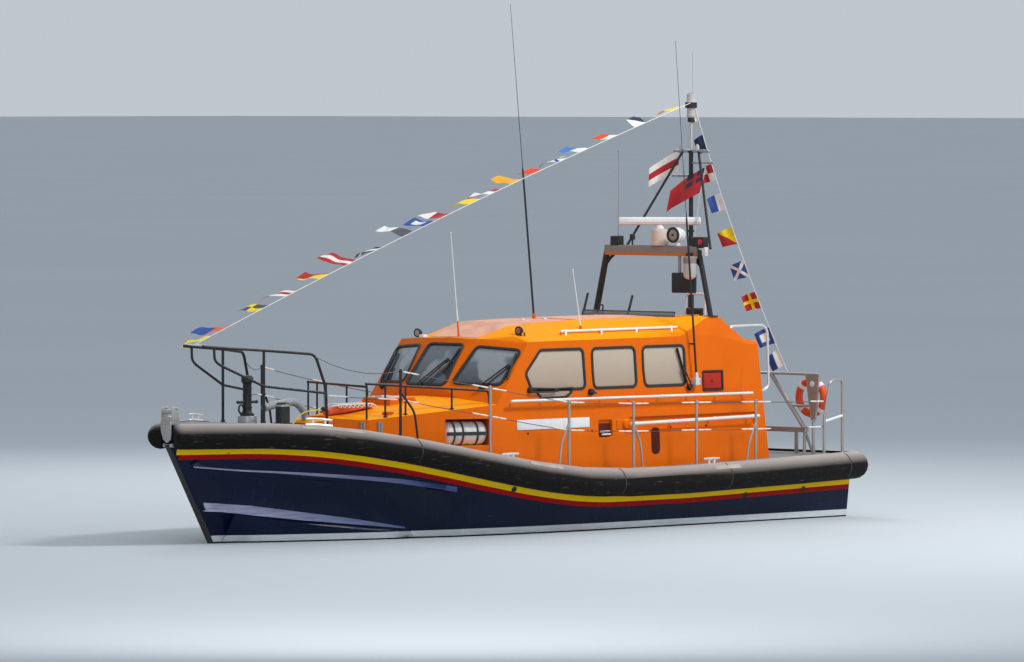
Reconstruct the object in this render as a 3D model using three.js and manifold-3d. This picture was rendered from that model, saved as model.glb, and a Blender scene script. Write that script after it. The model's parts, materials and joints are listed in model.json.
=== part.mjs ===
// An all-weather rescue lifeboat, 13.6 m long, driven by two water jets.
// Millimetres. +X is forward, +Y is port, +Z is up. The origin is amidships, on the centreline, at the waterline.
import * as THREE from "three";
import { mergeVertices } from "three/addons/utils/BufferGeometryUtils.js";
import Module from "manifold-3d";

const wasm = await Module();
wasm.setup();

// Driving dimensions.
const TRANSOM_X = -6520;
const STEM_FOOT_X = 5540; // the stem at the waterline
const STEM_RAKE = 0.6; // forward travel of the stem for each unit of height
const HALF_BEAM = 1930; // hull side amidships, inside the fender
const KEEL_Z = -700;
const GAP = 0.3; // between pieces that touch
const PORT = 1;
const STARBOARD = -1;
const SIDES = [PORT, STARBOARD];
const sideName = (side) => (side === PORT ? "port" : "starboard");

// Finishes, as name: [colour, roughness, metalness].
const FINISHES = {
  navy: [0x14264a, 0.25, 0],
  orange: [0xf07a05, 0.35, 0],
  rubber: [0x3a3a3c, 0.7, 0],
  steel: [0xb9bdc0, 0.3, 0.9],
  blackTube: [0x18181a, 0.5, 0.2],
  deckGrey: [0x6d7075, 0.8, 0],
  white: [0xf0f0ec, 0.4, 0],
  glass: [0x5f6d7a, 0.1, 0],
  black: [0x161618, 0.6, 0],
  alloy: [0xa7abae, 0.45, 0.7],
  engineGrey: [0x7c8288, 0.6, 0.4],
  lifebuoy: [0xe8560c, 0.5, 0],
  cloth: [0xd8b020, 0.9, 0],
  red: [0xb3121a, 0.9, 0],
};
const material = Object.fromEntries(
  Object.entries(FINISHES).map(([name, [color, roughness, metalness]]) => [
    name,
    new THREE.MeshStandardMaterial({ name, color, roughness, metalness }),
  ]),
);

const v = (x, y, z) => new THREE.Vector3(x, y, z);
const clamp01 = (t) => Math.min(1, Math.max(0, t));
const ease = (t) => clamp01(t) ** 2 * (3 - 2 * clamp01(t));
const mix = (a, b, t) => a + (b - a) * t;
const rad = THREE.MathUtils.degToRad;

const boat = new THREE.Group();

// Adds one named piece, placed at position.
function piece(name, geometry, finish, position = v(0, 0, 0)) {
  const mesh = new THREE.Mesh(geometry, material[finish]);
  mesh.name = name;
  mesh.position.copy(position);
  boat.add(mesh);
  return mesh;
}

// A closed geometry as a solid that can be joined and cut.
function solid(geometry) {
  const bare = new THREE.BufferGeometry();
  const source = geometry.index ? geometry.toNonIndexed() : geometry;
  bare.setAttribute("position", source.getAttribute("position").clone());
  const merged = mergeVertices(bare, 1e-3);
  return new wasm.Manifold(
    new wasm.Mesh({
      numProp: 3,
      vertProperties: merged.attributes.position.array,
      triVerts: new Uint32Array(merged.index.array),
    }),
  );
}

// A solid as a geometry again.
function shape(body) {
  const mesh = body.getMesh();
  const geometry = new THREE.BufferGeometry();
  geometry.setAttribute("position", new THREE.BufferAttribute(mesh.vertProperties, 3));
  geometry.setIndex(new THREE.BufferAttribute(mesh.triVerts, 1));
  return geometry;
}

// The solid of a piece made earlier, where that piece is not moved from where it was drawn.
const frameOf = (name) => solid(boat.getObjectByName(name).geometry);
const join = (...bodies) => bodies.reduce((all, next) => all.add(next));
const cut = (body, ...tools) => tools.reduce((rest, tool) => rest.subtract(tool), body);
const shifted = (body, x, y, z) => solid(shape(body).translate(x, y, z));

// Skins a row of rings, each a list of as many points. A looped row closes on itself, and another gets two end caps.
function skin(rings, looped = false) {
  const count = rings[0].length;
  const corners = [];
  const quad = (a, b, c, d) => corners.push(a, b, c, a, c, d);
  const last = looped ? rings.length : rings.length - 1;
  for (let i = 0; i < last; i++) {
    const here = rings[i];
    const next = rings[(i + 1) % rings.length];
    for (let k = 0; k < count; k++) {
      const m = (k + 1) % count;
      quad(here[k], here[m], next[m], next[k]);
    }
  }
  if (!looped) {
    cap(rings[0], corners, true);
    cap(rings[rings.length - 1], corners, false);
  }
  return outward(corners);
}

// Adds the triangles of a flat ring, turned round where reverse is set.
function cap(ring, corners, reverse) {
  const normal = ring.reduce(
    (sum, p, k) => sum.add(p.clone().cross(ring[(k + 1) % ring.length])),
    v(0, 0, 0),
  ).normalize();
  const across = ring[1].clone().sub(ring[0]).normalize();
  const up = normal.clone().cross(across);
  const flat = ring.map((p) => new THREE.Vector2(p.dot(across), p.dot(up)));
  for (const [a, b, c] of THREE.ShapeUtils.triangulateShape(flat, [])) {
    corners.push(...(reverse ? [ring[c], ring[b], ring[a]] : [ring[a], ring[b], ring[c]]));
  }
}

// A geometry from triangle corners, with its faces turned out.
function outward(corners) {
  let volume = 0;
  for (let i = 0; i < corners.length; i += 3) {
    volume += corners[i].dot(corners[i + 1].clone().cross(corners[i + 2]));
  }
  if (volume < 0) {
    for (let i = 0; i < corners.length; i += 3) {
      [corners[i + 1], corners[i + 2]] = [corners[i + 2], corners[i + 1]];
    }
  }
  return new THREE.BufferGeometry().setFromPoints(corners);
}

// A line of straight runs through given points.
class BentLine extends THREE.Curve {
  constructor(points) {
    super();
    this.points = points;
  }

  getPointAt(share, target = new THREE.Vector3()) {
    return target.copy(this.points[Math.round(share * (this.points.length - 1))]);
  }

  getTangentAt(share, target = new THREE.Vector3()) {
    const i = Math.round(share * (this.points.length - 1));
    const here = this.points[i];
    target.set(0, 0, 0);
    if (i > 0) target.add(here.clone().sub(this.points[i - 1]).normalize());
    if (i < this.points.length - 1) target.add(this.points[i + 1].clone().sub(here).normalize());
    return target.normalize();
  }
}

// The points of a bent bar, with each corner eased over reach on both its sides.
function eased(points, reach) {
  if (reach === 0) return points;
  return points.flatMap((here, i) => {
    if (i === 0 || i === points.length - 1) return [here];
    const before = points[i - 1].clone().sub(here);
    const after = points[i + 1].clone().sub(here);
    const step = Math.min(reach, before.length() * 0.4, after.length() * 0.4);
    const from = here.clone().addScaledVector(before.normalize(), step);
    const to = here.clone().addScaledVector(after.normalize(), step);
    return new THREE.QuadraticBezierCurve3(from, here, to).getPoints(2);
  });
}

// A round bar along a bent line.
const BEND = 70;
function bar(points, radius, sides = 8, reach = BEND) {
  const section = new THREE.Shape(
    Array.from({ length: sides }, (_, k) => {
      const turn = (2 * Math.PI * (k + 0.5)) / sides;
      return new THREE.Vector2(radius * Math.cos(turn), radius * Math.sin(turn));
    }),
  );
  const route = eased(points, reach);
  const options = { steps: route.length - 1, extrudePath: new BentLine(route) };
  return solid(new THREE.ExtrudeGeometry(section, options));
}

// A box between two corners.
function block(x0, x1, y0, y1, z0, z1) {
  const box = new THREE.BoxGeometry(Math.abs(x1 - x0), Math.abs(y1 - y0), Math.abs(z1 - z0));
  return box.translate((x0 + x1) / 2, (y0 + y1) / 2, (z0 + z1) / 2);
}

const blockSolid = (...corners) => solid(block(...corners));

// A flat plate: an outline of [a, b] corners drawn along two unit axes from origin, and its depth along their cross product.
function plate(outline, depth, origin, along, up) {
  const drawn = new THREE.Shape(outline.map(([a, b]) => new THREE.Vector2(a, b)));
  const geometry = new THREE.ExtrudeGeometry(drawn, { depth, bevelEnabled: false });
  const frame = new THREE.Matrix4().makeBasis(along, up, along.clone().cross(up));
  return geometry.applyMatrix4(frame.setPosition(origin));
}

const X = v(1, 0, 0);
const Y = v(0, 1, 0);
const Z = v(0, 0, 1);
// Plates whose outline is [x, z], [x, y] or [y, z], between two positions on the third axis.
const sidePlate = (outline, y0, y1) => solid(plate(outline, Math.abs(y1 - y0), v(0, Math.max(y0, y1), 0), X, Z));
const levelPlate = (outline, z0, z1) => solid(plate(outline, z1 - z0, v(0, 0, z0), X, Y));
const crossPlate = (outline, x0, x1) => solid(plate(outline, x1 - x0, v(x0, 0, 0), Y, Z));

// A closed outline with each corner rounded to radius by an arc of steps + 1 points.
function rounded(corners, radius, steps = 3) {
  return corners.flatMap(([x, y], i) => {
    const here = new THREE.Vector2(x, y);
    const before = new THREE.Vector2(...corners.at(i - 1)).sub(here);
    const after = new THREE.Vector2(...corners[(i + 1) % corners.length]).sub(here);
    const half = before.angleTo(after) / 2;
    const reach = radius / Math.tan(half);
    const from = here.clone().addScaledVector(before.normalize(), reach);
    const to = here.clone().addScaledVector(after.normalize(), reach);
    const bend = new THREE.QuadraticBezierCurve(from, here, to);
    return bend.getPoints(steps).map((p) => [p.x, p.y]);
  });
}

// The hull's lines. Each gives a point for a share t of its length, from the transom to the stem.
const STATIONS = [0, 0.1, 0.2, 0.3, 0.4, 0.48, 0.55, 0.61, 0.67, 0.73, 0.79, 0.845, 0.895, 0.94, 0.975, 1];
const STEM_HALF = 40;
const fenderZ = (x) => 715 + 860 * ease((x + 1200) / 6600) + 0.022 * Math.max(0, -2800 - x);
const DECK_OVER_FENDER = 170; // the deck above the middle of the fender
const deckLine = (x) => fenderZ(x) + DECK_OVER_FENDER;
const stemX = (z) => STEM_FOOT_X + STEM_RAKE * z;
const SHEER_STEM_X = stemX(deckLine(6500));
const CHINE_STEM_X = stemX(560);
const KEEL_STEM_X = stemX(-60);
const fullness = (x, start, end, power) => 1 - clamp01((x - start) / (end - start)) ** power;
const sheerY = (x) => HALF_BEAM * fullness(x, -1000, SHEER_STEM_X, 2.6) - 50 * ease((-2500 - x) / 4000);
const chineY = (x) => 1720 * fullness(x, -1500, CHINE_STEM_X, 2.2) + 40 * ease((-2500 - x) / 4000);
const chineZ = (x) => -80 + 640 * clamp01(x / CHINE_STEM_X) ** 1.9;
const keelZ = (x) => KEEL_Z + (-60 - KEEL_Z) * clamp01((x - 1500) / (KEEL_STEM_X - 1500)) ** 2.2;
const along = (t, end) => mix(TRANSOM_X, end, t);
const sheerPoint = (t, side) => {
  const x = along(t, SHEER_STEM_X);
  return v(x, side * Math.max(STEM_HALF, sheerY(x)), deckLine(x));
};
const chinePoint = (t, side) => {
  const x = along(t, CHINE_STEM_X);
  return v(x, side * Math.max(STEM_HALF, chineY(x)), chineZ(x));
};
const keelPoint = (t, side) => {
  const x = along(t, KEEL_STEM_X);
  return v(x, side * STEM_HALF, keelZ(x));
};
// The topside hollows in a little between chine and sheer, most at the bow.
const topsidePoint = (t, side) => {
  const low = chinePoint(t, side);
  const high = sheerPoint(t, side);
  const middle = low.clone().lerp(high, 0.5);
  middle.y -= side * 110 * Math.sin(Math.PI * clamp01((t - 0.45) / 0.55));
  return middle;
};

// The deck's height at x, on the straight runs between stations.
function deckAt(x) {
  const i = STATIONS.findIndex((t) => along(t, SHEER_STEM_X) >= x);
  const a = sheerPoint(STATIONS[Math.max(0, i - 1)], PORT);
  const b = sheerPoint(STATIONS[Math.max(1, i)], PORT);
  return mix(a.z, b.z, (x - a.x) / (b.x - a.x));
}

// Spray rails that step out of the topside, as [first x, last x, height at first, at last, tall at first, at last, proud at first, at last].
const SPRAY_RAILS = [
  [2650, 5790, 70, 500, 40, 170, 60, 80],
  [2200, 6080, 720, 1130, 60, 85, 60, 25],
];
const RAIL_STEPS = 6;
function sideYAt(x, z) {
  const share = clamp01((z - chineZ(x)) / (deckLine(x) - chineZ(x)));
  const hollow = 110 * Math.sin(Math.PI * share) * Math.sin(Math.PI * clamp01((x - 600) / 5900));
  return mix(chineY(x), sheerY(x), share) - hollow;
}
function sprayRail([x0, x1, z0, z1, tall0, tall1, proud0, proud1], side) {
  const rings = [];
  for (let i = 0; i <= RAIL_STEPS; i++) {
    const t = i / RAIL_STEPS;
    const x = mix(x0, x1, t);
    const z = mix(z0, z1, t ** 1.3);
    const y = Math.max(STEM_HALF, sideYAt(x, z));
    const lip = y + mix(proud0, proud1, t);
    const tall = mix(tall0, tall1, t);
    const root = Math.max(5, y - 60);
    const corners = [[root, z + tall], [y + 4, z + tall], [lip, z], [root, z - 30]];
    rings.push(corners.map(([out, up]) => v(x, side * out, up)));
  }
  return solid(skin(rings));
}

// The cabin well, the engine space and the recess at the stern that guards the jets.
const WELL = { x0: -4850, x1: 350, half: 1150, floor: 400 };
const ENGINE_SPACE = { x0: -4500, x1: -2600, half: 1050, floor: -230 };
const JET_RECESS = { x1: -5450, half: 1350, top: 420 };
const BILGE_KEEL = { x0: -5200, x1: 900, y: 900, half: 45, foot: -860, top: -250 };
const NOSE_X = 6430; // the stem is cut off square above the height where it reaches this

function makeHull() {
  const rings = STATIONS.map((t) => [
    keelPoint(t, PORT), chinePoint(t, PORT), topsidePoint(t, PORT), sheerPoint(t, PORT),
    sheerPoint(t, STARBOARD), topsidePoint(t, STARBOARD), chinePoint(t, STARBOARD), keelPoint(t, STARBOARD),
  ]);
  let hull = solid(skin(rings));
  for (const side of SIDES) {
    for (const row of SPRAY_RAILS) hull = hull.add(sprayRail(row, side));
  }
  return cut(
    hull,
    blockSolid(WELL.x0, WELL.x1, -WELL.half, WELL.half, WELL.floor, 3000),
    blockSolid(ENGINE_SPACE.x0, ENGINE_SPACE.x1, -ENGINE_SPACE.half, ENGINE_SPACE.half, ENGINE_SPACE.floor, 500),
    blockSolid(TRANSOM_X - 200, JET_RECESS.x1, -JET_RECESS.half, JET_RECESS.half, -1200, JET_RECESS.top),
    blockSolid(NOSE_X, NOSE_X + 500, -400, 400, 1000, 2200),
  );
}

const hull = makeHull();
piece("hull", shape(hull), "navy");

// Bilge keels, on which the boat takes the ground.
for (const side of SIDES) {
  const { x0, x1, y, half, foot, top } = BILGE_KEEL;
  const outline = [[x0, top], [x0, foot + 120], [x0 + 250, foot], [x1 - 900, foot], [x1, top]];
  const fin = sidePlate(outline, side * y - half, side * y + half);
  piece(`bilge_keel_${sideName(side)}`, shape(fin.subtract(shifted(hull, 0, 0, -GAP))), "navy");
}

const deckCutter = shifted(hull, 0, 0, GAP); // trims a piece that stands on the deck
const onDeck = (body) => body.subtract(deckCutter);

// The foam fender: a D section against the hull's side, round the stern and back to the stem.
const ARC_STEPS = 8;
const fenderHalf = (x) => 185 + 28 * ease((3000 - x) / 4000);
const fenderDeep = (x) => 322 - 90 * ease((x - 4600) / 1700) - 65 * ease((-5400 - x) / 1000);
function fenderRing(root, outwardDirection, x, scale = 1) {
  const half = fenderHalf(x) * scale;
  const deep = fenderDeep(x) * scale;
  const flat = deep - half * 1.02;
  const at = (out, up) => root.clone().addScaledVector(outwardDirection, out).add(v(0, 0, up));
  const ring = [at(GAP, -half * 0.97)];
  for (let k = 0; k <= ARC_STEPS; k++) {
    const turn = mix(-90, 90, k / ARC_STEPS);
    ring.push(at(flat + (deep - flat) * Math.cos(rad(turn)), half * Math.sin(rad(turn))));
  }
  ring.push(at(GAP, half * 0.97));
  return ring;
}
// The deck's edge at x, on the straight runs between stations.
function edgeAt(x, side) {
  const i = Math.max(1, STATIONS.findIndex((t) => along(t, SHEER_STEM_X) >= x));
  const a = sheerPoint(STATIONS[i - 1], side);
  const b = sheerPoint(STATIONS[i], side);
  return a.clone().lerp(b, (x - a.x) / (b.x - a.x));
}
// The fender's rounded ends, as [x, scale of the section].
const FENDER_ENDS = [[6350, 1], [6400, 0.93], [6425, 0.72]];
function fenderRings(side) {
  const rows = STATIONS.slice(0, -1).map((t) => [along(t, SHEER_STEM_X), 1]).concat(FENDER_ENDS);
  const roots = rows.map(([x]) => edgeAt(x, side).setZ(fenderZ(x)));
  const rings = roots.map((root, i) => {
    const run = roots[Math.min(i + 1, roots.length - 1)].clone().sub(roots[Math.max(i - 1, 0)]);
    return fenderRing(root, v(-side * run.y, side * run.x, 0).normalize(), root.x, rows[i][1]);
  });
  rings.reverse();
  rings.pop();
  const corner = roots[0];
  const straight = roots[1].clone().sub(corner);
  const start = Math.atan2(Math.abs(straight.x), Math.abs(straight.y) * Math.sign(straight.y * side));
  for (const t of [0, 0.25, 0.5, 0.75, 1]) {
    const angle = mix(start, Math.PI, t);
    rings.push(fenderRing(corner, v(Math.cos(angle), side * Math.sin(angle), 0), corner.x));
  }
  return rings;
}
const fender = solid(skin([...fenderRings(PORT), ...fenderRings(STARBOARD).reverse()]));
piece("fender", shape(fender), "rubber");

// The stem head: a shield between the fender's ends, a guard down the stem, and a bow roller in two cheeks.
function makeStemHead() {
  const SHIELD = { thick: 28, half: 112, low: 1440, high: 1790 };
  const ROLLER = { x0: 6270, x1: 6480, axleX: 6420, axleZ: 1935, half: 84, wall: 10, top: 2000, r: 42 };
  const GUARD = { half: 35, proud: 45, low: -40, high: 1500 };
  const { half, low, high } = SHIELD;
  const outline = [[-40, low], [40, low], [half, low + 150], [half, high], [-half, high], [-half, low + 150]];
  const shield = crossPlate(outline, NOSE_X + GAP, NOSE_X + SHIELD.thick);
  const strip = [[GUARD.low, GAP], [GUARD.low, GUARD.proud], [GUARD.high, GUARD.proud], [GUARD.high, GAP]];
  const guard = sidePlate(strip.map(([z, off]) => [stemX(z) + off, z]), -GUARD.half, GUARD.half);
  const axle = bar([v(ROLLER.axleX, -ROLLER.half, ROLLER.axleZ), v(ROLLER.axleX, ROLLER.half, ROLLER.axleZ)], ROLLER.r, 12);
  const cheeks = SIDES.map((side) => blockSolid(
    ROLLER.x0, ROLLER.x1, side * (ROLLER.half - ROLLER.wall), side * (ROLLER.half + ROLLER.wall), 1700, ROLLER.top));
  const sole = blockSolid(ROLLER.x0, NOSE_X + SHIELD.thick, -ROLLER.half, ROLLER.half, 1700, deckAt(6300) + 34);
  const body = join(shield, guard, axle, sole, ...cheeks);
  return cut(body, shifted(hull, GAP, 0, 0), shifted(hull, 0, 0, GAP), hull, shifted(fender, GAP, 0, 0), fender);
}
piece("stem_head", shape(makeStemHead()), "steel");

// The deckhouse, as sections along X: x, edge y, edge z, ridge y, ridge z, crown z.
const HOUSE = [
  [1700, 1300, 2790, 230, 2730, 2740],
  [430, 1300, 2825, 450, 2870, 2885],
  [-230, 1300, 2830, 520, 3080, 3092],
  [-1950, 1300, 2835, 850, 3105, 3122],
  [-3200, 1300, 2840, 890, 3110, 3128],
  [-3900, 1295, 2845, 1235, 3120, 3130],
  [-4150, 1290, 2845, 1235, 3120, 3130],
  [-4750, 1285, 2690, 1235, 2750, 2765],
  [-5400, 1280, 2660, 1235, 2715, 2725],
];
const HOUSE_FOOT = { y: 1395, z: 300 };
const WALL = 70;
// The raked planes of the front, as a point and an outward normal, and the aft face.
const rake = (x, y, z, sweep, lean) => {
  const normal = v(Math.cos(rad(sweep)), Math.sin(rad(sweep)), Math.tan(rad(lean))).normalize();
  return { at: v(x, y, z), normal };
};
const FRONT_X = 1040;
const FRONT_HALF = 385; // half the width of the middle facet at its foot
const FRONT = rake(FRONT_X, 0, 2190, 0, 39);
const FRONT_PORT = rake(FRONT_X, FRONT_HALF, 2190, 21, 36.5);
const FRONT_STARBOARD = rake(FRONT_X, -FRONT_HALF, 2190, -21, 36.5);
const AFT_LEAN = 6;
const AFT = rake(-5080, 0, 1900, 180, AFT_LEAN);
const BREAST_X = 1070;
const BREAST = rake(BREAST_X, 0, 2000, 0, 0); // upright below the windscreen
const FACETS = [FRONT, FRONT_PORT, FRONT_STARBOARD, BREAST, AFT];

// A big slab on the outer side of a plane, moved in by inset, to cut with.
function beyond({ at, normal }, inset) {
  const REACH = 9000;
  const slab = new THREE.BoxGeometry(REACH, REACH, REACH);
  slab.translate(0, 0, REACH / 2 - inset);
  slab.applyQuaternion(new THREE.Quaternion().setFromUnitVectors(Z, normal));
  return solid(slab.translate(at.x, at.y, at.z));
}

// The deckhouse's form, with every face moved in by inset.
function houseForm(inset) {
  const rings = HOUSE.map(([x, edgeY, edgeZ, ridgeY, ridgeZ, crownZ]) => {
    const half = [
      [HOUSE_FOOT.y - inset, HOUSE_FOOT.z],
      [edgeY - inset, edgeZ - inset * 0.45],
      [ridgeY - inset * 0.75, ridgeZ - inset],
      [0, crownZ - inset],
    ];
    const mirrored = half.slice(0, 3).reverse().map(([y, z]) => [-y, z]);
    return [...half, ...mirrored].map(([y, z]) => v(x, y, z));
  });
  return FACETS.reduce((form, plane) => form.subtract(beyond(plane, inset)), solid(skin(rings)));
}
const houseOuter = houseForm(0);
const houseClear = houseForm(-2 * GAP); // what stands on the house is trimmed by this
const onHouse = (body) => body.subtract(houseClear);
const SPLIT_Z = 2790; // the roof moulding sits on the walls here

// Side windows, as [front top x, front middle x, front foot x, aft top x, aft foot x], between sill and head.
const SIDE_WINDOWS = [
  [-75, 262, 130, -1010, -1050],
  [-1210, -1215, -1240, -2160, -2190],
  [-2340, -2345, -2380, -3275, -3300],
];
const SILL = 2105;
const HEAD = 2700;
const sideOutline = ([frontTop, frontMiddle, frontFoot, aftTop, aftFoot]) =>
  rounded([[frontTop, HEAD], [frontMiddle, SILL + 255], [frontFoot, SILL], [aftFoot, SILL], [aftTop, HEAD]], 95);
const throughSide = (outline, side) => sidePlate(outline, side * 1180, side * 1500);

// Front windows lie on the raked facets: corners are [across, up] along the facet from its foot's middle or inner end.
const CENTRE_PANE = [[-400, -5], [400, -5], [354, 755], [-354, 755]];
const CORNER_PANE = [[118, 25], [905, 10], [1095, 640], [370, 700]];
const mirrored = (outline) => outline.map(([a, b]) => [-a, b]).reverse();
const FRONT_PANES = [
  ["front_glass_centre", CENTRE_PANE, FRONT],
  ["front_glass_port", CORNER_PANE, FRONT_PORT],
  ["front_glass_starboard", mirrored(CORNER_PANE), FRONT_STARBOARD],
];
const CORNER_RADIUS = 85;
const PANE = { thick: 24, deep: 6, clear: 0.5 };
// A plate on a raked facet, from low to high off its face.
function facetPlate(outline, { at, normal }, low, high) {
  const across = v(-normal.y, normal.x, 0).normalize();
  const up = normal.clone().cross(across);
  return solid(plate(outline, high - low, at.clone().addScaledVector(normal, low), across, up));
}

// The door in the aft face, measured up the lean from its sill.
const DOOR = { half: 380, foot: 1130, tall: 1357, thick: 55, clear: 4, radius: 20 };
const aftX = (z) => AFT.at.x + (z - AFT.at.z) * Math.tan(rad(AFT_LEAN));
const aftUp = v(Math.sin(rad(AFT_LEAN)), 0, Math.cos(rad(AFT_LEAN)));
const aftPoint = (y, rise, off = 0) =>
  v(aftX(DOOR.foot), y, DOOR.foot).addScaledVector(aftUp, rise).addScaledVector(AFT.normal, off);
const aftPlate = (outline, off0, off1) => solid(plate(outline, off1 - off0, aftPoint(0, 0, -off0), Y, aftUp));
const inset = ({ half, tall }, by) => [[by - half, by], [half - by, by], [half - by, tall - by], [by - half, tall - by]];
// Door hinges, as heights of the knuckles: the door's below, and the wall's just above it.
const HINGES = [[220, 320], [1020, 1120]];
const HINGE_AXIS = { y: 386, off: 15, r: 12 };
const hingePoint = (rise) => aftPoint(HINGE_AXIS.y, rise, HINGE_AXIS.off);
function wallKnuckles() {
  return HINGES.map(([, low]) => {
    const leaf = [[386, low + 5], [425, low + 5], [425, low + 60], [386, low + 60]];
    return bar([hingePoint(low + GAP), hingePoint(low + 60)], HINGE_AXIS.r, 10).add(aftPlate(leaf, -22, 25));
  });
}
function doorKnuckles() {
  return HINGES.map(([low, high]) => {
    const strap = [[340, low + 10], [377, low + 10], [377, high - 5], [340, high - 5]];
    return bar([hingePoint(low), hingePoint(high)], HINGE_AXIS.r, 10).add(aftPlate(strap, -14, 8));
  });
}

// Recesses in the side, as [aft x, fore x, low z, high z]: a locker for a cleat, one for a box, and the handrail's channel.
const RECESSES = [
  [-1626, -1313, 1363, 1627],
  [-4150, -3690, 2005, 2300],
  [-4880, -2010, 1450, 1650],
];
const RECESS_DEEP = 45;
// The open bridge is a moulded tub in the aft end of the roof.
const TUB = { x0: -4720, x1: -3520, half: 800, floor: 2330, wall: 40, lip: 18 };
const TUB_OUT = { x0: TUB.x0 - TUB.wall, x1: TUB.x1 + TUB.wall, half: TUB.half + TUB.wall };
const tubHole = blockSolid(TUB_OUT.x0, TUB_OUT.x1, -TUB_OUT.half, TUB_OUT.half, 2000, 3500);

// Liferafts lie in bays in the coachroof's sides, turned with its taper. A liner carries each bay into the deckhouse.
const BREAST_EDGE = 1331;
const COACH_NOSE = [2910, 640];
const TAPER = Math.atan2(BREAST_EDGE - COACH_NOSE[1], COACH_NOSE[0] - BREAST_X);
const RAFT = { x: 1300, y: 1000, long: 700, bay: 770, deep: 330, low: 1317, high: 1715, radius: 180, liner: 30, flange: 4 };
const raftTurned = (geometry, side) => geometry.rotateZ(-side * TAPER).translate(RAFT.x, side * RAFT.y, 0);
function raftBay(side, grow) {
  const { bay, deep, low, high } = RAFT;
  const box = block(-bay / 2 - grow, bay / 2 + grow, -side * (deep + grow), side * 700, low - grow, high + grow);
  return solid(raftTurned(box, side));
}

function makeWalls() {
  const shell = houseOuter.subtract(houseForm(WALL));
  const above = blockSolid(-7000, 3000, -2000, 2000, SPLIT_Z, 5000);
  const openings = SIDES.flatMap((side) => SIDE_WINDOWS.map((row) => throughSide(sideOutline(row), side)));
  for (const [, corners, facet] of FRONT_PANES) openings.push(facetPlate(rounded(corners, CORNER_RADIUS), facet, -200, 200));
  openings.push(aftPlate(inset(DOOR, 0), -200, 200));
  const well = blockSolid(WELL.x0, WELL.x1, -WELL.half, WELL.half, 0, 1300);
  const bays = SIDES.map((side) => raftBay(side, RAFT.liner + GAP));
  let walls = cut(onDeck(shell), above, well, tubHole, ...openings, ...bays);
  for (const side of SIDES) {
    for (const [x0, x1, z0, z1] of RECESSES) {
      const wallY = mix(HOUSE_FOOT.y, 1300, ((z0 + z1) / 2 - HOUSE_FOOT.z) / (SPLIT_Z - HOUSE_FOOT.z));
      const outline = rounded([[x0, z0], [x1, z0], [x1, z1], [x0, z1]], 35, 2);
      walls = walls.subtract(sidePlate(outline, side * (wallY - RECESS_DEEP), side * 1500));
    }
  }
  return walls;
}

// Handrails on the deckhouse: both ends' x and z, the rail's y, its radius and its standoffs.
const HANDRAILS = [
  { x: [690, -4700], z: [1965, 1945], reach: 1440, radius: 19, posts: 9 },
  { x: [-1940, -4850], z: [1552, 1590], reach: 1440, radius: 24, posts: 4 },
];
function handrails(side) {
  return HANDRAILS.flatMap(({ x, z, reach, radius, posts }) => {
    const rail = bar([v(x[0], side * reach, z[0]), v(x[1], side * reach, z[1])], radius);
    const feet = Array.from({ length: posts }, (_, i) => {
      const t = (i + 0.15) / (posts - 0.7);
      const at = v(mix(x[0], x[1], t), side * reach, mix(z[0], z[1], t));
      return bar([at, v(at.x, side * 1300, at.z - 35)], 12, 6);
    });
    return [rail, ...feet];
  });
}
const houseInner = houseForm(WALL - 10);
const walls = join(makeWalls(), ...wallKnuckles(), ...SIDES.flatMap(handrails).map((rail) => rail.subtract(houseInner)));
piece("wheelhouse_walls", shape(walls), "orange");

// Roof grab rails, one each side.
const ROOF_RAIL = { x: [-690, -3290], y: 1150, z: 2965, posts: 4, radius: 19 };
function roofRail(side) {
  const y = side * ROOF_RAIL.y;
  const parts = [bar([v(ROOF_RAIL.x[0], y, ROOF_RAIL.z), v(ROOF_RAIL.x[1], y, ROOF_RAIL.z + 10)], ROOF_RAIL.radius)];
  for (let i = 0; i < ROOF_RAIL.posts; i++) {
    const x = mix(ROOF_RAIL.x[0] - 15, ROOF_RAIL.x[1] + 15, i / (ROOF_RAIL.posts - 1));
    parts.push(bar([v(x, y, ROOF_RAIL.z + 5), v(x + 40, side * 1185, 2850)], 14, 6));
  }
  return parts;
}

function makeRoof() {
  const shell = houseOuter.subtract(houseInner);
  const below = blockSolid(-7000, 3000, -2000, 2000, 0, SPLIT_Z + GAP);
  return join(cut(shell, below, tubHole), ...SIDES.flatMap(roofRail).map((rail) => rail.subtract(houseInner)));
}
piece("wheelhouse_roof", shape(makeRoof()), "orange");

// The tub's rim stands a lip above the roof all round. Ahead of it are a low screen and levers, and a seat stands in it.
function makeTub() {
  const { x0, x1, half } = TUB_OUT;
  const outer = blockSolid(x0 + GAP, x1 - GAP, -half + GAP, half - GAP, TUB.floor - TUB.wall, 3500).intersect(houseForm(-TUB.lip));
  return outer.subtract(blockSolid(TUB.x0, TUB.x1, -TUB.half, TUB.half, TUB.floor, 4000));
}
piece("bridge_tub", shape(makeTub()), "orange");

const SCREEN = { x0: -3470, x1: -3440, lean: 18, half: 950, low: 3100, high: 3190 };
function makeScreen() {
  const { x0, x1, lean, half, low, high } = SCREEN;
  const screen = sidePlate([[x0, low], [x1, low], [x1 - lean, high], [x0 - lean, high]], -half, half);
  // Levers stand on the screen's foot, as [y, height, lean].
  const levers = [[-850, 3430, 40], [-560, 3400, -25], [140, 3430, 45]].map(([y, top, tilt]) =>
    bar([v(x0 + 12, y, low + 20), v(x0 + 12 - tilt * 0.4, y, (low + top) / 2), v(x0 + 12 + tilt, y, top)], 20, 8));
  return onHouse(join(screen, ...levers));
}
piece("bridge_screen", shape(makeScreen()), "black");

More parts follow.
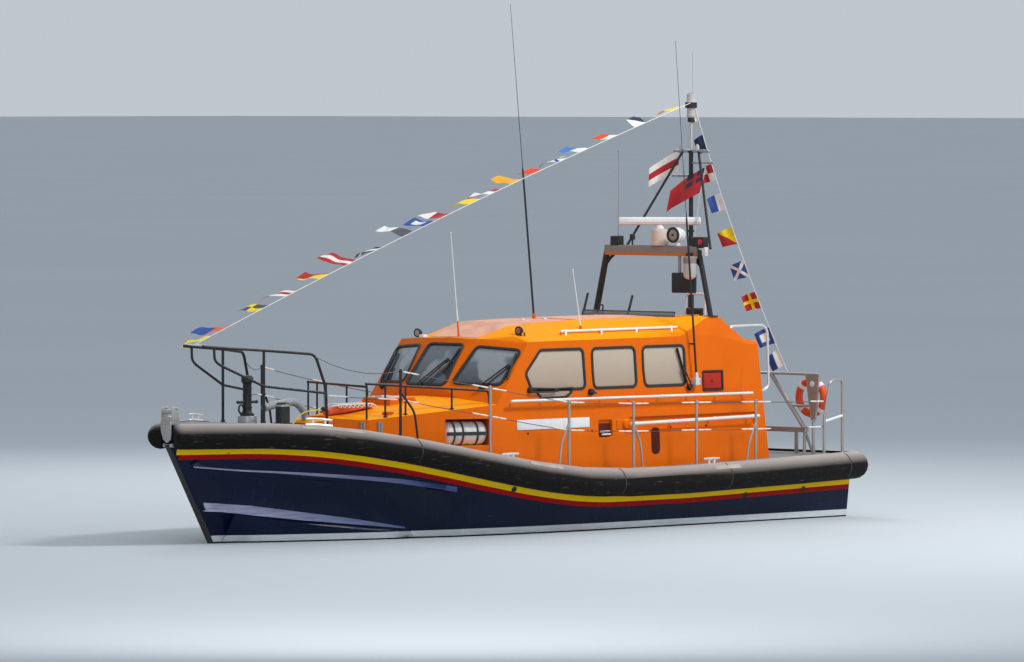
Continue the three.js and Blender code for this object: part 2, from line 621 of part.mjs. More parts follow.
function makeBridgeSeat() {
  const SEAT = { x: -4420, y: 330, half: 200, base: TUB.floor + GAP, low: 2880, back: 3440 };
  const { x, y, half, base, low, back } = SEAT;
  const parts = [
    blockSolid(x - 200, x + 220, y - half, y + half, low, low + 90),
    blockSolid(x - 230, x - 180, y - half, y + half, low + 60, 3240),
    bar([v(x - 205, y - half, low + 45), v(x - 225, y - half, back), v(x - 225, y + half, back), v(x - 205, y + half, low + 45)], 18, 8, 60),
  ];
  for (const [dx, dy] of [[-160, -150], [-160, 150], [170, -150], [170, 150]]) {
    parts.push(bar([v(x + dx, y + dy, base), v(x + dx, y + dy, low + 20)], 20, 8));
  }
  return join(...parts);
}
piece("bridge_seat", shape(makeBridgeSeat()), "black");

// Window glass, set into the walls.
for (const side of SIDES) {
  SIDE_WINDOWS.forEach((row, i) => {
    // The wall leans in, so the pane is what lies between two of the house's forms.
    const outline = sideOutline(row);
    const middle = [(row[0] + row[4]) / 2, (SILL + HEAD) / 2];
    const inner = outline.map(([a, b]) => [mix(middle[0], a, 0.9985), mix(middle[1], b, 0.9985)]);
    const pane = throughSide(inner, side).intersect(houseForm(PANE.deep)).subtract(houseForm(PANE.deep + PANE.thick));
    piece(`side_glass_${sideName(side)}_${i + 1}`, shape(pane), "glass");
  });
}
for (const [name, corners, facet] of FRONT_PANES) {
  const middle = (Math.min(...corners.map((c) => c[0])) + Math.max(...corners.map((c) => c[0]))) / 2;
  const inner = corners.map(([a, b]) => [mix(middle, a, 0.9985), mix(350, b, 0.9985)]);
  piece(name, shape(facetPlate(rounded(inner, CORNER_RADIUS), facet, -PANE.deep - PANE.thick, -PANE.deep)), "glass");
}

// The coachroof: a low solid trunk ahead of the wheelhouse that tapers to the bow, with a bay for a liferaft in each side.
// Sections as x, edge y, edge z, crown z.
const COACHROOF = [
  [300, 1331, 1965, 2080],
  [BREAST_X, BREAST_EDGE, 1905, 2030],
  [...COACH_NOSE, 1725, 1830],
  [3300, 300, 1755, 1790],
];
const HATCH = { x0: 1560, x1: 2060, half: 260, thick: 45, low: 1985 };
function makeCoachroof() {
  const lean = 0.038; // the side leans in as the deckhouse's does
  const rings = COACHROOF.map(([x, edgeY, edgeZ, crownZ]) => {
    const shoulder = mix(edgeZ, crownZ, 0.78);
    const half = [[edgeY + (edgeZ - 600) * lean, 600], [edgeY, edgeZ], [edgeY * 0.5, shoulder]];
    return [...half, [0, crownZ], ...half.slice().reverse().map(([y, z]) => [-y, z])].map(([y, z]) => v(x, y, z));
  });
  const coaming = blockSolid(HATCH.x0 - 30, HATCH.x1 + 30, -HATCH.half - 30, HATCH.half + 30, 1800, HATCH.low);
  const well = blockSolid(HATCH.x0 + 30, HATCH.x1 - 30, -HATCH.half + 30, HATCH.half - 30, 1750, 2100);
  const aftOfIt = blockSolid(-9000, 300 + GAP, -2000, 2000, 0, 3000);
  const trunk = onHouse(onDeck(solid(skin(rings)).add(coaming).subtract(well)).subtract(aftOfIt));
  const flange = houseForm(-RAFT.flange);
  const liners = SIDES.map((side) => raftBay(side, RAFT.liner).intersect(flange));
  return cut(join(trunk, ...liners), ...SIDES.map((side) => raftBay(side, 0)));
}
const coachroof = makeCoachroof();
piece("coachroof", shape(coachroof), "orange");
const coachClear = [shifted(coachroof, 0, 0, GAP), coachroof];

// The hatch lid, hinged at its aft edge.
const HINGE_RADIUS = 14;
function makeHatch() {
  const base = HATCH.low + GAP;
  const lid = blockSolid(HATCH.x0 - 30, HATCH.x1 + 30, -HATCH.half - 30, HATCH.half + 30, base, base + HATCH.thick);
  const barrel = bar([v(HATCH.x0 - 30, -150, base + HINGE_RADIUS), v(HATCH.x0 - 30, 150, base + HINGE_RADIUS)], HINGE_RADIUS, 10);
  return join(lid, barrel);
}
piece("coachroof_hatch", shape(makeHatch()), "white");

// Liferaft canisters lie along the bays.
for (const side of SIDES) {
  const end = RAFT.long / 2;
  const profile = [[0, -end], [RAFT.radius - 45, -end], [RAFT.radius, -end + 60], [RAFT.radius, end - 60], [RAFT.radius - 45, end], [0, end]];
  const canister = new THREE.LatheGeometry(profile.map(([r, h]) => new THREE.Vector2(r, h)), 20).rotateZ(Math.PI / 2);
  canister.translate(0, 0, RAFT.low + RAFT.radius + GAP);
  piece(`liferaft_${sideName(side)}`, raftTurned(canister, side), "white");
}

// A roll of rescue gear lies on the coachroof ahead of the hatch.
const ROLL = { x0: 2330, x1: 3080, y: 190, radius: 95 };
const rollProfile = [[0, ROLL.x0], [70, ROLL.x0], [95, ROLL.x0 + 60], [95, ROLL.x1 - 60], [70, ROLL.x1], [0, ROLL.x1]];
const gearRoll = new THREE.LatheGeometry(rollProfile.map(([r, h]) => new THREE.Vector2(r, h)), 14);
gearRoll.rotateZ(-Math.PI / 2).translate(0, ROLL.y, 1895);
piece("gear_roll", shape(cut(solid(gearRoll), ...coachClear)), "lifebuoy");

// Inside: the sole over the engines, the console under the front windows and six seats on a common bed.
const SOLE = { thick: 50, top: WELL.floor + GAP + 50 };
piece("cabin_sole", block(WELL.x0 + 1, WELL.x1 - 1, -WELL.half + 1, WELL.half - 1, WELL.floor + GAP, SOLE.top), "deckGrey");

const CONSOLE = [[300, SOLE.top + GAP], [340, 1150], [-260, 1800], [-260, 1900], [120, 2030], [340, 2030], [345, SOLE.top + GAP]];
piece("helm_console", shape(sidePlate(CONSOLE, -1050, 1050)), "black");

function makeSeats() {
  const bed = blockSolid(-4400, -900, -900, 900, SOLE.top + GAP, SOLE.top + 60);
  const parts = [bed];
  for (const x of [-1250, -2550, -3850]) {
    for (const y of [-620, 620]) {
      parts.push(blockSolid(x - 120, x + 120, y - 120, y + 120, SOLE.top + 50, 1010));
      parts.push(blockSolid(x - 230, x + 240, y - 240, y + 240, 1000, 1110));
      parts.push(blockSolid(x - 330, x - 220, y - 230, y + 230, 1010, 1760));
      parts.push(blockSolid(x - 310, x - 240, y - 130, y + 130, 1750, 1960));
    }
  }
  return join(...parts);
}
piece("crew_seats", shape(makeSeats()), "black");

function makeEngines() {
  const parts = [blockSolid(-4300, -2800, -950, 950, ENGINE_SPACE.floor + GAP, ENGINE_SPACE.floor + 50)];
  for (const side of SIDES) parts.push(blockSolid(-4250, -2850, side * 200, side * 900, ENGINE_SPACE.floor + 40, 340));
  return join(...parts);
}
piece("engines", shape(makeEngines()), "engineGrey");

// The aft door, hinged on its port edge, with a small window cut in it.
function makeDoor() {
  const leaf = aftPlate(rounded(inset(DOOR, DOOR.clear), DOOR.radius, 2), -4, DOOR.thick - 4);
  const light = aftPlate(rounded([[-150, 720], [150, 720], [150, 1120], [-150, 1120]], 60), -100, 100);
  const handle = bar([aftPoint(-300, 570, -5), aftPoint(-300, 570, 45), aftPoint(-180, 570, 45)], 11, 6, 20);
  return join(leaf.subtract(light), handle, ...doorKnuckles());
}
piece("aft_door", shape(makeDoor()), "orange");

// Steps up the aft face, to port of the door, and the grab rails beside them.
function makeLadder() {
  const LADDER = { y: [620, 980], low: 20, high: 1420, off: 130, rungs: 5 };
  const { y: rails, low, high, off, rungs } = LADDER;
  const parts = rails.map((y) => bar([aftPoint(y, low, -30), aftPoint(y, low + 20, off), aftPoint(y, high, off), aftPoint(y, high, -30)], 17));
  for (let i = 0; i < rungs; i++) {
    const rise = mix(low + 120, high - 160, i / (rungs - 1));
    parts.push(bar([aftPoint(rails[0], rise, off), aftPoint(rails[1], rise, off)], 15));
  }
  return onHouse(join(...parts));
}
piece("aft_ladder", shape(makeLadder()), "steel");

for (const side of SIDES) {
  const y = side * 1130;
  const route = [v(-4450, y, 2800), v(-4560, y, 2960), v(-5290, y, 2965), v(-5400, y, 2880), v(-5430, y, 2030), v(-5340, y, 1960), v(-5000, y, 1955)];
  piece(`aft_grab_rail_${sideName(side)}`, shape(onHouse(bar(route, 20))), "steel");
}

// The targa: two splayed legs and a beam across, with a light box near each end.
const TARGA = { x: -4030, deep: 65, footHalf: 1190, footZ: 3100, topHalf: 930, beamLow: 4045, beamHigh: 4190 };
// Boxes on the beam, as [first y, last y, tall].
const LIGHT_BOXES = [[-840, -650, 140], [840, 1090, 140]];
function makeTarga() {
  const { x, deep, footHalf, footZ, topHalf, beamLow, beamHigh } = TARGA;
  const parts = [blockSolid(x - deep, x + deep, -topHalf - 20, topHalf + 20, beamLow, beamHigh)];
  for (const side of SIDES) {
    parts.push(bar([v(x, side * footHalf, footZ - 60), v(x, side * topHalf, beamHigh - 25)], 50, 10));
    parts.push(bar([v(x, side * 1015, 3860), v(x, side * 880, 3990), v(x, side * 790, beamLow + 20)], 26, 6));
  }
  for (const [y0, y1, tall] of LIGHT_BOXES) parts.push(blockSolid(x - 60, x + 60, y0, y1, beamHigh - 30, beamHigh + tall));
  parts.push(bar([v(x, -713, beamHigh + 100), v(x, -713, 5600)], 9, 6));
  parts.push(bar([v(x, -424, beamHigh - 20), v(x, -424, beamHigh + 90)], 14, 6));
  parts.push(blockSolid(x - 35, x + 35, -455, -393, beamHigh + 80, beamHigh + 170));
  // A display box hangs under the beam on a post, and a beacon in front of it.
  parts.push(bar([v(x, 550, beamLow + 20), v(x, 550, 3720)], 22, 8));
  parts.push(blockSolid(x - 50, x + 50, 430, 910, 3470, 3780));
  parts.push(solid(new THREE.CylinderGeometry(72, 72, 350, 14).rotateX(Math.PI / 2).translate(x + 118, 780, 3860)));
  parts.push(blockSolid(x, x + 130, 755, 805, 4000, beamLow + 40));
  return onHouse(join(...parts));
}
const targa = makeTarga();
piece("targa_frame", shape(targa), "blackTube");

// The radar turns on a pedestal on the beam.
const RADAR = { x: TARGA.x, y: 140, half: 630, tall: 125, deep: 110, rest: 43, pedestal: 255, radius: 145 };
const drum = new THREE.CylinderGeometry(RADAR.radius - 15, RADAR.radius, RADAR.pedestal, 16).rotateX(Math.PI / 2);
const pedestalZ = TARGA.beamHigh + GAP + RADAR.pedestal / 2;
piece("radar_pedestal", drum, "white", v(RADAR.x, RADAR.y, pedestalZ));
function makeScanner() {
  const { deep, tall, half } = RADAR;
  const hub = solid(new THREE.CylinderGeometry(55, 75, 60, 14).rotateX(Math.PI / 2).translate(0, 0, -tall / 2 - 25));
  const outline = rounded([[-deep / 2, -tall / 2], [deep / 2, -tall / 2], [deep / 2, tall / 2], [-deep / 2, tall / 2]], 25, 2);
  return sidePlate(outline, -half, half).add(hub);
}
const scannerZ = TARGA.beamHigh + GAP + RADAR.pedestal + GAP + 55 + RADAR.tall / 2;
piece("radar_scanner", shape(makeScanner()), "white", v(RADAR.x, RADAR.y, scannerZ)).rotation.z = rad(RADAR.rest);

// The searchlight swivels on the beam beside the radar.
const SEARCHLIGHT = { y: 505, z: 165 };
function makeSearchlight() {
  const profile = [[0, -115], [60, -115], [95, -70], [112, 40], [116, 115], [98, 115], [92, 98], [0, 98]];
  const lamp = new THREE.LatheGeometry(profile.map(([r, h]) => new THREE.Vector2(r, h)), 18).rotateZ(-Math.PI / 2);
  return solid(lamp).add(bar([v(0, 0, -SEARCHLIGHT.z), v(0, 0, -80)], 42, 10));
}
piece("searchlight", shape(makeSearchlight()), "white", v(TARGA.x, SEARCHLIGHT.y, TARGA.beamHigh + GAP + SEARCHLIGHT.z));

// The mast: a pole on the step aft of the bridge, two struts to the targa, crosstrees and the masthead lights.
const MAST = { x: -4860, y: 40, foot: 2740, top: 6110, crosstree: 5620 };
const lightStack = (grow) => {
  const profile = [[0, 6080], [52, 6080], [52, 6150], [72, 6160], [72, 6310], [90, 6320], [90, 6390], [75, 6400], [75, 6520], [0, 6520]];
  const lathe = new THREE.LatheGeometry(profile.map(([r, h]) => new THREE.Vector2(r && r + grow, h)), 14);
  return solid(lathe.rotateX(Math.PI / 2).translate(MAST.x, MAST.y, 0));
};
// Level arms, as [z, from y, to y, radius], from the mast's centreline.
const ARMS = [[MAST.crosstree, -360, 530, 24], [5450, 0, 460, 15], [5250, -370, 0, 22]];
// Struts from the targa, as [foot y, head y].
const STRUTS = [[-620, -125], [1120, 205]];
function makeMast() {
  const at = (y, z) => v(MAST.x, MAST.y + y, z);
  const parts = [
    bar([at(0, MAST.foot - 60), at(0, MAST.crosstree)], 46, 12),
    bar([at(0, MAST.crosstree - 20), at(0, MAST.top)], 22, 8),
    ...ARMS.map(([z, y0, y1, radius]) => bar([at(y0, z), at(y1, z)], radius, 6)),
    lightStack(0),
    bar([at(-15, 6500), at(-15, 7160)], 6, 6),
    ...STRUTS.map(([foot, head]) => bar([v(TARGA.x - 65, foot, TARGA.beamHigh - 40), v(MAST.x + 10, head, MAST.crosstree)], 20, 8)),
  ];
  return onHouse(cut(join(...parts), shifted(targa, -GAP, 0, 0), shifted(targa, 0, 0, GAP), targa));
}
piece("mast", shape(makeMast()), "blackTube");

// Whip aerials, as name, foot, top and the bracket that holds it off the house.
const WHIPS = [
  ["whip_aerial_roof", v(-1370, -15, 3060), v(-840, -15, 7860)],
  ["whip_aerial_side", v(-3470, 1400, 2150), v(-3080, 1400, 7310)],
];
for (const [name, foot, top] of WHIPS) {
  const joint = foot.clone().lerp(top, 0.48);
  const lower = bar([foot, joint], 22, 8);
  const upper = bar([joint.clone().lerp(foot, 0.02), top], 7, 6);
  const bracket = blockSolid(foot.x - 60, foot.x + 60, foot.y - 90, foot.y + 40, foot.z - 60, foot.z + 60);
  const parts = [lower, upper, bracket];
  if (foot.y > 1000) {
    const stay = foot.clone().lerp(top, 0.11);
    parts.push(bar([stay, v(stay.x, 1230, stay.z + 10)], 14, 6));
  }
  piece(name, shape(onHouse(join(...parts))), "blackTube");
}

// The pulpit: one bent frame each side of the bow, open between them.
const PULPIT_RADIUS = 21;
for (const side of SIDES) {
  const at = (x, y, z) => v(x, side * y, z);
  const aftFoot = at(3930, 790, deckAt(3930) - 40);
  const frame = join(
    bar([at(5880, 195, 2865), at(5700, 230, 2850), at(4870, 420, 2790), at(4130, 735, 2725), at(3960, 785, 2240), aftFoot], PULPIT_RADIUS),
    bar([at(4870, 420, 2790), at(4870, 420, deckAt(4870) - 40)], PULPIT_RADIUS),
    bar([at(5700, 230, 2850), at(5690, 232, 2660), at(5600, 250, 2590), at(4870, 420, 2270), at(3948, 788, 2155)], PULPIT_RADIUS - 2),
  );
  piece(`pulpit_${sideName(side)}`, shape(onDeck(frame)), "blackTube");
}

// Low black rails along the coachroof's edge: legs as [x, y, foot z, top z].
const COACH_LEGS = [[2910, 600, 1700, 2260], [2620, 700, 1720, 2240], [2310, 815, 1740, 2215], [1600, 1080, 1790, 2165]];
for (const side of SIDES) {
  const end = v(1150, side * 1250, 2130);
  const top = COACH_LEGS.map(([x, y, , z]) => v(x, side * y, z));
  const legs = COACH_LEGS.map(([x, y, foot, z]) => bar([v(x, side * y, foot), v(x, side * y, z)], 15, 6));
  const rail = join(bar([v(2930, side * 593, 2262), ...top.slice(1), end, v(1130, side * 1255, 1850)], 18, 6), ...legs);
  piece(`coachroof_rail_${sideName(side)}`, shape(onHouse(cut(rail, ...coachClear))), "blackTube");
}

// Side guardrails: stanchions as [x, top z, brace foot's step along x], with two wires from the pulpit to the pushpit.
const STANCHIONS = [
  [3050, 2490, -300],
  [1430, 2210, 0],
  [-180, 1960, 210],
  [-1600, 1900, -210],
  [-3020, 1880, 0],
  [-4400, 1850, 210],
];
const RAIL_INSET = 130;
const railY = (x) => sheerY(x) - RAIL_INSET;
const WIRE = { radius: 7, upper: 25, lower: 440 };
const PUSHPIT = { x0: -5950, x1: -6380, y: 1810, z: 2110, fore: 1480, aft: 1560, bend: -6080 };
for (const side of SIDES) {
  const parts = [];
  for (const [x, top, brace] of STANCHIONS) {
    const y = side * railY(x);
    parts.push(bar([v(x, y, deckAt(x) - 40), v(x, y, top)], 21, 8));
    if (brace) {
      const foot = v(x + brace, side * railY(x + brace), deckAt(x + brace) - 40);
      parts.push(bar([v(x, y, top - 330), v(x + brace * 0.75, foot.y, top - 620), foot], 17, 8));
    }
  }
  const wire = (drop, start, end) => {
    const posts = STANCHIONS.map(([x, top]) => v(x, side * railY(x), top - drop));
    return bar([start, ...posts, end], WIRE.radius, 6, 0);
  };
  parts.push(wire(WIRE.upper, v(4150, side * 745, 2690), v(PUSHPIT.x0 - 25, side * PUSHPIT.y, 1790)));
  parts.push(wire(WIRE.lower, v(3985, side * 805, 2120), v(PUSHPIT.x0 + 24, side * PUSHPIT.y, 1400)));
  const pulpit = frameOf(`pulpit_${sideName(side)}`);
  const clear = [pulpit, shifted(pulpit, -GAP, side * GAP, 0)];
  piece(`guardrail_${sideName(side)}`, shape(onDeck(cut(join(...parts), ...clear))), "steel");
}

// The pushpit: a hoop on each quarter, with the forward post bent aft.
for (const side of SIDES) {
  const { x0, x1, y, z, fore, aft, bend } = PUSHPIT;
  const at = (px, pz) => v(px, side * y, pz);
  const low = deckAt(x1) - 40;
  const frame = join(
    bar([at(x0, low), at(x0 - 5, fore + 60), at(bend, z - 40), at(bend - 90, z), at(x1, z), at(x1, low)], 23),
    bar([at(x0, fore), at(x1, aft)], 19),
  );
  piece(`pushpit_${sideName(side)}`, shape(onDeck(frame)), "steel");
}

// The frame across the stern: a low beam on posts, raking legs, a top bar with a tapered panel at each end, and a middle bar.
const STERN = { x: -6200, beamLow: 1290, beamHigh: 1365, topZ: 2190, topHalf: 1450, legHalf: 1200, headHalf: 500, bar: 20 };
function makeArch() {
  const { x, beamLow, beamHigh, topZ, topHalf, legHalf, headHalf } = STERN;
  const foot = deckAt(x) - 40;
  const parts = [
    blockSolid(x - 45, x + 45, -legHalf - 40, legHalf + 40, beamLow, beamHigh),
    bar([v(x, -topHalf - 40, topZ), v(x, topHalf + 40, topZ)], 24),
  ];
  for (const side of SIDES) {
    const at = (y, z, dx = 0) => v(x + dx, side * y, z);
    parts.push(bar([at(legHalf, beamHigh - 20), at(headHalf, topZ)], 36, 10));
    parts.push(bar([at(1030, beamLow + 20), at(1030, foot)], 32, 8));
    parts.push(bar([at(legHalf, beamLow + 40), at(1240, foot, 60)], 26, 8));
    parts.push(bar([at(legHalf, beamLow + 40), at(1340, foot, -60)], 26, 8));
    const panel = [[1220, topZ], [1495, topZ], [1425, 1480], [1335, 1480]].map(([y, z]) => [side * y, z]);
    parts.push(crossPlate(panel, x - 15, x + 15));
    parts.push(bar([at(1380, 1500), at(1380, foot)], 26, 8));
    parts.push(bar([at(905, 1700), at(1350, 1700)], STERN.bar, 8));
  }
  return onDeck(join(...parts));
}
piece("stern_arch", shape(makeArch()), "steel");

const BUOY = { ring: 252, bar: 60, y: 1270, z: 1830 };
const buoy = new THREE.TorusGeometry(BUOY.ring, BUOY.bar, 10, 28).rotateY(Math.PI / 2);
const buoyHalf = BUOY.bar * Math.sin(rad(72)); // the ring's section has its flats fore and aft
const buoyRest = STERN.bar * Math.cos(rad(22.5)); // and lies against the flat of the middle bar
piece("lifebuoy", buoy, "lifebuoy", v(STERN.x - buoyRest - buoyHalf - GAP, BUOY.y, BUOY.z));

// Foredeck gear: the towing bollard, the capstan and a swan-necked vent.
const BOLLARD = { x: 4400, y: 340 };
const bollardProfile = [[0, -60], [150, -60], [150, 25], [105, 40], [105, 300], [85, 325], [45, 345], [0, 345]];
const bollard = new THREE.LatheGeometry(bollardProfile.map(([r, h]) => new THREE.Vector2(r, h)), 18);
bollard.rotateX(Math.PI / 2).translate(BOLLARD.x, BOLLARD.y, deckAt(BOLLARD.x));
piece("towing_bollard", shape(onDeck(solid(bollard))), "black");

const CAPSTAN = { x: 4700, y: -90, base: 110 };
const capstanBase = new THREE.CylinderGeometry(135, 150, CAPSTAN.base + 60, 16).rotateX(Math.PI / 2);
capstanBase.translate(CAPSTAN.x, CAPSTAN.y, deckAt(CAPSTAN.x) + CAPSTAN.base / 2 - 30);
piece("capstan_base", shape(onDeck(solid(capstanBase))), "alloy");
function makeCapstan() {
  const profile = [[0, 0], [105, 0], [105, 30], [66, 60], [66, 470], [88, 490], [88, 560], [60, 590], [0, 590]];
  const post = new THREE.LatheGeometry(profile.map(([r, h]) => new THREE.Vector2(r, h)), 18).rotateX(Math.PI / 2);
  return solid(post).add(bar([v(-190, 0, 200), v(190, 0, 200)], 20, 8));
}
piece("capstan_drum", shape(makeCapstan()), "black", v(CAPSTAN.x, CAPSTAN.y, deckAt(CAPSTAN.x) + CAPSTAN.base + GAP));

const VENT = { x: 3560, reach: 480, rise: 470, radius: 58 };
const ventRoute = [[0, -40], [10, 120], [90, 330], [260, VENT.rise], [VENT.reach, VENT.rise - 30]];
const vent = bar(ventRoute.map(([dx, z]) => v(VENT.x + dx, 0, deckAt(VENT.x) + z)), VENT.radius, 12, 90);
piece("foredeck_vent", shape(cut(onDeck(vent), ...coachClear)), "alloy");

// Water jets in the recess: housings on one mounting plate, a steering nozzle and a reversing bucket each.
const JET = { y: 700, z: -60, r: 230, plate: JET_RECESS.x1 - GAP };
const NOZZLE = { pivot: JET.plate - 420, length: 190, pin: 215 };
function makeJetHousings() {
  const parts = [blockSolid(JET.plate, JET.plate - 40, -1150, 1150, JET.z - 330, JET.z + 330)];
  const profile = [[0, 0], [JET.r + 40, 0], [JET.r + 40, 60], [JET.r, 90], [130, 285], [118, 345], [92, 345], [92, 250], [0, 200]];
  for (const side of SIDES) {
    const housing = new THREE.LatheGeometry(profile.map(([r, h]) => new THREE.Vector2(r, h)), 20);
    housing.rotateZ(Math.PI / 2).translate(JET.plate - 20, side * JET.y, JET.z);
    parts.push(solid(housing));
    for (const cheek of [-1, 1]) {
      const y = side * JET.y + cheek * 275;
      parts.push(blockSolid(JET.plate - 20, JET.plate - 560, y - 12, y + 12, JET.z - 40, JET.z + 150));
      const z = JET.z + cheek * (NOZZLE.pin + GAP);
      parts.push(blockSolid(JET.plate - 20, NOZZLE.pivot - 45, side * JET.y - 45, side * JET.y + 45, z, z + cheek * 30));
    }
  }
  return join(...parts);
}
piece("jet_housings", shape(makeJetHousings()), "alloy");

// The nozzle's mouth is wider than the housing's outlet, so that it clears it when steered.
for (const side of SIDES) {
  const profile = [[168, -20], [192, -20], [192, 35], [132, NOZZLE.length], [108, NOZZLE.length]];
  const nozzle = new THREE.LatheGeometry([...profile, profile[0]].map(([r, h]) => new THREE.Vector2(r, h)), 20);
  nozzle.rotateZ(Math.PI / 2);
  const pins = [1, -1].map((up) => bar([v(0, 0, up * 178), v(0, 0, up * NOZZLE.pin)], 24, 10));
  piece(`steering_nozzle_${sideName(side)}`, shape(join(solid(nozzle), ...pins)), "alloy", v(NOZZLE.pivot, side * JET.y, JET.z));
}

// Each bucket hangs above its nozzle from the housing's cheeks and swings down behind it.
const BUCKET = { pivotX: JET.plate - 520, pivotZ: JET.z + 110, cheek: 245, stub: 263 };
function makeBucket() {
  const arm = [[40, -35], [40, 35], [-120, 60], [-400, 300], [-420, 180], [-330, 60]];
  const hood = [[-60, 90], [-140, 190], [-260, 270], [-400, 300], [-420, 270], [-275, 240], [-165, 165], [-90, 75]];
  const parts = [sidePlate(hood, -BUCKET.cheek, BUCKET.cheek)];
  for (const way of [-1, 1]) {
    parts.push(sidePlate(arm, way * BUCKET.cheek - 10, way * BUCKET.cheek + 10));
    parts.push(bar([v(0, way * (BUCKET.cheek - 10), 0), v(0, way * (BUCKET.stub - GAP), 0)], 30, 12));
  }
  return join(...parts);
}
for (const side of SIDES) {
  piece(`reversing_bucket_${sideName(side)}`, shape(makeBucket()), "alloy", v(BUCKET.pivotX, side * JET.y, BUCKET.pivotZ));
}

// Dressing lines from the pulpit to the masthead and down to the stern, each with signal flags fused to it.
const LINE = 7;
const FLAG_THICK = 8;
// A line from end to end that bows by the given amount, with flags as [share of the line, length, width across, drop].
function dressingLine(from, to, bow, across, flags) {
  const middle = from.clone().lerp(to, 0.5).addScaledVector(bow, 2);
  const curve = new THREE.QuadraticBezierCurve3(from, middle, to);
  const parts = [bar(curve.getPoints(8), LINE, 6, 0)];
  for (const [share, long, wide, drop] of flags) {
    const at = curve.getPoint(share);
    const step = curve.getTangent(share).multiplyScalar(long);
    const hangs = across.clone().multiplyScalar(wide).add(v(0, 0, -drop));
    const corners = [at, at.clone().add(step), at.clone().add(step).add(hangs), at.clone().add(hangs)];
    const normal = step.clone().cross(hangs).normalize().multiplyScalar(FLAG_THICK / 2);
    parts.push(solid(skin([corners.map((p) => p.clone().add(normal)), corners.map((p) => p.clone().sub(normal))])));
  }
  return join(...parts);
}
const FORE_SHARES = [0.012, 0.03, 0.11, 0.155, 0.225, 0.27, 0.345, 0.385, 0.445, 0.485, 0.535, 0.575, 0.62, 0.675, 0.72, 0.76, 0.82, 0.88, 0.955];
const FORE_FLAGS = FORE_SHARES.map((share, i) => [share, 200 + 25 * (i % 3), 200 + 45 * (i % 2), 20 + 20 * (i % 3)]);
const AFT_SHARES = [0.03, 0.13, 0.25, 0.37, 0.5, 0.62, 0.74, 0.86];
const AFT_FLAGS = AFT_SHARES.map((share, i) => [share, 240, 250 + 30 * (i % 3), 30 + 20 * (i % 2)]);
const masthead = v(MAST.x, MAST.y + 5, 6355);
const BOW_SPAN = v(5860, 0, 2888);
const pulpits = SIDES.map((side) => frameOf(`pulpit_${sideName(side)}`));
const foreLine = dressingLine(BOW_SPAN, masthead, v(0, 0, 100), v(0.3, -0.95, 0), FORE_FLAGS);
const bowSpan = bar([v(5860, -200, BOW_SPAN.z), v(5860, 200, BOW_SPAN.z)], 10, 6);
const clearOfPulpits = pulpits.flatMap((frame) => [frame, shifted(frame, 0, 0, GAP)]);
piece("dressing_line_fore", shape(cut(join(foreLine, bowSpan), lightStack(GAP), ...clearOfPulpits)), "cloth");
const arch = frameOf("stern_arch");
const aftLine = dressingLine(masthead, v(STERN.x, 850, STERN.topZ + 20), v(60, -70, -90), v(0.25, -0.95, 0), AFT_FLAGS);
piece("dressing_line_aft", shape(cut(aftLine, lightStack(GAP), arch, shifted(arch, 0, 0, GAP))), "cloth");

export default boat;
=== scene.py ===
"""The looks of an all-weather rescue lifeboat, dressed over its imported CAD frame.

Metres. +X is forward, +Y is port and +Z is up. The origin is amidships, on the centreline, at the waterline.
"""

import json
import logging
import math
from dataclasses import dataclass
from enum import Enum
from typing import Callable, Optional, Sequence

import bmesh
import bpy
from mathutils import Matrix, Vector
from mathutils.bvhtree import BVHTree

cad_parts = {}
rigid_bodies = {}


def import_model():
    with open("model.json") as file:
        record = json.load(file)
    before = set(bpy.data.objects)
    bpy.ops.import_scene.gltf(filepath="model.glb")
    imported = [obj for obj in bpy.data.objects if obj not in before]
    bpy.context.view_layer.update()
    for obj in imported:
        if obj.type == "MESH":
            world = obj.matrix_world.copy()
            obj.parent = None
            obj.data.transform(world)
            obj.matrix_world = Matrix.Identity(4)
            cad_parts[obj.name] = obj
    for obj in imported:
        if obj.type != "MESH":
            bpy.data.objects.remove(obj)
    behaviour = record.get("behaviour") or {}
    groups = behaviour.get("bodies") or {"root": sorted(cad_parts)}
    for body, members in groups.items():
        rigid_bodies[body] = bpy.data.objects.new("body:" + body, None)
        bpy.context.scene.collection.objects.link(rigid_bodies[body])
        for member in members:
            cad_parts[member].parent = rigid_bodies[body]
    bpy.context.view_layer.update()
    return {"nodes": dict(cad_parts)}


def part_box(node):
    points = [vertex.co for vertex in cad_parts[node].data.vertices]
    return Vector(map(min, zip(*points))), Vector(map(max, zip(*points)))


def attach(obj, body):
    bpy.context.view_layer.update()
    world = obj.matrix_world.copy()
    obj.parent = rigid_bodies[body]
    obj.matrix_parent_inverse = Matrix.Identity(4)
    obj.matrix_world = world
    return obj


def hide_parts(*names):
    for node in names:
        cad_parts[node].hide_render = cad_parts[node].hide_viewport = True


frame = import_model()

LOG = logging.getLogger("lifeboat")
ROOT = "boat"
# The sides, as the sign of Y and the name.
SIDES = ((1, "port"), (-1, "starboard"))
X = Vector((1, 0, 0))
Y = Vector((0, 1, 0))
Z = Vector((0, 0, 1))
HERE = Matrix.Identity(4)

Point = Sequence[float]
Profile = Sequence[tuple[float, float]]
Colour = tuple[float, float, float, float]
Material = bpy.types.Material
Mesh = bpy.types.Mesh
Piece = bpy.types.Object
Socket = bpy.types.NodeSocket


def blend(a: float, b: float, t: float) -> float:
    """Gives the value a share t of the way from a to b."""
    return a + (b - a) * t


def ease(t: float) -> float:
    """Gives a smooth step from 0 to 1."""
    t = min(1.0, max(0.0, t))
    return t * t * (3 - 2 * t)


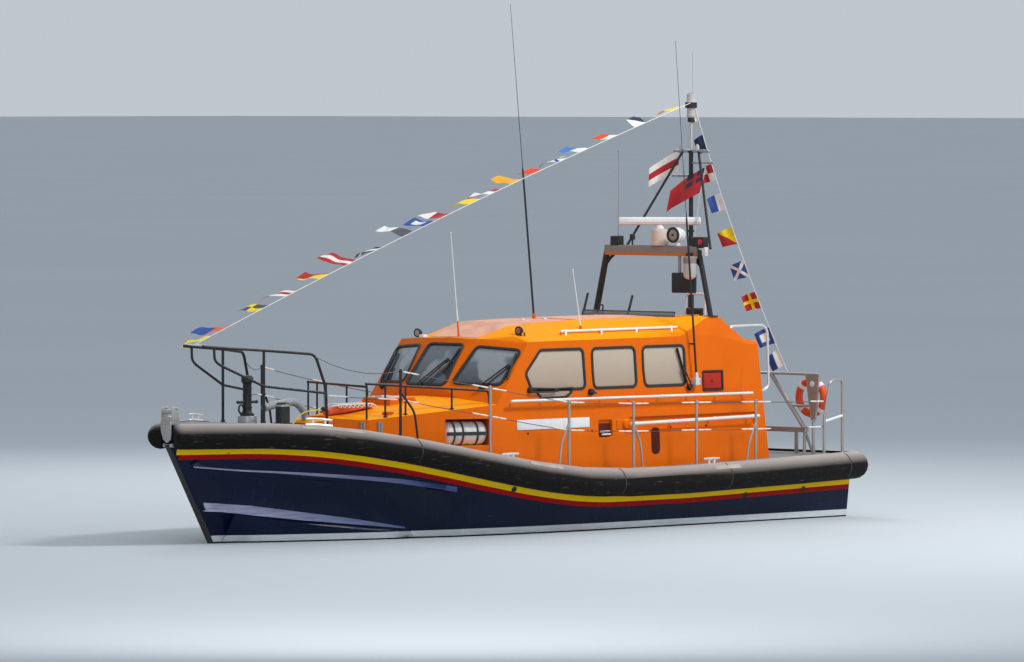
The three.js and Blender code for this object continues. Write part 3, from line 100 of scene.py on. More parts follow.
def linear(code: str) -> Colour:
    """Turns a colour written as #rrggbb into linear light, with an alpha of 1."""
    parts = [int(code[i : i + 2], 16) / 255 for i in (1, 3, 5)]
    red, green, blue = (p / 12.92 if p <= 0.04045 else ((p + 0.055) / 1.055) ** 2.4 for p in parts)
    return (red, green, blue, 1.0)


def shaded(code: str, gain: float) -> Colour:
    """Gives a colour written as #rrggbb made lighter or darker by a gain."""
    return (*(min(1.0, c * gain) for c in linear(code)[:3]), 1.0)


class Shade:
    """A procedural material, put together socket by socket."""

    def __init__(self, name: str) -> None:
        """Starts a material that holds only its shader."""
        self.material = bpy.data.materials.new(name)
        self.material.use_nodes = True
        self.nodes = self.material.node_tree.nodes
        self.links = self.material.node_tree.links
        self.shader = self.nodes["Principled BSDF"]
        coordinates = self.nodes.new("ShaderNodeTexCoord")
        self.place = coordinates.outputs["Object"]
        self.map = coordinates.outputs["UV"]
        self._axes: dict[str, Socket] = {}

    def feed(self, socket: Socket, source: object) -> None:
        """Links a source to a socket, or sets the socket where the source is a constant or a colour.

        Args:
            socket: The socket.
            source: A socket, a number, a colour or its code.
        """
        if isinstance(source, Socket):
            self.links.new(source, socket)
        else:
            socket.default_value = linear(source) if isinstance(source, str) else source

    def fix(self, **settings: object) -> None:
        """Sets the shader's own sockets, named with underscores for spaces."""
        for name, value in settings.items():
            self.feed(self.shader.inputs[name.replace("_", " ")], value)

    def axis(self, name: str) -> Socket:
        """Gives one coordinate, x, y or z, of the point on the object."""
        if not self._axes:
            self._axes = dict(zip("xyz", self.parted(self.place)))
        return self._axes[name]

    def parted(self, vector: Socket) -> Sequence[Socket]:
        """Gives a vector's three components."""
        split = self.nodes.new("ShaderNodeSeparateXYZ")
        self.links.new(vector, split.inputs[0])
        return split.outputs

    def upward(self) -> Socket:
        """Gives how far the surface faces up, from -1 to 1."""
        return self.parted(self.nodes.new("ShaderNodeNewGeometry").outputs["Normal"])[2]

    def stretched(self, scale: Point) -> Socket:
        """Gives the coordinates scaled along each axis.

        Args:
            scale: The scale along each axis.

        Returns:
            The coordinates.
        """
        mapping = self.nodes.new("ShaderNodeMapping")
        self.links.new(self.place, mapping.inputs["Vector"])
        mapping.inputs["Scale"].default_value = scale
        return mapping.outputs["Vector"]

    def noise(self, scale: float, detail: float = 3.0, place: Optional[Socket] = None) -> Socket:
        """Gives cloudy noise from 0 to 1.

        Args:
            scale: How fine it is.
            detail: How many finer layers it has.
            place: The coordinates it is read at, or the object's.

        Returns:
            The noise.
        """
        texture = self.nodes.new("ShaderNodeTexNoise")
        self.links.new(place or self.place, texture.inputs["Vector"])
        texture.inputs["Scale"].default_value = scale
        texture.inputs["Detail"].default_value = detail
        return texture.outputs["Fac"]

    def cells(self, scale: float) -> Socket:
        """Gives the distance to the nearest of scattered points.

        Args:
            scale: How close together the points are.

        Returns:
            The distance.
        """
        texture = self.nodes.new("ShaderNodeTexVoronoi")
        self.links.new(self.place, texture.inputs["Vector"])
        texture.inputs["Scale"].default_value = scale
        return texture.outputs["Distance"]

    def sum(self, operation: str, a: object, b: object = 0.0, clamp: bool = False) -> Socket:
        """Gives the result of a sum on two values or sockets.

        Args:
            operation: The sum's name in the maths node.
            a: The first value.
            b: The second value.
            clamp: Whether it is held from 0 to 1.

        Returns:
            The result.
        """
        node = self.nodes.new("ShaderNodeMath")
        node.operation = operation
        node.use_clamp = clamp
        self.feed(node.inputs[0], a)
        self.feed(node.inputs[1], b)
        return node.outputs[0]

    def wave(self, value: Socket, rate: float) -> Socket:
        """Gives the sine of a value times a rate."""
        return self.sum("SINE", self.sum("MULTIPLY", value, rate))

    def span(self, value: object, *reach: float, smooth: bool = False) -> Socket:
        """Maps a value from one range to another, held at its ends.

        Args:
            value: The value.
            reach: The two ends that it comes from, then the two that it goes to, 0 and 1 if left out.
            smooth: Whether the ends are eased.

        Returns:
            The mapped value.
        """
        node = self.nodes.new("ShaderNodeMapRange")
        node.interpolation_type = "SMOOTHSTEP" if smooth else "LINEAR"
        for socket, number in zip(node.inputs, (value, *reach)):
            self.feed(socket, number)
        return node.outputs[0]

    def mix(self, share: object, a: object, b: object) -> Socket:
        """Gives colour a turning to colour b by share.

        Args:
            share: How far it turns.
            a: The first colour.
            b: The second colour.

        Returns:
            The colour.
        """
        node = self.nodes.new("ShaderNodeMix")
        node.data_type = "RGBA"
        for socket, source in ((node.inputs[0], share), (node.inputs[6], a), (node.inputs[7], b)):
            self.feed(socket, source)
        return node.outputs[2]

    def mottled(self, code: str, scale: float, detail: float, dark: float, light: float) -> Socket:
        """Gives a colour clouded with a darker and a lighter tone of itself."""
        return self.mix(self.noise(scale, detail), shaded(code, dark), shaded(code, light))

    def spotted(
        self, tone: object, pattern: Socket, low: float, high: float, most: float, spot: object
    ) -> Socket:
        """Gives a tone turned to a spot's colour, by up to most, where a pattern goes from low to high.

        Args:
            tone: The colour it starts from.
            pattern: The pattern.
            low: Where the turn starts.
            high: Where it ends.
            most: How far it turns there.
            spot: The colour it turns to.

        Returns:
            The colour.
        """
        return self.mix(self.span(pattern, low, high, 0.0, most), tone, spot)

    def bump(self, height: Socket, strength: float, depth: float) -> None:
        """Roughens the surface by height, on top of what roughens it already.

        Args:
            height: The height.
            strength: How much of it shows.
            depth: How deep it is, in metres.
        """
        node = self.nodes.new("ShaderNodeBump")
        node.inputs["Strength"].default_value = strength
        node.inputs["Distance"].default_value = depth
        self.links.new(height, node.inputs["Height"])
        normal = self.shader.inputs["Normal"]
        if normal.is_linked:
            self.links.new(normal.links[0].from_socket, node.inputs["Normal"])
        self.links.new(node.outputs["Normal"], normal)


class Finish:
    """A finish that makes its own material."""

    name: str

    def make(self) -> Material:
        """Builds the material."""
        shade = Shade(self.name)
        self.paint(shade)
        return shade.material

    def paint(self, shade: Shade) -> None:
        """Sets the shader's colour, gloss and relief.

        Args:
            shade: The material.
        """
        raise NotImplementedError


@dataclass(frozen=True)
class Gelcoat(Finish):
    """Moulded paint with a faint mottle and rain streaks, duller on what faces up, where it can also turn to
    a painted sunlit tone.
    """

    name: str
    colour: str
    roughness: float = 0.24
    grime: float = 0.10
    coat: float = 0.2
    # The painted sunlit tone that up-facing faces turn to, or none.
    sunlit_tone: str = ""
    shine: float = 0.25

    def paint(self, shade: Shade) -> None:
        """Paints the mottle, the painted sunlight on what faces up, the streaks and the gloss.

        Args:
            shade: The material.
        """
        up = shade.upward()
        tone = shade.mottled(self.colour, 1.6, 4.0, 0.93, 1.05)
        # Painted sunlight: faces that look up turn to the lighter sunlit tone.
        if self.sunlit_tone:
            tone = shade.mix(shade.span(up, 0.66, 0.84, 0.0, 0.9, smooth=True), tone, self.sunlit_tone)
        streaks = shade.noise(3.0, 4.0, shade.stretched((5.0, 5.0, 0.35)))
        shade.fix(Base_Color=shade.spotted(tone, streaks, 0.56, 0.8, self.grime, "#6b5a44"))
        gloss = shade.span(shade.noise(7.0, 5.0), 0.3, 0.75, self.roughness * 0.8, self.roughness * 1.5)
        shade.fix(Roughness=shade.sum("ADD", gloss, shade.span(up, 0.2, 0.8, 0.0, 0.4), clamp=True))
        shade.fix(Coat_Weight=shade.span(up, 0.1, 0.5, self.coat, 0.0), Coat_Roughness=0.08)
        shade.fix(Specular_IOR_Level=self.shine)
        shade.bump(shade.noise(240.0, 2.0), 0.05, 0.001)


@dataclass(frozen=True)
class HullPaint(Finish):
    """Navy topsides with salt haze, a white boot-top, antifouling below it and non-slip on the deck."""

    name: str = "hull_navy"
    topside: str = "#0b152c"
    bottom: str = "#17171a"
    deck: str = "#7d8186"
    boot: tuple[float, float] = (0.022, 0.112)
    deck_from: float = 0.55

    def paint(self, shade: Shade) -> None:
        """Paints the topsides, the boot-top, the bottom and the deck.

        Args:
            shade: The material.
        """
        height = shade.axis("z")
        haze = shade.noise(1.1, 5.0, shade.stretched((0.6, 1.0, 2.2)))
        side = shade.spotted(self.topside, haze, 0.42, 0.78, 0.4, "#152447")
        runs = shade.noise(2.4, 4.0, shade.stretched((7.0, 7.0, 0.5)))
        side = shade.spotted(side, runs, 0.6, 0.8, 0.14, "#4b5568")
        smear = shade.mix(shade.noise(5.0, 5.0, shade.stretched((1.0, 1.0, 6.0))), "#b9bfc4", "#dde1e4")
        side = shade.mix(shade.sum("LESS_THAN", height, self.boot[1]), side, smear)
        under = shade.mix(shade.noise(14.0, 4.0), self.bottom, "#2b2522")
        below = shade.sum("LESS_THAN", height, self.boot[0])
        grit = shade.noise(420.0, 2.0)
        worn = shade.mix(shade.noise(2.2, 5.0), "#6b6f74", "#8f9498")
        deck = shade.mix(shade.span(grit, 0.35, 0.7), worn, self.deck)
        over = shade.sum("GREATER_THAN", shade.upward(), 0.75)
        over = shade.sum("MULTIPLY", over, shade.sum("GREATER_THAN", height, self.deck_from))
        shade.fix(Base_Color=shade.mix(over, shade.mix(below, side, under), deck))
        gloss = shade.span(haze, 0.3, 0.8, 0.14, 0.34)
        rough = shade.span(shade.sum("ADD", over, below), 0.0, 1.0, 0.0, 0.6)
        shade.fix(Roughness=shade.sum("ADD", gloss, rough, clamp=True), Specular_IOR_Level=0.15)
        shade.bump(shade.sum("MULTIPLY", grit, over), 0.35, 0.002)


@dataclass(frozen=True)
class BowPaintWithSkyReflection(Finish):
    """Blue spray rail paint that turns to a painted sky reflection, pale lavender, towards the bow."""

    name: str
    near: str
    # The colour of the painted sky reflection at the bow.
    far: str
    reach: tuple[float, float] = (2.5, 5.5)

    def paint(self, shade: Shade) -> None:
        """Paints the blue, turning to the painted sky reflection towards the bow, with its streaks.

        Args:
            shade: The material.
        """
        # Painted reflection: the blue turns to the far colour going forward.
        tone = shade.mix(shade.span(shade.axis("x"), *self.reach), self.near, self.far)
        streaks = shade.noise(4.0, 4.0, shade.stretched((0.6, 1.0, 9.0)))
        shade.fix(Base_Color=shade.spotted(tone, streaks, 0.35, 0.7, 0.45, "#2b3b78"))
        shade.fix(Roughness=shade.span(shade.noise(12.0, 4.0), 0.3, 0.7, 0.25, 0.45), Specular_IOR_Level=0.3)
        shade.bump(shade.noise(200.0, 2.0), 0.05, 0.001)


@dataclass(frozen=True)
class FoamRubber(Finish):
    """The fender's thick dark rubber, turned pale by a painted highlight where it faces up, with scuffs."""

    name: str
    dark: str = "#100e0d"
    # The tone of the painted highlight on top.
    pale: str = "#a49a94"

    def paint(self, shade: Shade) -> None:
        """Paints the dark rubber, the painted highlight on what faces up and the scuffs.

        Args:
            shade: The material.
        """
        low = shade.mottled(self.dark, 5.0, 5.0, 1.0, 1.5)
        # Painted highlight: the dark rubber turns to the pale tone as the surface faces up.
        high = shade.mottled(self.pale, 3.0, 6.0, 1.0, 1.22)
        body = shade.mix(shade.span(shade.upward(), 0.2, 1.0), low, high)
        scuffs = shade.noise(9.0, 6.0, shade.stretched((0.5, 0.5, 3.5)))
        shade.fix(Base_Color=shade.spotted(body, scuffs, 0.62, 0.74, 0.22, "#9a928b"))
        shade.fix(Roughness=shade.span(shade.noise(30.0), 0.3, 0.7, 0.62, 0.85), Specular_IOR_Level=0.15)
        shade.bump(shade.noise(160.0), 0.25, 0.002)
        shade.bump(shade.noise(2.6, 2.0), 0.3, 0.012)


@dataclass(frozen=True)
class TubeMetal(Finish):
    """Polished or painted tube, with hairline wear along it and duller patches."""

    name: str
    colour: str
    metal: float = 1.0
    roughness: float = 0.22
    worn: str = "#8f8b84"
    wear: float = 0.15

    def paint(self, shade: Shade) -> None:
        """Paints the tube's tone, its nicks and its gloss.

        Args:
            shade: The material.
        """
        tone = shade.mottled(self.colour, 6.0, 4.0, 0.86, 1.08)
        gloss = shade.span(shade.noise(18.0, 5.0), 0.3, 0.75, self.roughness * 0.8, self.roughness * 1.4)
        nicked = shade.spotted(tone, shade.noise(55.0, 6.0), 0.62, 0.72, self.wear, self.worn)
        shade.fix(Base_Color=nicked, Metallic=self.metal, Roughness=gloss)
        shade.bump(shade.noise(300.0, 2.0, shade.stretched((1.0, 1.0, 0.2))), 0.03, 0.0003)


@dataclass(frozen=True)
class NonSlip(Finish):
    """A gritty tread surface, worn smoother in patches."""

    name: str
    colour: str
    grit: float = 380.0

    def paint(self, shade: Shade) -> None:
        """Paints the grit and its worn patches.

        Args:
            shade: The material.
        """
        grain = shade.noise(self.grit, 2.0)
        patches = shade.span(shade.noise(4.0, 5.0), 0.35, 0.75)
        worn = shade.mix(patches, shaded(self.colour, 0.82), shaded(self.colour, 1.12))
        shade.fix(
            Base_Color=shade.spotted(worn, grain, 0.55, 0.75, 0.45, shaded(self.colour, 0.6)), Roughness=0.82
        )
        shade.bump(grain, 0.5, 0.0015)


@dataclass(frozen=True)
class Pane(Finish):
    """Window glass with salt spots, coloured by a painted reflection that turns from a low tone to a high
    tone up the pane.
    """

    name: str
    # The painted reflection's tones, low and high on the pane.
    low_reflection_tone: str
    high_reflection_tone: str
    foot: float = 2.1
    head: float = 2.75
    see_through: float = 0.18
    reflected: float = 0.0

    def paint(self, shade: Shade) -> None:
        """Paints the painted reflection's tones and patches, the salt and the clear coat.

        Args:
            shade: The material.
        """
        # Painted reflection: the tone turns from the low to the high one going up the pane, with a drift.
        drift = shade.sum("MULTIPLY", shade.noise(1.3), 0.18)
        height = shade.sum("ADD", shade.span(shade.axis("z"), self.foot, self.head), drift)
        reflection_tone = shade.mix(shade.span(height, 0.1, 1.1), self.low_reflection_tone, self.high_reflection_tone)
        if self.reflected:
            reflection_tone = shade.spotted(reflection_tone, shade.noise(1.6, 2.0), 0.5, 0.55, self.reflected, "#c3c8cb")
        shade.fix(Base_Color=shade.spotted(reflection_tone, shade.noise(38.0, 6.0), 0.6, 0.8, 0.22, "#d8d4ca"))
        shade.fix(Roughness=shade.span(shade.noise(16.0, 5.0), 0.35, 0.8, 0.03, 0.13))
        shade.fix(Transmission_Weight=self.see_through, IOR=1.5, Coat_Weight=0.5, Coat_Roughness=0.03)


@dataclass(frozen=True)
class Moulded(Finish):
    """Moulded plastic or rubber with a fine leathery grain and paler rubbed spots."""

    name: str
    colour: str
    roughness: float = 0.5
    grain: float = 320.0
    rub: float = 0.2

    def paint(self, shade: Shade) -> None:
        """Paints the tone, the rubbed spots and the grain.

        Args:
            shade: The material.
        """
        tone = shade.mottled(self.colour, 9.0, 4.0, 0.85, 1.12)
        rubbed = shade.spotted(tone, shade.noise(24.0, 6.0), 0.6, 0.76, self.rub, shaded(self.colour, 1.7))
        dull = min(1.0, self.roughness * 1.3)
        shade.fix(
            Base_Color=rubbed, Roughness=shade.span(shade.noise(40.0), 0.3, 0.7, self.roughness * 0.85, dull)
        )
        shade.bump(shade.cells(self.grain), 0.12, 0.0008)


@dataclass(frozen=True)
class Webbing(Finish):
    """Woven fabric or rope: a fine crossed weave, soft sheen and sun-faded patches."""

    name: str
    colour: str
    threads: float = 900.0

    def paint(self, shade: Shade) -> None:
        """Paints the faded cloth and its weave.

        Args:
            shade: The material.
        """
        faded = shade.mottled(self.colour, 8.0, 4.0, 0.82, 1.15)
        one = shade.wave(shade.sum("ADD", shade.axis("x"), shade.axis("z")), self.threads)
        two = shade.wave(shade.sum("SUBTRACT", shade.axis("y"), shade.axis("z")), self.threads)
        weave = shade.sum("MULTIPLY", one, two)
        shade.fix(Base_Color=shade.spotted(faded, weave, -1.0, 1.0, 0.25, shaded(self.colour, 0.6)))
        shade.fix(Roughness=0.85, Sheen_Weight=0.3, Sheen_Roughness=0.5)
        shade.bump(weave, 0.3, 0.0006)


@dataclass(frozen=True)
class Lamp(Finish):
    """A lens with rings moulded in it, and a faint glow."""

    name: str
    colour: str
    glow: float = 0.15

    def paint(self, shade: Shade) -> None:
        """Paints the lens, its rings and its glow.

        Args:
            shade: The material.
        """
        rings = shade.wave(shade.axis("z"), 700.0)
        shade.fix(Base_Color=shade.spotted(self.colour, rings, -1.0, 1.0, 0.35, shaded(self.colour, 0.5)))
        shade.fix(Roughness=shade.span(shade.noise(60.0), 0.3, 0.7, 0.05, 0.16))
        shade.fix(Coat_Weight=0.6, Emission_Color=self.colour, Emission_Strength=self.glow)
        shade.bump(rings, 0.3, 0.001)


class Form:
    """A mesh in the making, built up piece by piece from bmesh operators."""

    def __init__(self) -> None:
        """Starts with nothing."""
        self.bm = bmesh.new()

    def take(self, part: bmesh.types.BMesh, place: Matrix = HERE, outward: bool = True) -> "Form":
        """Adds a part, moved into place, and returns the form, as every method that adds to it does.

        Args:
            part: The mesh to add, which is used up.
            place: Where it goes.
            outward: Whether its normals are turned out first.

        Returns:
            The form.
        """
        if outward:
            bmesh.ops.recalc_face_normals(part, faces=part.faces[:])
        bmesh.ops.transform(part, matrix=place, verts=part.verts[:])
        carrier = bpy.data.meshes.new("carrier")
        part.to_mesh(carrier)
        part.free()
        self.bm.from_mesh(carrier)
        bpy.data.meshes.remove(carrier)
        return self

    def box(
        self, low: Point, high: Point, bevel: float = 0.004, place: Matrix = HERE, segments: int = 2
    ) -> "Form":
        """Adds a block between two corners, with its edges rounded.

        Args:
            low: The lowest corner.
            high: The highest corner.
            bevel: The rounding's width, or 0.
            place: Where it goes.
            segments: The rounding's steps.

        Returns:
            The form.
        """
        part = bmesh.new()
        bmesh.ops.create_cube(part, size=1.0)
        size = [abs(b - a) for a, b in zip(low, high)]
        middle = [(a + b) / 2 for a, b in zip(low, high)]
        bmesh.ops.scale(part, vec=size, verts=part.verts[:])
        bmesh.ops.translate(part, vec=middle, verts=part.verts[:])
        if bevel:
            soften(part, part.edges[:], min(bevel, min(size) * 0.45), segments)
        return self.take(part, place)

    def turned(self, profile: Profile, place: Matrix, steps: int = 32, solid: bool = True) -> "Form":
        """Adds a shape spun round the Z axis of its place.

        Args:
            profile: Its corners, as radius and height.
            place: Where it stands.
            steps: How many steps it takes round the axis.
            solid: Whether its ends are joined to the axis.

        Returns:
            The form.
        """
        if solid and profile[0][0]:
            profile = [(0.0, profile[0][1]), *profile]
        if solid and profile[-1][0]:
            profile = [*profile, (0.0, profile[-1][1])]
        part = bmesh.new()
        corners = [part.verts.new((r, 0.0, h)) for r, h in profile]
        edges = [part.edges.new(pair) for pair in zip(corners, corners[1:])]
        bmesh.ops.spin(
            part, geom=corners + edges, cent=(0, 0, 0), axis=(0, 0, 1), angle=2 * math.pi, steps=steps,
            use_merge=True
        )
        bmesh.ops.remove_doubles(part, verts=part.verts[:], dist=1e-5)
        return self.take(part, place)

    def lofted(
        self, rows: Sequence[Sequence[Vector]], closed: bool = True, looped: bool = False, caps: bool = True
    ) -> "Form":
        """Adds a skin over rows of points.

        Args:
            rows: The rows, all of one length.
            closed: Whether each row closes on itself.
            looped: Whether the last row joins the first.
            caps: Whether the open ends are closed with a face.

        Returns:
            The form.
        """
        rows = [list(row) + ([row[0]] if closed else []) for row in rows]
        if looped:
            rows.append(rows[0])
        part = bmesh.new()
        made = bmesh.ops.create_grid(part, x_segments=len(rows[0]) - 1, y_segments=len(rows) - 1, size=1.0)
        for vertex, point in zip(made["verts"], (p for row in rows for p in row)):
            vertex.co = point
        bmesh.ops.remove_doubles(part, verts=part.verts[:], dist=1e-5)
        if caps and closed and not looped:
            bmesh.ops.holes_fill(part, edges=[e for e in part.edges if e.is_boundary], sides=0)
        return self.take(part, outward=closed)

    def tube(
        self, points: Sequence[Point], radius: float, sides: int = 14, bend: float = 0.07,
        looped: bool = False
    ) -> "Form":
        """Adds a round tube along a bent line, with its corners eased over bend.

        Args:
            points: The line's corners.
            radius: The tube's radius.
            sides: How many sides it has.
            bend: How far from a corner it starts to turn.
            looped: Whether the line closes on itself.

        Returns:
            The form.
        """
        route = rounded_route([Vector(p) for p in points], bend, looped)
        return self.lofted(rings_along(route, [radius] * len(route), sides, looped), looped=looped)

    def tapered(self, points: Sequence[Point], radii: Sequence[float], sides: int = 12) -> "Form":
        """Adds a round bar whose radius changes from point to point.

        Args:
            points: The points.
            radii: The radius at each.
            sides: How many sides it has.

        Returns:
            The form.
        """
        return self.lofted(rings_along([Vector(p) for p in points], radii, sides))

    def moulding(
        self, points: Sequence[Vector], outward: Sequence[Vector], width: float, height: float,
        looped: bool = True, lift: float = 0.0
    ) -> "Form":
        """Adds a strip with rounded shoulders that lies on a surface.

        Args:
            points: Its middle line, on the surface.
            outward: The surface's outward direction at each point.
            width: Its width across the surface.
            height: How far it stands proud.
            looped: Whether it closes on itself.
            lift: How far its foot stands off the surface.

        Returns:
            The form.
        """
        section = [
            (-0.5, lift - 0.002), (-0.5, height * 0.55), (-0.36, height), (0.36, height),
            (0.5, height * 0.55), (0.5, lift - 0.002)
        ]
        rows = []
        count = len(points)
        for i, (point, out) in enumerate(zip(points, outward)):
            before = points[(i - 1) % count] if looped or i else point
            after = points[(i + 1) % count] if looped or i < count - 1 else point
            side = (after - before).normalized().cross(out).normalized()
            rows.append([point + side * (width * a) + out * b for a, b in section])
        return self.lofted(rows, looped=looped)

    def plate(
        self, outline: Sequence[Point], thickness: float, bevel: float = 0.003, place: Matrix = HERE
    ) -> "Form":
        """Adds a flat plate from [x, y] corners, rising by its thickness along Z of its place.

        Args:
            outline: The corners.
            thickness: Its thickness.
            bevel: The width of the rounding of its rims, or 0.
            place: Where it goes.

        Returns:
            The form.
        """
        part = bmesh.new()
        face = part.faces.new([part.verts.new((a, b, 0.0)) for a, b in outline])
        made = bmesh.ops.extrude_face_region(part, geom=[face])["geom"]
        bmesh.ops.translate(
            part, vec=(0, 0, thickness), verts=[g for g in made if isinstance(g, bmesh.types.BMVert)]
        )
        bmesh.ops.recalc_face_normals(part, faces=part.faces[:])
        if bevel:
            rims = [e for e in part.edges if e.calc_face_angle(0.0) > 0.9]
            soften(part, rims, bevel, 2)
        return self.take(part, place)

    def ball(self, centre: Point, radius: float, squash: Point = (1.0, 1.0, 1.0)) -> "Form":
        """Adds a ball, scaled along each axis.

        Args:
            centre: Its centre.
            radius: Its radius.
            squash: The scale along each axis.

        Returns:
            The form.
        """
        part = bmesh.new()
        bmesh.ops.create_uvsphere(part, u_segments=20, v_segments=12, radius=radius)
        bmesh.ops.scale(part, vec=squash, verts=part.verts[:])
        return self.take(part, Matrix.Translation(centre))

    def done(self, name: str, finish: Material, slot: str = "", body: str = ROOT, node: str = "") -> Piece:
        """Makes the form an object that rides on a body.

        Args:
            name: The piece's name.
            finish: Its material.
            slot: The record's slot name.
            body: The body it rides on.
            node: The CAD node that it stands in for, if any.

        Returns:
            The new object.
        """
        mesh = bpy.data.meshes.new(name)
        self.bm.to_mesh(mesh)
        self.bm.free()
        piece = placed(name, mesh, finish, body, slot, 35.0)
        if node:
            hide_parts(node)
        return piece


def placed(name: str, mesh: Mesh, finish: Material, body: str, slot: str, smooth: float) -> Piece:
    """Links a mesh as a smooth-shaded piece on a body, and returns its object.

    Args:
        name: The piece's name.
        mesh: Its mesh.
        finish: Its material.
        body: The body it rides on.
        slot: The record's slot, or nothing; not used.
        smooth: The sharpest angle shaded smooth, in degrees.

    Returns:
        The new object.
    """
    mesh.materials.clear()
    mesh.materials.append(finish)
    mesh.shade_smooth()
    mesh.set_sharp_from_angle(angle=math.radians(smooth))
    piece = bpy.data.objects.new(name, mesh)
    bpy.context.scene.collection.objects.link(piece)
    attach(piece, body)
    return piece


def soften(
    part: bmesh.types.BMesh, edges: Sequence[bmesh.types.BMEdge], offset: float, segments: int = 2
) -> None:
    """Rounds edges of a part by an offset.

    Args:
        part: The mesh.
        edges: The edges.
        offset: The rounding's width.
        segments: Its steps.
    """
    bmesh.ops.bevel(
        part, geom=list(edges), offset=offset, offset_type="OFFSET", segments=segments,
        profile=0.5, affect="EDGES", material=-1, clamp_overlap=True,
    )


def turns(count: int) -> list[float]:
    """Gives the angles of evenly spaced points round a circle."""
    return [2 * math.pi * i / count for i in range(count)]


def rounded_route(
    points: Sequence[Vector], reach: float, looped: bool = False, steps: int = 6
) -> list[Vector]:
    """Eases each corner of a line of points over reach on both its sides.

    Args:
        points: The corners.
        reach: How far from a corner the line starts to turn.
        looped: Whether it closes on itself.
        steps: The steps of each turn.

    Returns:
        The points of the eased line.
    """
    if reach <= 0:
        return list(points)
    route = []
    count = len(points)
    for i, here in enumerate(points):
        if not looped and i in (0, count - 1):
            route.append(here)
            continue
        before = points[(i - 1) % count] - here
        after = points[(i + 1) % count] - here
        step = min(reach, before.length * 0.45, after.length * 0.45)
        start = here + before.normalized() * step
        end = here + after.normalized() * step
        for k in range(steps + 1):
            t = k / steps
            route.append((1 - t) ** 2 * start + 2 * t * (1 - t) * here + t * t * end)
    kept = [route[0]]
    for point in route[1:]:
        if (point - kept[-1]).length > 1e-4:
            kept.append(point)
    return kept


def rings_along(
    route: Sequence[Vector], radii: Sequence[float], sides: int, looped: bool = False
) -> list[list[Vector]]:
    """Gives a ring of points round each point of a route, without a twist from one to the next.

    Args:
        route: The route.
        radii: The ring's radius at each point.
        sides: How many points a ring has.
        looped: Whether the route closes on itself.

    Returns:
        The rings.
    """
    rings = []
    count = len(route)
    across = None
    for i, (centre, radius) in enumerate(zip(route, radii)):
        before = route[(i - 1) % count] if looped or i else centre
        after = route[(i + 1) % count] if looped or i < count - 1 else centre
        ahead = (after - before).normalized()
        if across is None:
            across = ahead.orthogonal().normalized()
        across = (across - ahead * across.dot(ahead)).normalized()
        up = ahead.cross(across)
        rings.append([centre + radius * (math.cos(a) * across + math.sin(a) * up) for a in turns(sides)])
    return rings


def standing(at: Point, up: Vector = Z, toward: Optional[Vector] = None) -> Matrix:
    """Gives the place of a piece whose Z points along up and whose X points toward a direction.

    Args:
        at: Its origin.
        up: Where its Z points.
        toward: Where its X points as far as it can, or anywhere.

    Returns:
        The place.
    """
    up = Vector(up).normalized()
    ahead = Vector(toward) if toward is not None else up.orthogonal()
    ahead = (ahead - up * ahead.dot(up)).normalized()
    turn = Matrix((ahead, up.cross(ahead), up)).transposed().to_4x4()
    return Matrix.Translation(at) @ turn


def rounded_outline(corners: Sequence[Point], radius: float, steps: int = 6) -> list[tuple[float, float]]:
    """Rounds the corners of a closed outline of [a, b] points.

    Args:
        corners: The corners.
        radius: The corners' radius.
        steps: The steps of each corner.

    Returns:
        The rounded outline.
    """
    route = []
    count = len(corners)
    for i, corner in enumerate(corners):
        here = Vector(corner)
        before = Vector(corners[i - 1]) - here
        after = Vector(corners[(i + 1) % count]) - here
        reach = radius / math.tan(before.angle(after) / 2)
        start = here + before.normalized() * reach
        end = here + after.normalized() * reach
        for k in range(steps + 1):
            t = k / steps
            point = (1 - t) ** 2 * start + 2 * t * (1 - t) * here + t * t * end
            route.append((point.x, point.y))
    return route


class Skin:
    """The surface of one or more CAD nodes, to set pieces on."""

    def __init__(self, *nodes: str) -> None:
        """Gathers the nodes' triangles."""
        points: list[Vector] = []
        faces: list[list[int]] = []
        for name in nodes:
            mesh = frame["nodes"][name].data
            start = len(points)
            points.extend(v.co.copy() for v in mesh.vertices)
            faces.extend([start + i for i in p.vertices] for p in mesh.polygons)
        self.tree = BVHTree.FromPolygons(points, faces)

    def hit(self, start: Point, towards: Point) -> tuple[Vector, Vector]:
        """Gives the point and the outward normal where a ray first meets the surface.

        Args:
            start: Where the ray starts.
            towards: Its direction.

        Returns:
            The point and the normal.
        """
        ray = Vector(towards).normalized()
        point, normal, _, _ = self.tree.ray_cast(Vector(start), ray)
        if point is None:
            raise ValueError(f"nothing lies from {tuple(start)} along {tuple(ray)}")
        return point, normal if normal.dot(ray) < 0 else -normal

    def side(self, x: float, z: float, side: int) -> tuple[Vector, Vector]:
        """Gives the point and normal of the outer side at x and z."""
        return self.hit((x, side * 6.0, z), (0, -side, 0))

    def top(self, x: float, y: float) -> tuple[Vector, Vector]:
        """Gives the point and normal of the upper face at x and y."""
        return self.hit((x, y, 9.0), (0, 0, -1))


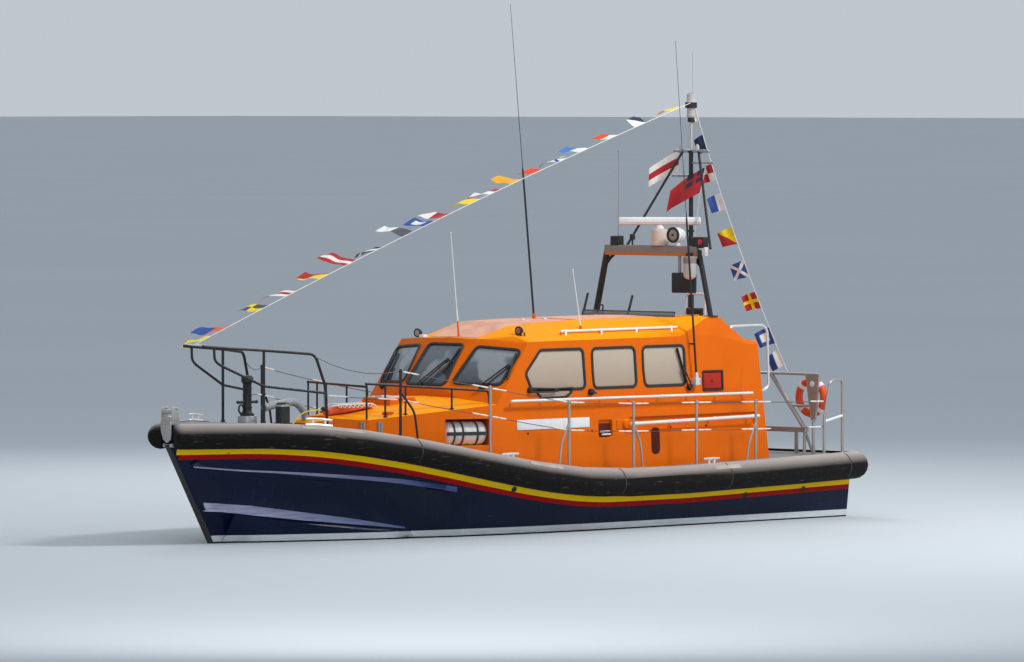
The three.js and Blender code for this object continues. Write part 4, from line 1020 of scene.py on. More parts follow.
def dressed_copy(
    node: str, finish: Material, name: str = "", body: str = ROOT, slot: str = "", smooth: float = 32.0,
    bevel: float = 0.0
) -> Piece:
    """Stands a merged, smooth-shaded copy of a CAD node in for it.

    Args:
        node: The CAD node.
        finish: The copy's material.
        name: The copy's name, or nothing for the node's with _skin.
        body: The body it rides on.
        slot: The record's slot.
        smooth: The sharpest angle shaded smooth, in degrees.
        bevel: The width of the rounding along sharp edges, or 0.

    Returns:
        The copy.
    """
    part = bmesh.new()
    part.from_mesh(frame["nodes"][node].data)
    bmesh.ops.remove_doubles(part, verts=part.verts[:], dist=2e-5)
    bmesh.ops.dissolve_limit(part, angle_limit=math.radians(0.4), verts=part.verts[:], edges=part.edges[:])
    mesh = bpy.data.meshes.new(name or node + "_skin")
    part.to_mesh(mesh)
    part.free()
    piece = placed(name or node + "_skin", mesh, finish, body, slot, smooth)
    if bevel:
        rounding = piece.modifiers.new("rounding", "BEVEL")
        rounding.width = bevel
        rounding.segments = 2
        rounding.limit_method = "ANGLE"
        rounding.angle_limit = math.radians(40)
        rounding.harden_normals = True
    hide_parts(node)
    return piece


@dataclass
class ViewPoint:
    """The camera, placed as the photo was taken."""

    bearing: float = 47.0
    dip: float = 1.668
    distance: float = 122.9
    aside: float = 0.587
    height: float = 6.54
    lens: float = 288.6

    def build(self) -> Piece:
        """Makes the camera and gives it to the scene."""
        turn = math.radians(self.bearing)
        drop = math.radians(self.dip)
        data = bpy.data.cameras.new("viewpoint")
        data.lens = self.lens
        data.sensor_width = 36.0
        data.clip_end = 4000.0
        camera = bpy.data.objects.new("viewpoint", data)
        bpy.context.scene.collection.objects.link(camera)
        out = Vector((math.sin(turn), math.cos(turn), 0))
        right = Vector((-math.cos(turn), math.sin(turn), 0))
        camera.location = out * self.distance + right * self.aside + Z * self.height
        look = -out * math.cos(drop) - Z * math.sin(drop)
        camera.rotation_euler = look.to_track_quat("-Z", "Y").to_euler()
        bpy.context.scene.camera = camera
        return camera


@dataclass
class Studio:
    """A pale floor at the waterline, a pale sky and soft lights."""

    floor_reach: float = 1500.0
    sky: str = "#dbe3ec"
    sky_strength: float = 0.74
    # Lights as name, place, size and power.
    lights: tuple[tuple[str, Point, float, float], ...] = (
        ("key", (-7.0, 16.0, 20.0), 5.0, 4100.0),
        ("fill", (20.0, 18.0, 8.0), 12.0, 900.0),
        ("back", (-12.0, -16.0, 16.0), 10.0, 1500.0),
    )

    def build(self) -> None:
        """Makes the floor, the sky and the lights."""
        part = bmesh.new()
        bmesh.ops.create_grid(part, x_segments=1, y_segments=1, size=self.floor_reach)
        mesh = bpy.data.meshes.new("floor")
        part.to_mesh(mesh)
        part.free()
        floor = bpy.data.objects.new("floor", mesh)
        bpy.context.scene.collection.objects.link(floor)
        shade = Shade("floor_pale")
        shade.fix(Base_Color=shade.mix(shade.noise(0.05, 2.0), "#bcc3c8", "#c5cbd0"), Roughness=0.95)
        shade.fix(Specular_IOR_Level=0.1)
        mesh.materials.append(shade.material)
        world = bpy.data.worlds.new("sky")
        world.use_nodes = True
        backdrop = world.node_tree.nodes["Background"]
        backdrop.inputs["Color"].default_value = linear(self.sky)
        backdrop.inputs["Strength"].default_value = self.sky_strength
        bpy.context.scene.world = world
        bpy.context.scene.view_settings.view_transform = "Standard"
        for name, place, size, power in self.lights:
            light = bpy.data.lights.new(name, "AREA")
            light.shape = "DISK"
            light.size = size
            light.energy = power
            lamp = bpy.data.objects.new(name, light)
            bpy.context.scene.collection.objects.link(lamp)
            lamp.location = place
            lamp.rotation_euler = (Vector((0, 0, 1.2)) - Vector(place)).to_track_quat("-Z", "Y").to_euler()


class Finishes:
    """Every material on the boat, made once each."""

    def __init__(self) -> None:
        """Builds the materials."""
        self.hull = HullPaint().make()
        # The house orange turns to a painted sunlit tone, #fb9d08, on what faces up.
        self.orange = Gelcoat("house_orange", "#df6600", 0.4, 0.07, 0.04, "#fb9d08", 0.12).make()
        self.roof = NonSlip("roof_non_slip", "#dda184", 300.0).make()
        self.yellow = Gelcoat("stripe_yellow", "#f2c600", 0.45, 0.05, 0.0, "", 0.1).make()
        self.red = Gelcoat("stripe_red", "#a00406", 0.45, 0.05, 0.0, "", 0.1).make()
        self.box_red = Gelcoat("box_red", "#a8220c", 0.4, 0.1, 0.1).make()
        # Dark red of the side vents; the same colour paints the shade at the back of the cleat's recess.
        self.vent_red_and_recess_shade = Gelcoat("vent_red_and_recess_shade", "#54180c", 0.5, 0.1, 0.0).make()
        self.lid_orange = Gelcoat("lid_orange", "#c8430a", 0.45, 0.1, 0.0).make()
        self.pot = Gelcoat("lamp_pot_grey", "#b3afaa", 0.45, 0.15, 0.05).make()
        self.white = Gelcoat("gel_white", "#dfe0e1", 0.35, 0.16).make()
        # The spray rails turn to a painted sky reflection, #aeaec8, towards the bow.
        self.chine = BowPaintWithSkyReflection("spray_rail_blue", "#46558a", "#aeaec8").make()
        # The fender rubber carries a painted highlight on what faces up.
        self.fender = FoamRubber("fender_rubber").make()
        self.steel = TubeMetal("rail_steel", "#a8a5a0", 0.5, 0.36, "#7d7974", 0.1).make()
        self.buff = Gelcoat("beam_buff", "#8c7e76", 0.5, 0.2, 0.05).make()
        self.pinkish = Gelcoat("radome_pinkish", "#cdb5aa", 0.45, 0.1, 0.05).make()
        self.wire = TubeMetal("guard_wire", "#5b544e", 0.4, 0.45, "#3d3935", 0.2).make()
        self.bright = TubeMetal("fitting_bright", "#e4e4e2", 0.5, 0.3, "#a8a49e", 0.1).make()
        self.cast = TubeMetal("stem_plate_grey", "#a9a6a2", 0.5, 0.45, "#6d6964", 0.3).make()
        self.stem = Moulded("stem_band_dark", "#241f1d", 0.45).make()
        self.black_tube = TubeMetal("rail_black", "#171515", 0.0, 0.4, "#4a4540", 0.15).make()
        self.pale_tube = TubeMetal("handrail_white", "#eceae6", 0.1, 0.35, "#b5b1aa", 0.1).make()
        self.alloy = TubeMetal("cast_alloy", "#9da1a5", 0.6, 0.42, "#6d6a66", 0.2).make()
        self.black = Moulded("black_plastic", "#19191b").make()
        self.rubber = Moulded("window_rubber", "#232426", 0.6, 500.0, 0.25).make()
        self.grey = Moulded("grey_moulding", "#8c9094", 0.5).make()
        self.engine = Moulded("engine_grey", "#7c8288", 0.5).make()
        self.tread = NonSlip("tread_strip", "#b3a79b").make()
        self.deck = NonSlip("deck_grey", "#777b80").make()
        # The glass tones are painted reflections: tan on the side panes, dark grey turning lighter up the
        # front panes.
        self.side_glass = Pane("glass_side", "#b39b83", "#cfc0ab").make()
        self.front_glass = Pane("glass_front", "#343a42", "#727d88", 2.15, 2.8, reflected=0.4).make()
        self.clear = Pane("screen_clear", "#8d9397", "#9aa0a4", 3.0, 3.2, 0.75).make()
        self.canister = Gelcoat("canister_white", "#d9dcdf", 0.4, 0.14, 0.1).make()
        self.buoy = Moulded("buoy_orange", "#e0480a", 0.5, 260.0).make()
        self.rope = Webbing("rope_white", "#e6e3da", 500.0).make()
        self.yellow_rope = Webbing("rope_yellow", "#e0d020", 500.0).make()
        self.strap = Webbing("strap_grey", "#6f7478").make()
        self.dark_strap = Webbing("strap_dark", "#2b2d30").make()
        self.orange_cloth = Webbing("gear_orange", "#d8500c").make()
        self.seat_cloth = Webbing("seat_black", "#26282b").make()
        self.red_lamp = Lamp("lens_red", "#b00a0a").make()
        self.clear_lamp = Lamp("lens_clear", "#9a928c", 0.05).make()
        self.amber_lamp = Lamp("lens_amber", "#b05a28", 0.04).make()
        self.dim_lamp = Lamp("lens_dim", "#9c8474", 0.02).make()


@dataclass
class HullDressing:
    """The hull's paint lines, spray rails, fairings, stem, drains and the fittings on its edge."""

    finish: Finishes
    stern_x: float = -6.515
    # Bands under the fender, as name, gap below the fender and height.
    bands: tuple[tuple[str, float, float], ...] = (("yellow", 0.004, 0.084), ("red", 0.088, 0.072))
    # Spray rails on each bow, as rows of x, height of the upper edge, height of the face and how far it
    # stands out.
    rails: tuple[tuple[tuple[float, float, float, float], ...], ...] = (
        (
            (6.05, 1.14, 0.012, 0.01), (5.37, 1.075, 0.012, 0.014), (4.79, 1.04, 0.02, 0.02),
            (4.19, 0.997, 0.035, 0.025), (3.56, 0.945, 0.045, 0.028), (2.91, 0.885, 0.06, 0.03),
            (2.25, 0.79, 0.065, 0.03), (1.95, 0.742, 0.066, 0.03)
        ),
        (
            (5.78, 0.60, 0.115, 0.05), (5.6, 0.588, 0.11, 0.05), (5.4, 0.568, 0.115, 0.06),
            (5.13, 0.545, 0.13, 0.07), (4.39, 0.435, 0.11, 0.062), (3.63, 0.325, 0.075, 0.048),
            (2.75, 0.175, 0.012, 0.012)
        ),
    )
    # T-shaped cleats on the deck's edge, as x, and the fairlead at the bow, as x and y of its two ends.
    cleats: tuple[float, ...] = (1.02, -3.45)
    fairlead: tuple[tuple[float, float], tuple[float, float]] = ((4.78, 1.20), (4.40, 1.33))
    # Drain outlets, as x and z.
    drains: tuple[tuple[float, float], ...] = ((0.93, 0.68), (-4.10, 0.416), (-5.44, 0.46))
    # The bands' step along the hull, and how far they stand off it.
    step: float = 0.16
    proud: float = 0.004

    def fender_z(self, x: float) -> float:
        """Gives the height of the fender's middle at x."""
        return 0.715 + 0.86 * ease((x + 1.2) / 6.6) + 0.022 * max(0.0, -2.8 - x)

    def fender_low(self, x: float) -> float:
        """Gives the height of the fender's lower edge at x."""
        return self.fender_z(x) - 0.97 * (0.185 + 0.028 * ease((3.0 - x) / 4.0))

    def stem_x(self, z: float) -> float:
        """Gives how far forward the stem is at a height."""
        return 5.54 + 0.6 * z

    def band(self, skin: Skin, side: int, gap: float, tall: float) -> Form:
        """Makes a painted band along the hull's side, under the fender.

        Args:
            skin: The hull.
            side: The side.
            gap: How far under the fender it starts.
            tall: Its height.

        Returns:
            The band's form.
        """
        end = self.stem_x(self.fender_low(6.2) - gap - tall) - 0.03
        count = round((end - self.stern_x) / self.step)
        rows = []
        for i in range(count + 1):
            x = blend(self.stern_x + 0.004, end, i / count)
            high = self.fender_low(x) - gap
            row = []
            for share in (0.0, 0.5, 1.0):
                point, normal = skin.side(x, high - tall * share, side)
                row.append(point + normal * self.proud)
            rows.append(row + [p - Y * (side * 0.012) for p in reversed(row)])
        return Form().lofted(rows)

    def build(self) -> None:
        """Dresses the hull."""
        skin = Skin("hull")
        dressed_copy("hull", self.finish.hull, smooth=24.0)
        for side, tag in SIDES:
            for name, gap, tall in self.bands:
                self.band(skin, side, gap, tall).done(f"sheer_band_{name}_{tag}", getattr(self.finish, name))
            self._spray_rails(skin, side).done(f"spray_rails_{tag}", self.finish.chine, "navy")
            self._forefoot(skin, side).done(f"forefoot_fairing_{tag}", self.finish.hull, "navy")
            self._edge_fittings(side).done(f"edge_fittings_{tag}", self.finish.bright, "steel")
            form = Form()
            for x, z in self.drains:
                point, normal = skin.side(x, z, side)
                ring = [
                    (0.0, 0.006), (0.026, 0.006), (0.03, 0.014), (0.042, 0.014), (0.046, 0.006),
                    (0.046, -0.02), (0.0, -0.02)
                ]
                form.turned(ring, standing(point, normal), 24)
            form.done(f"hull_drains_{tag}", self.finish.black, "black")
        for _, tag in SIDES:
            dressed_copy(f"bilge_keel_{tag}", self.finish.hull, bevel=0.01, slot="navy")
        self._stem()
        self._transom()

    def _spray_rails(self, skin: Skin, side: int) -> Form:
        """Makes the two spray rails of one bow, as wedges that taper out at their ends.

        Args:
            skin: The hull.
            side: The side, as the sign of Y.

        Returns:
            The rails.
        """
        form = Form()
        for rail in self.rails:
            rows = []
            for a, b in zip(rail, rail[1:]):
                for i in range(6):
                    x, z, tall, out = (blend(p, q, i / 6) for p, q in zip(a, b))
                    rows.append(self._wedge(skin, side, x, z, tall, out))
            rows.append(self._wedge(skin, side, *rail[-1]))
            form.lofted(rows)
        return form

    def _wedge(self, skin: Skin, side: int, x: float, z: float, tall: float, out: float) -> list[Vector]:
        """Gives a spray rail's section at x: a sloping face over a flat underside.

        Args:
            skin: The hull.
            side: The side.
            x: Where along the boat.
            z: The height of the upper edge.
            tall: The height of the face.
            out: How far it stands out.

        Returns:
            The section's corners.
        """
        high, _ = skin.side(x, z, side)
        low, _ = skin.side(x, z - tall, side)
        edge = Vector((0, side * out, 0))
        root = Vector((0, side * 0.03, 0))
        return [high - root, high + edge * 0.12, low + edge, low + edge - Z * 0.01, low - root]

    def _chine(self, skin: Skin, x: float, side: int) -> Vector:
        """Gives the chine's edge at x, the first point going up after which the side falls back in.

        Args:
            skin: The hull.
            x: Where along the boat.
            side: The side.

        Returns:
            The edge.
        """
        low, step = -0.03, 0.01
        top = 0.14 + 0.13 * max(0.0, x - 2.8)
        last, _ = skin.side(x, low, side)
        for k in range(1, int((top - low) / step)):
            point, _ = skin.side(x, low + step * k, side)
            if abs(point.y) < abs(last.y) - 0.001:
                break
            last = point
        return last

    def _forefoot(self, skin: Skin, side: int) -> Form:
        """Makes the fairing that carries one bow's side on from the chine down to the waterline.

        Args:
            skin: The hull.
            side: The side, as the sign of Y.

        Returns:
            The fairing.
        """
        fore, aft, lean, low = 5.36, 2.5, 0.45, -0.03
        rows = []
        for i in range(41):
            x = blend(fore, aft, i / 40)
            edge = self._chine(skin, x, side)
            hull_y = abs(skin.side(x, low, side)[0].y)
            full_y = abs(edge.y) - lean * (edge.z - low)
            foot_y = hull_y + max(0.0, full_y - hull_y) * ease(min((fore - x) / 0.4, (x - aft) / 0.5))
            keel = skin.side(x, low - 0.5 * (foot_y - hull_y), side)[0]
            inward = Vector((0, side * 0.04, 0))
            foot = Vector((x, side * (foot_y + 0.002), low))
            rows.append([edge - inward, edge + inward * 0.05, foot, keel - inward * 0.2])
        return Form().lofted(rows)

    def _edge_fittings(self, side: int) -> Form:
        """Makes the cleats and the fairlead that stand along the deck's edge.

        Args:
            side: The side, as the sign of Y.

        Returns:
            The fittings.
        """
        form = Form()
        deck = Skin("hull", "fender")
        for x in self.cleats:
            y = side * 1.72
            base = deck.top(x, y)[0]
            for dx in (-0.06, 0.06):
                form.tapered(
                    [base + X * dx - Z * 0.01, base + X * dx + Z * 0.02, base + X * dx + Z * 0.085],
                    [0.032, 0.022, 0.02]
                )
            form.tapered(
                [base + X * dx + Z * 0.085 for dx in (-0.18, -0.17, -0.06, 0.06, 0.17, 0.18)],
                [0.008, 0.02, 0.024, 0.024, 0.02, 0.008]
            )
            form.box((x - 0.13, y - 0.05, base.z - 0.01), (x + 0.13, y + 0.05, base.z + 0.008), 0.004)
        start, end = (Vector((x, side * y, 0)) for x, y in self.fairlead)
        points = [start.lerp(end, t) for t in (0.0, 0.25, 0.5, 0.75, 1.0)]
        lifted = [Vector((p.x, p.y, deck.top(p.x, p.y)[0].z)) for p in points]
        form.tube([p + Z * 0.016 for p in lifted], 0.026, 14, 0.0)
        form.tube([p + Z * 0.105 for p in lifted], 0.016, 14, 0.0)
        for p in (lifted[1], lifted[3]):
            form.tube([p, p + Z * 0.105], 0.02, 14, 0.0)
        for p in (lifted[0], lifted[-1]):
            form.ball(p + Z * 0.105, 0.018)
            form.ball(p + Z * 0.016, 0.028)
        return form

    def _stem(self) -> None:
        """Makes the dark band down the stem and the bright head plate with its roller."""
        rows = []
        for i in range(13):
            z = blend(-0.035, 1.46, i / 12)
            x = self.stem_x(z)
            rows.append(
                [
                    Vector((x - 0.02, 0.043, z)), Vector((x + 0.034, 0.036, z)),
                    Vector((x + 0.034, -0.036, z)), Vector((x - 0.02, -0.043, z))
                ]
            )
        Form().lofted(rows).done("stem_band", self.finish.stem, "rubber", node="stem_head")
        head = Form().box((6.30, -0.112, 1.80), (6.44, -0.10, 2.0), 0.012, segments=3)
        head.box((6.30, 0.10, 1.80), (6.44, 0.112, 2.0), 0.012, segments=3)
        head.box((6.26, -0.105, 1.74), (6.45, 0.105, 1.86), 0.014, segments=3)
        head.tube([(6.40, -0.1, 1.93), (6.40, 0.1, 1.93)], 0.034, 20)
        for y in (-0.106, 0.106):
            head.ball((6.345, y, 1.985), 0.022)
        shield = [
            (-0.105, 0.0), (0.105, 0.0), (0.105, -0.16), (0.075, -0.27), (0.0, -0.325), (-0.075, -0.27),
            (-0.105, -0.16)
        ]
        lean = Vector((math.cos(0.12), 0, -math.sin(0.12)))
        head.plate(rounded_outline(shield, 0.03, 4), 0.022, 0.006, standing((6.448, 0, 1.80), lean, Y))
        for y in (-0.07, 0.0, 0.07):
            head.ball((6.474, y, 1.76), 0.010)
        head.box((6.36, -0.1, 1.42), (6.42, 0.1, 1.475), 0.012)
        head.done("stem_head_plate", self.finish.cast, "steel", node="stem_head")

    def _transom(self) -> None:
        """Adds the sill plate and the pads round the jets' recess."""
        form = Form()
        for side, _ in SIDES:
            form.box((-6.545, side * 1.42, -0.12), (-6.515, side * 1.56, 0.42), 0.01)
        form.box((-6.545, -1.2, 0.44), (-6.515, 1.2, 0.5), 0.01)
        form.done("transom_pads", self.finish.black, "black")


@dataclass
class FenderDressing:
    """The fender's smooth skin, its seams and tread strips."""

    finish: Finishes
    lines: HullDressing
    seams: tuple[float, ...] = (3.05, -0.95, -3.35, -6.2)
    # Tread strips on top, as first x and last x.
    treads: tuple[tuple[float, float], ...] = ((3.95, 4.86), (0.35, 1.0), (-3.6, -3.02))

    def section(
        self, skin: Skin, x: float, side: int, angles: Sequence[float], proud: float
    ) -> tuple[list[Vector], list[Vector]]:
        """Gives points round the fender at x, and the outward direction at each.

        Args:
            skin: The fender.
            x: Where along the boat.
            side: The side.
            angles: Degrees above level, seen from the middle of the section.
            proud: How far the points stand off the skin.

        Returns:
            The points and their directions.
        """
        root = Vector((x, 0, self.lines.fender_z(x)))
        reach, _ = skin.hit((x, side * 6.0, root.z), (0, -side, 0))
        centre = Vector((x, reach.y - side * 0.17, root.z))
        points, outs = [], []
        for angle in angles:
            out = Vector((0, side * math.cos(math.radians(angle)), math.sin(math.radians(angle))))
            point, _ = skin.hit(centre + out * 1.2, -out)
            points.append(point + out * proud)
            outs.append(out)
        return points, outs

    def build(self) -> None:
        """Dresses the fender."""
        skin = Skin("fender")
        dressed_copy("fender", self.finish.fender, slot="rubber", smooth=50.0)
        angles = [blend(-62.0, 88.0, i / 14) for i in range(15)]
        for side, tag in SIDES:
            form = Form()
            for x in self.seams:
                points, outs = self.section(skin, x, side, angles, 0.0)
                form.moulding(points, outs, 0.022, 0.004, looped=False)
            form.done(f"fender_seams_{tag}", self.finish.rubber, "rubber")
            form = Form()
            for x0, x1 in self.treads:
                rows = []
                for i in range(9):
                    points, _ = self.section(skin, blend(x0, x1, i / 8), side, (46.0, 58.0, 70.0), 0.006)
                    inner, _ = self.section(skin, blend(x0, x1, i / 8), side, (70.0, 58.0, 46.0), -0.004)
                    rows.append(points + inner)
                form.lofted(rows)
            form.done(f"fender_treads_{tag}", self.finish.tread, "deckGrey")


@dataclass
class DeckhouseDressing:
    """The deckhouse's skin, windows, wipers, rails and the fittings on its sides and roof."""

    finish: Finishes
    sill: float = 2.105
    head: float = 2.7
    # Side windows, as front top x, front middle x, front foot x, aft top x and aft foot x.
    windows: tuple[tuple[float, float, float, float, float], ...] = (
        (-0.075, 0.262, 0.130, -1.010, -1.050),
        (-1.210, -1.215, -1.240, -2.160, -2.190),
        (-2.340, -2.345, -2.380, -3.275, -3.300),
    )
    # Where the front facets stand at the foot of the panes, as x and z.
    front: tuple[float, float] = (1.04, 2.19)
    # Front panes, as name, y, sweep and lean in degrees.
    facets: tuple[tuple[str, float, float, float], ...] = (
        ("centre", 0.0, 0.0, 39.0),
        ("port", 0.385, 21.0, 36.5),
        ("starboard", -0.385, -21.0, 36.5),
    )
    # Window rubber, as width and height.
    gasket: tuple[float, float] = (0.044, 0.016)
    # The side walls' half width at a height, and how far they lean in for each metre up.
    wall_y: float = 1.395
    wall_z: float = 0.3
    lean: float = 0.0382
    # How far the recess and the locker are sunk in the wall.
    recess: float = 0.047

    def side_outline(self, row: Sequence[float]) -> list[tuple[float, float]]:
        """Gives a side window's outline as [x, z] points.

        Args:
            row: The window's row in the table.

        Returns:
            The outline.
        """
        top, middle, foot, aft_top, aft_foot = row
        corners = [
            (top, self.head), (middle, self.sill + 0.255), (foot, self.sill), (aft_foot, self.sill),
            (aft_top, self.head)
        ]
        return rounded_outline(corners, 0.095)

    def front_outline(self, name: str) -> list[tuple[float, float]]:
        """Gives a front window's outline as [across, up] points on its facet.

        Args:
            name: The facet's name.

        Returns:
            The outline.
        """
        if name == "centre":
            corners = [(-0.4, -0.005), (0.4, -0.005), (0.354, 0.755), (-0.354, 0.755)]
        else:
            corners = [(0.118, 0.025), (0.905, 0.01), (1.095, 0.64), (0.37, 0.7)]
            if name == "starboard":
                corners = [(-a, b) for a, b in reversed(corners)]
        return rounded_outline(corners, 0.085)

    def facet(self, name: str) -> tuple[Vector, Vector, Vector, Vector]:
        """Gives a facet's origin and its across, up and outward directions.

        Args:
            name: The facet's name.

        Returns:
            The origin and the three directions.
        """
        _, y, sweep, lean = next(row for row in self.facets if row[0] == name)
        turn = math.radians(sweep)
        out = Vector((math.cos(turn), math.sin(turn), math.tan(math.radians(lean)))).normalized()
        across = Vector((-out.y, out.x, 0)).normalized()
        return Vector((self.front[0], y, self.front[1])), across, out.cross(across), out

    def wall(self, x: float, z: float, side: int) -> Vector:
        """Gives a point on the outside of a side wall."""
        return Vector((x, side * (self.wall_y - (z - self.wall_z) * self.lean), z))

    def wall_out(self, side: int) -> Vector:
        """Gives a side wall's outward direction."""
        return Vector((0, side, self.lean)).normalized()

    def on_wall(self, x: float, z: float, side: int, sunk: float = 0.0) -> Matrix:
        """Gives the place of a piece on a side wall, with X aft on the port side and Z outward."""
        place = standing(self.wall(x, z, side), self.wall_out(side), (-side, 0, 0))
        return place @ Matrix.Translation((0, 0, -sunk))

    def build(self) -> None:
        """Dresses the deckhouse."""
        self.skin = Skin(
            "wheelhouse_walls", "wheelhouse_roof",
            *[f"side_glass_{tag}_{i}" for _, tag in SIDES for i in (1, 2, 3)]
        )
        dressed_copy("wheelhouse_walls", self.finish.orange, slot="orange", smooth=28.0, bevel=0.006)
        dressed_copy("wheelhouse_roof", self.finish.orange, slot="orange", smooth=28.0, bevel=0.006)
        self._windows()
        self._wipers()
        self._handrails()
        self._side_fittings()
        self._roof_fittings()

    def _windows(self) -> None:
        """Gives each window its glass and its rubber frame."""
        width, proud = self.gasket
        # The tray under the first side window, as x and z.
        tray = rounded_outline([(0.10, 2.105), (-0.08, 1.985), (-0.58, 1.985), (-0.90, 2.105)], 0.06)
        tray_z = 2.05
        for side, tag in SIDES:
            form = Form()
            for i, row in enumerate(self.windows):
                self.glaze(f"side_glass_{tag}_{i + 1}", self.finish.side_glass)
                points = [self.wall(x, z, side) for x, z in self.side_outline(row)]
                form.moulding(points, [self.wall_out(side)] * len(points), width, proud, lift=-0.01)
            points = [self.wall(x, z, side) for x, z in tray]
            form.moulding(points, [self.wall_out(side)] * len(points), width, proud, lift=-0.01)
            form.done(f"window_rubber_{tag}", self.finish.rubber, "black")
            place = standing(self.wall(0, tray_z, side), self.wall_out(side), (side, 0, 0))
            outline = [(side * x, z - tray_z) for x, z in tray[::-side]]
            Form().plate(outline, 0.006, 0.0, place).done(
                f"wiper_tray_{tag}", self.finish.side_glass, "glass"
            )
        for name, *_ in self.facets:
            self.glaze(f"front_glass_{name}", self.finish.front_glass)
            origin, across, up, out = self.facet(name)
            points = [origin + across * a + up * b for a, b in self.front_outline(name)]
            form = Form().moulding(points, [out] * len(points), width, proud + 0.004, lift=-0.01)
            form.done(f"window_rubber_front_{name}", self.finish.rubber, "black")

    def glaze(self, node: str, glass: Material) -> None:
        """Gives a CAD pane its glass."""
        pane = frame["nodes"][node].data
        pane.materials.clear()
        pane.materials.append(glass)

    def wiper(self, form: Form, foot: Vector, hinge: Vector, ends: Sequence[Vector], out: Vector) -> None:
        """Adds a parked twin-arm wiper.

        Args:
            form: The form it is added to.
            foot: Where its spindle comes out.
            hinge: Where its arms meet the blade.
            ends: The ends of the blade.
            out: The pane's outward direction.
        """
        ahead = (hinge - foot).normalized()
        across = out.cross(ahead)
        lift = out * 0.05
        for shift in (-0.032, 0.032):
            start = foot + across * shift
            form.tube(
                [start + out * 0.01, start + lift, hinge + across * (shift * 0.6) + lift], 0.011, 8, 0.03
            )
        form.turned([(0.045, 0.0), (0.045, 0.04), (0.028, 0.062)], standing(foot, out), 20)
        form.box((-0.05, -0.028, 0.028), (0.03, 0.028, 0.062), 0.008, standing(hinge, out, ahead))
        form.tube([end + out * 0.032 for end in ends], 0.012, 8, 0.0)
        swing = (ends[1] - ends[0]).normalized()
        half = (ends[1] - ends[0]).length / 2
        form.box(
            (-half, -0.005, 0.0), (half, 0.005, 0.03), 0.002, standing(ends[0].lerp(ends[1], 0.5), out, swing)
        )

    def _wipers(self) -> None:
        """Adds a wiper to each front pane and to the first and last window of each side."""
        form = Form()
        # Wipers, as facet, foot, hinge, upper end and lower end, each across and up on the facet.
        rows = (
            ("centre", (-0.07, -0.02), (0.24, 0.43), (0.34, 0.66), (0.27, 0.20)),
            ("port", (0.63, -0.06), (0.97, 0.32), (1.03, 0.57), (1.0, 0.10)),
            ("starboard", (-0.70, -0.085), (-0.89, 0.26), (-0.985, 0.54), (-0.80, 0.05)),
        )
        for name, *spots in rows:
            origin, across, up, out = self.facet(name)
            foot, hinge, *ends = (origin + across * a + up * b for a, b in spots)
            self.wiper(form, foot, hinge, ends, out)
        # Wipers on each side, as foot, hinge and blade ends, each x and z.
        side_rows = (
            ((0.19, 2.11), (-0.36, 2.10), (0.02, 2.115), (-0.74, 2.125)),
            ((-3.36, 2.06), (-3.215, 2.33), (-3.10, 2.66), (-3.29, 2.15)),
        )
        for side, _ in SIDES:
            out = self.wall_out(side)
            for spots in side_rows:
                foot, hinge, *ends = (self.wall(x, z, side) for x, z in spots)
                self.wiper(form, foot, hinge, ends, out)
            knob, tip = self.wall(-1.15, 2.05, side), self.wall(-1.22, 2.03, side)
            form.turned([(0.05, 0.0), (0.05, 0.05), (0.03, 0.075)], standing(knob, out), 20)
            form.tube([knob + out * 0.05, tip + out * 0.07], 0.014, 8)
        form.done("wipers", self.finish.black, "black")

    def _handrails(self) -> None:
        """Gives the handrails on the sides and the roof their pale tubes and posts."""
        # Rails, as first and last x, y, first and last z, radius, posts and the post's foot: its step in x,
        # its y and its z.
        rails = (
            (0.69, -4.70, 1.44, 1.965, 1.945, 0.0195, 9, 0.0, 1.33, -0.027),
            (-1.94, -4.85, 1.44, 1.552, 1.59, 0.026, 4, 0.0, 1.31, -0.03),
            (-0.69, -3.29, 1.15, 2.965, 2.975, 0.0195, 4, 0.04, 1.185, -0.1),
        )
        for side, tag in SIDES:
            form = Form()
            for x0, x1, y, z0, z1, radius, posts, step, foot_y, fall in rails:
                form.tube([(x0 + 0.004, side * y, z0), (x1 - 0.004, side * y, z1)], radius, 16)
                for i in range(posts):
                    t = (i + 0.15) / (posts - 0.7)
                    top = Vector((blend(x0, x1, t), side * y, blend(z0, z1, t)))
                    foot = Vector((top.x + step, side * foot_y, top.z + fall))
                    form.tube([top, foot], 0.0155, 10)
                    form.ball(top, radius * 1.25)
            form.done(f"handrails_{tag}", self.finish.pale_tube, "steel")

    def _side_fittings(self) -> None:
        """Adds the plates, vents, cleats, boxes and bosses on the sides, and a dark plate that paints the
        shade in the cleat's recess.
        """
        board = rounded_outline([(-0.795, -0.075), (0.795, -0.075), (0.795, 0.075), (-0.795, 0.075)], 0.02, 3)
        slot = rounded_outline([(-0.092, -0.2), (0.092, -0.2), (0.092, 0.2), (-0.092, 0.2)], 0.088)
        rim = rounded_outline([(-0.225, -0.145), (0.225, -0.145), (0.225, 0.145), (-0.225, 0.145)], 0.02, 3)
        plugs = (0.24, -1.17, -2.985, -3.785)
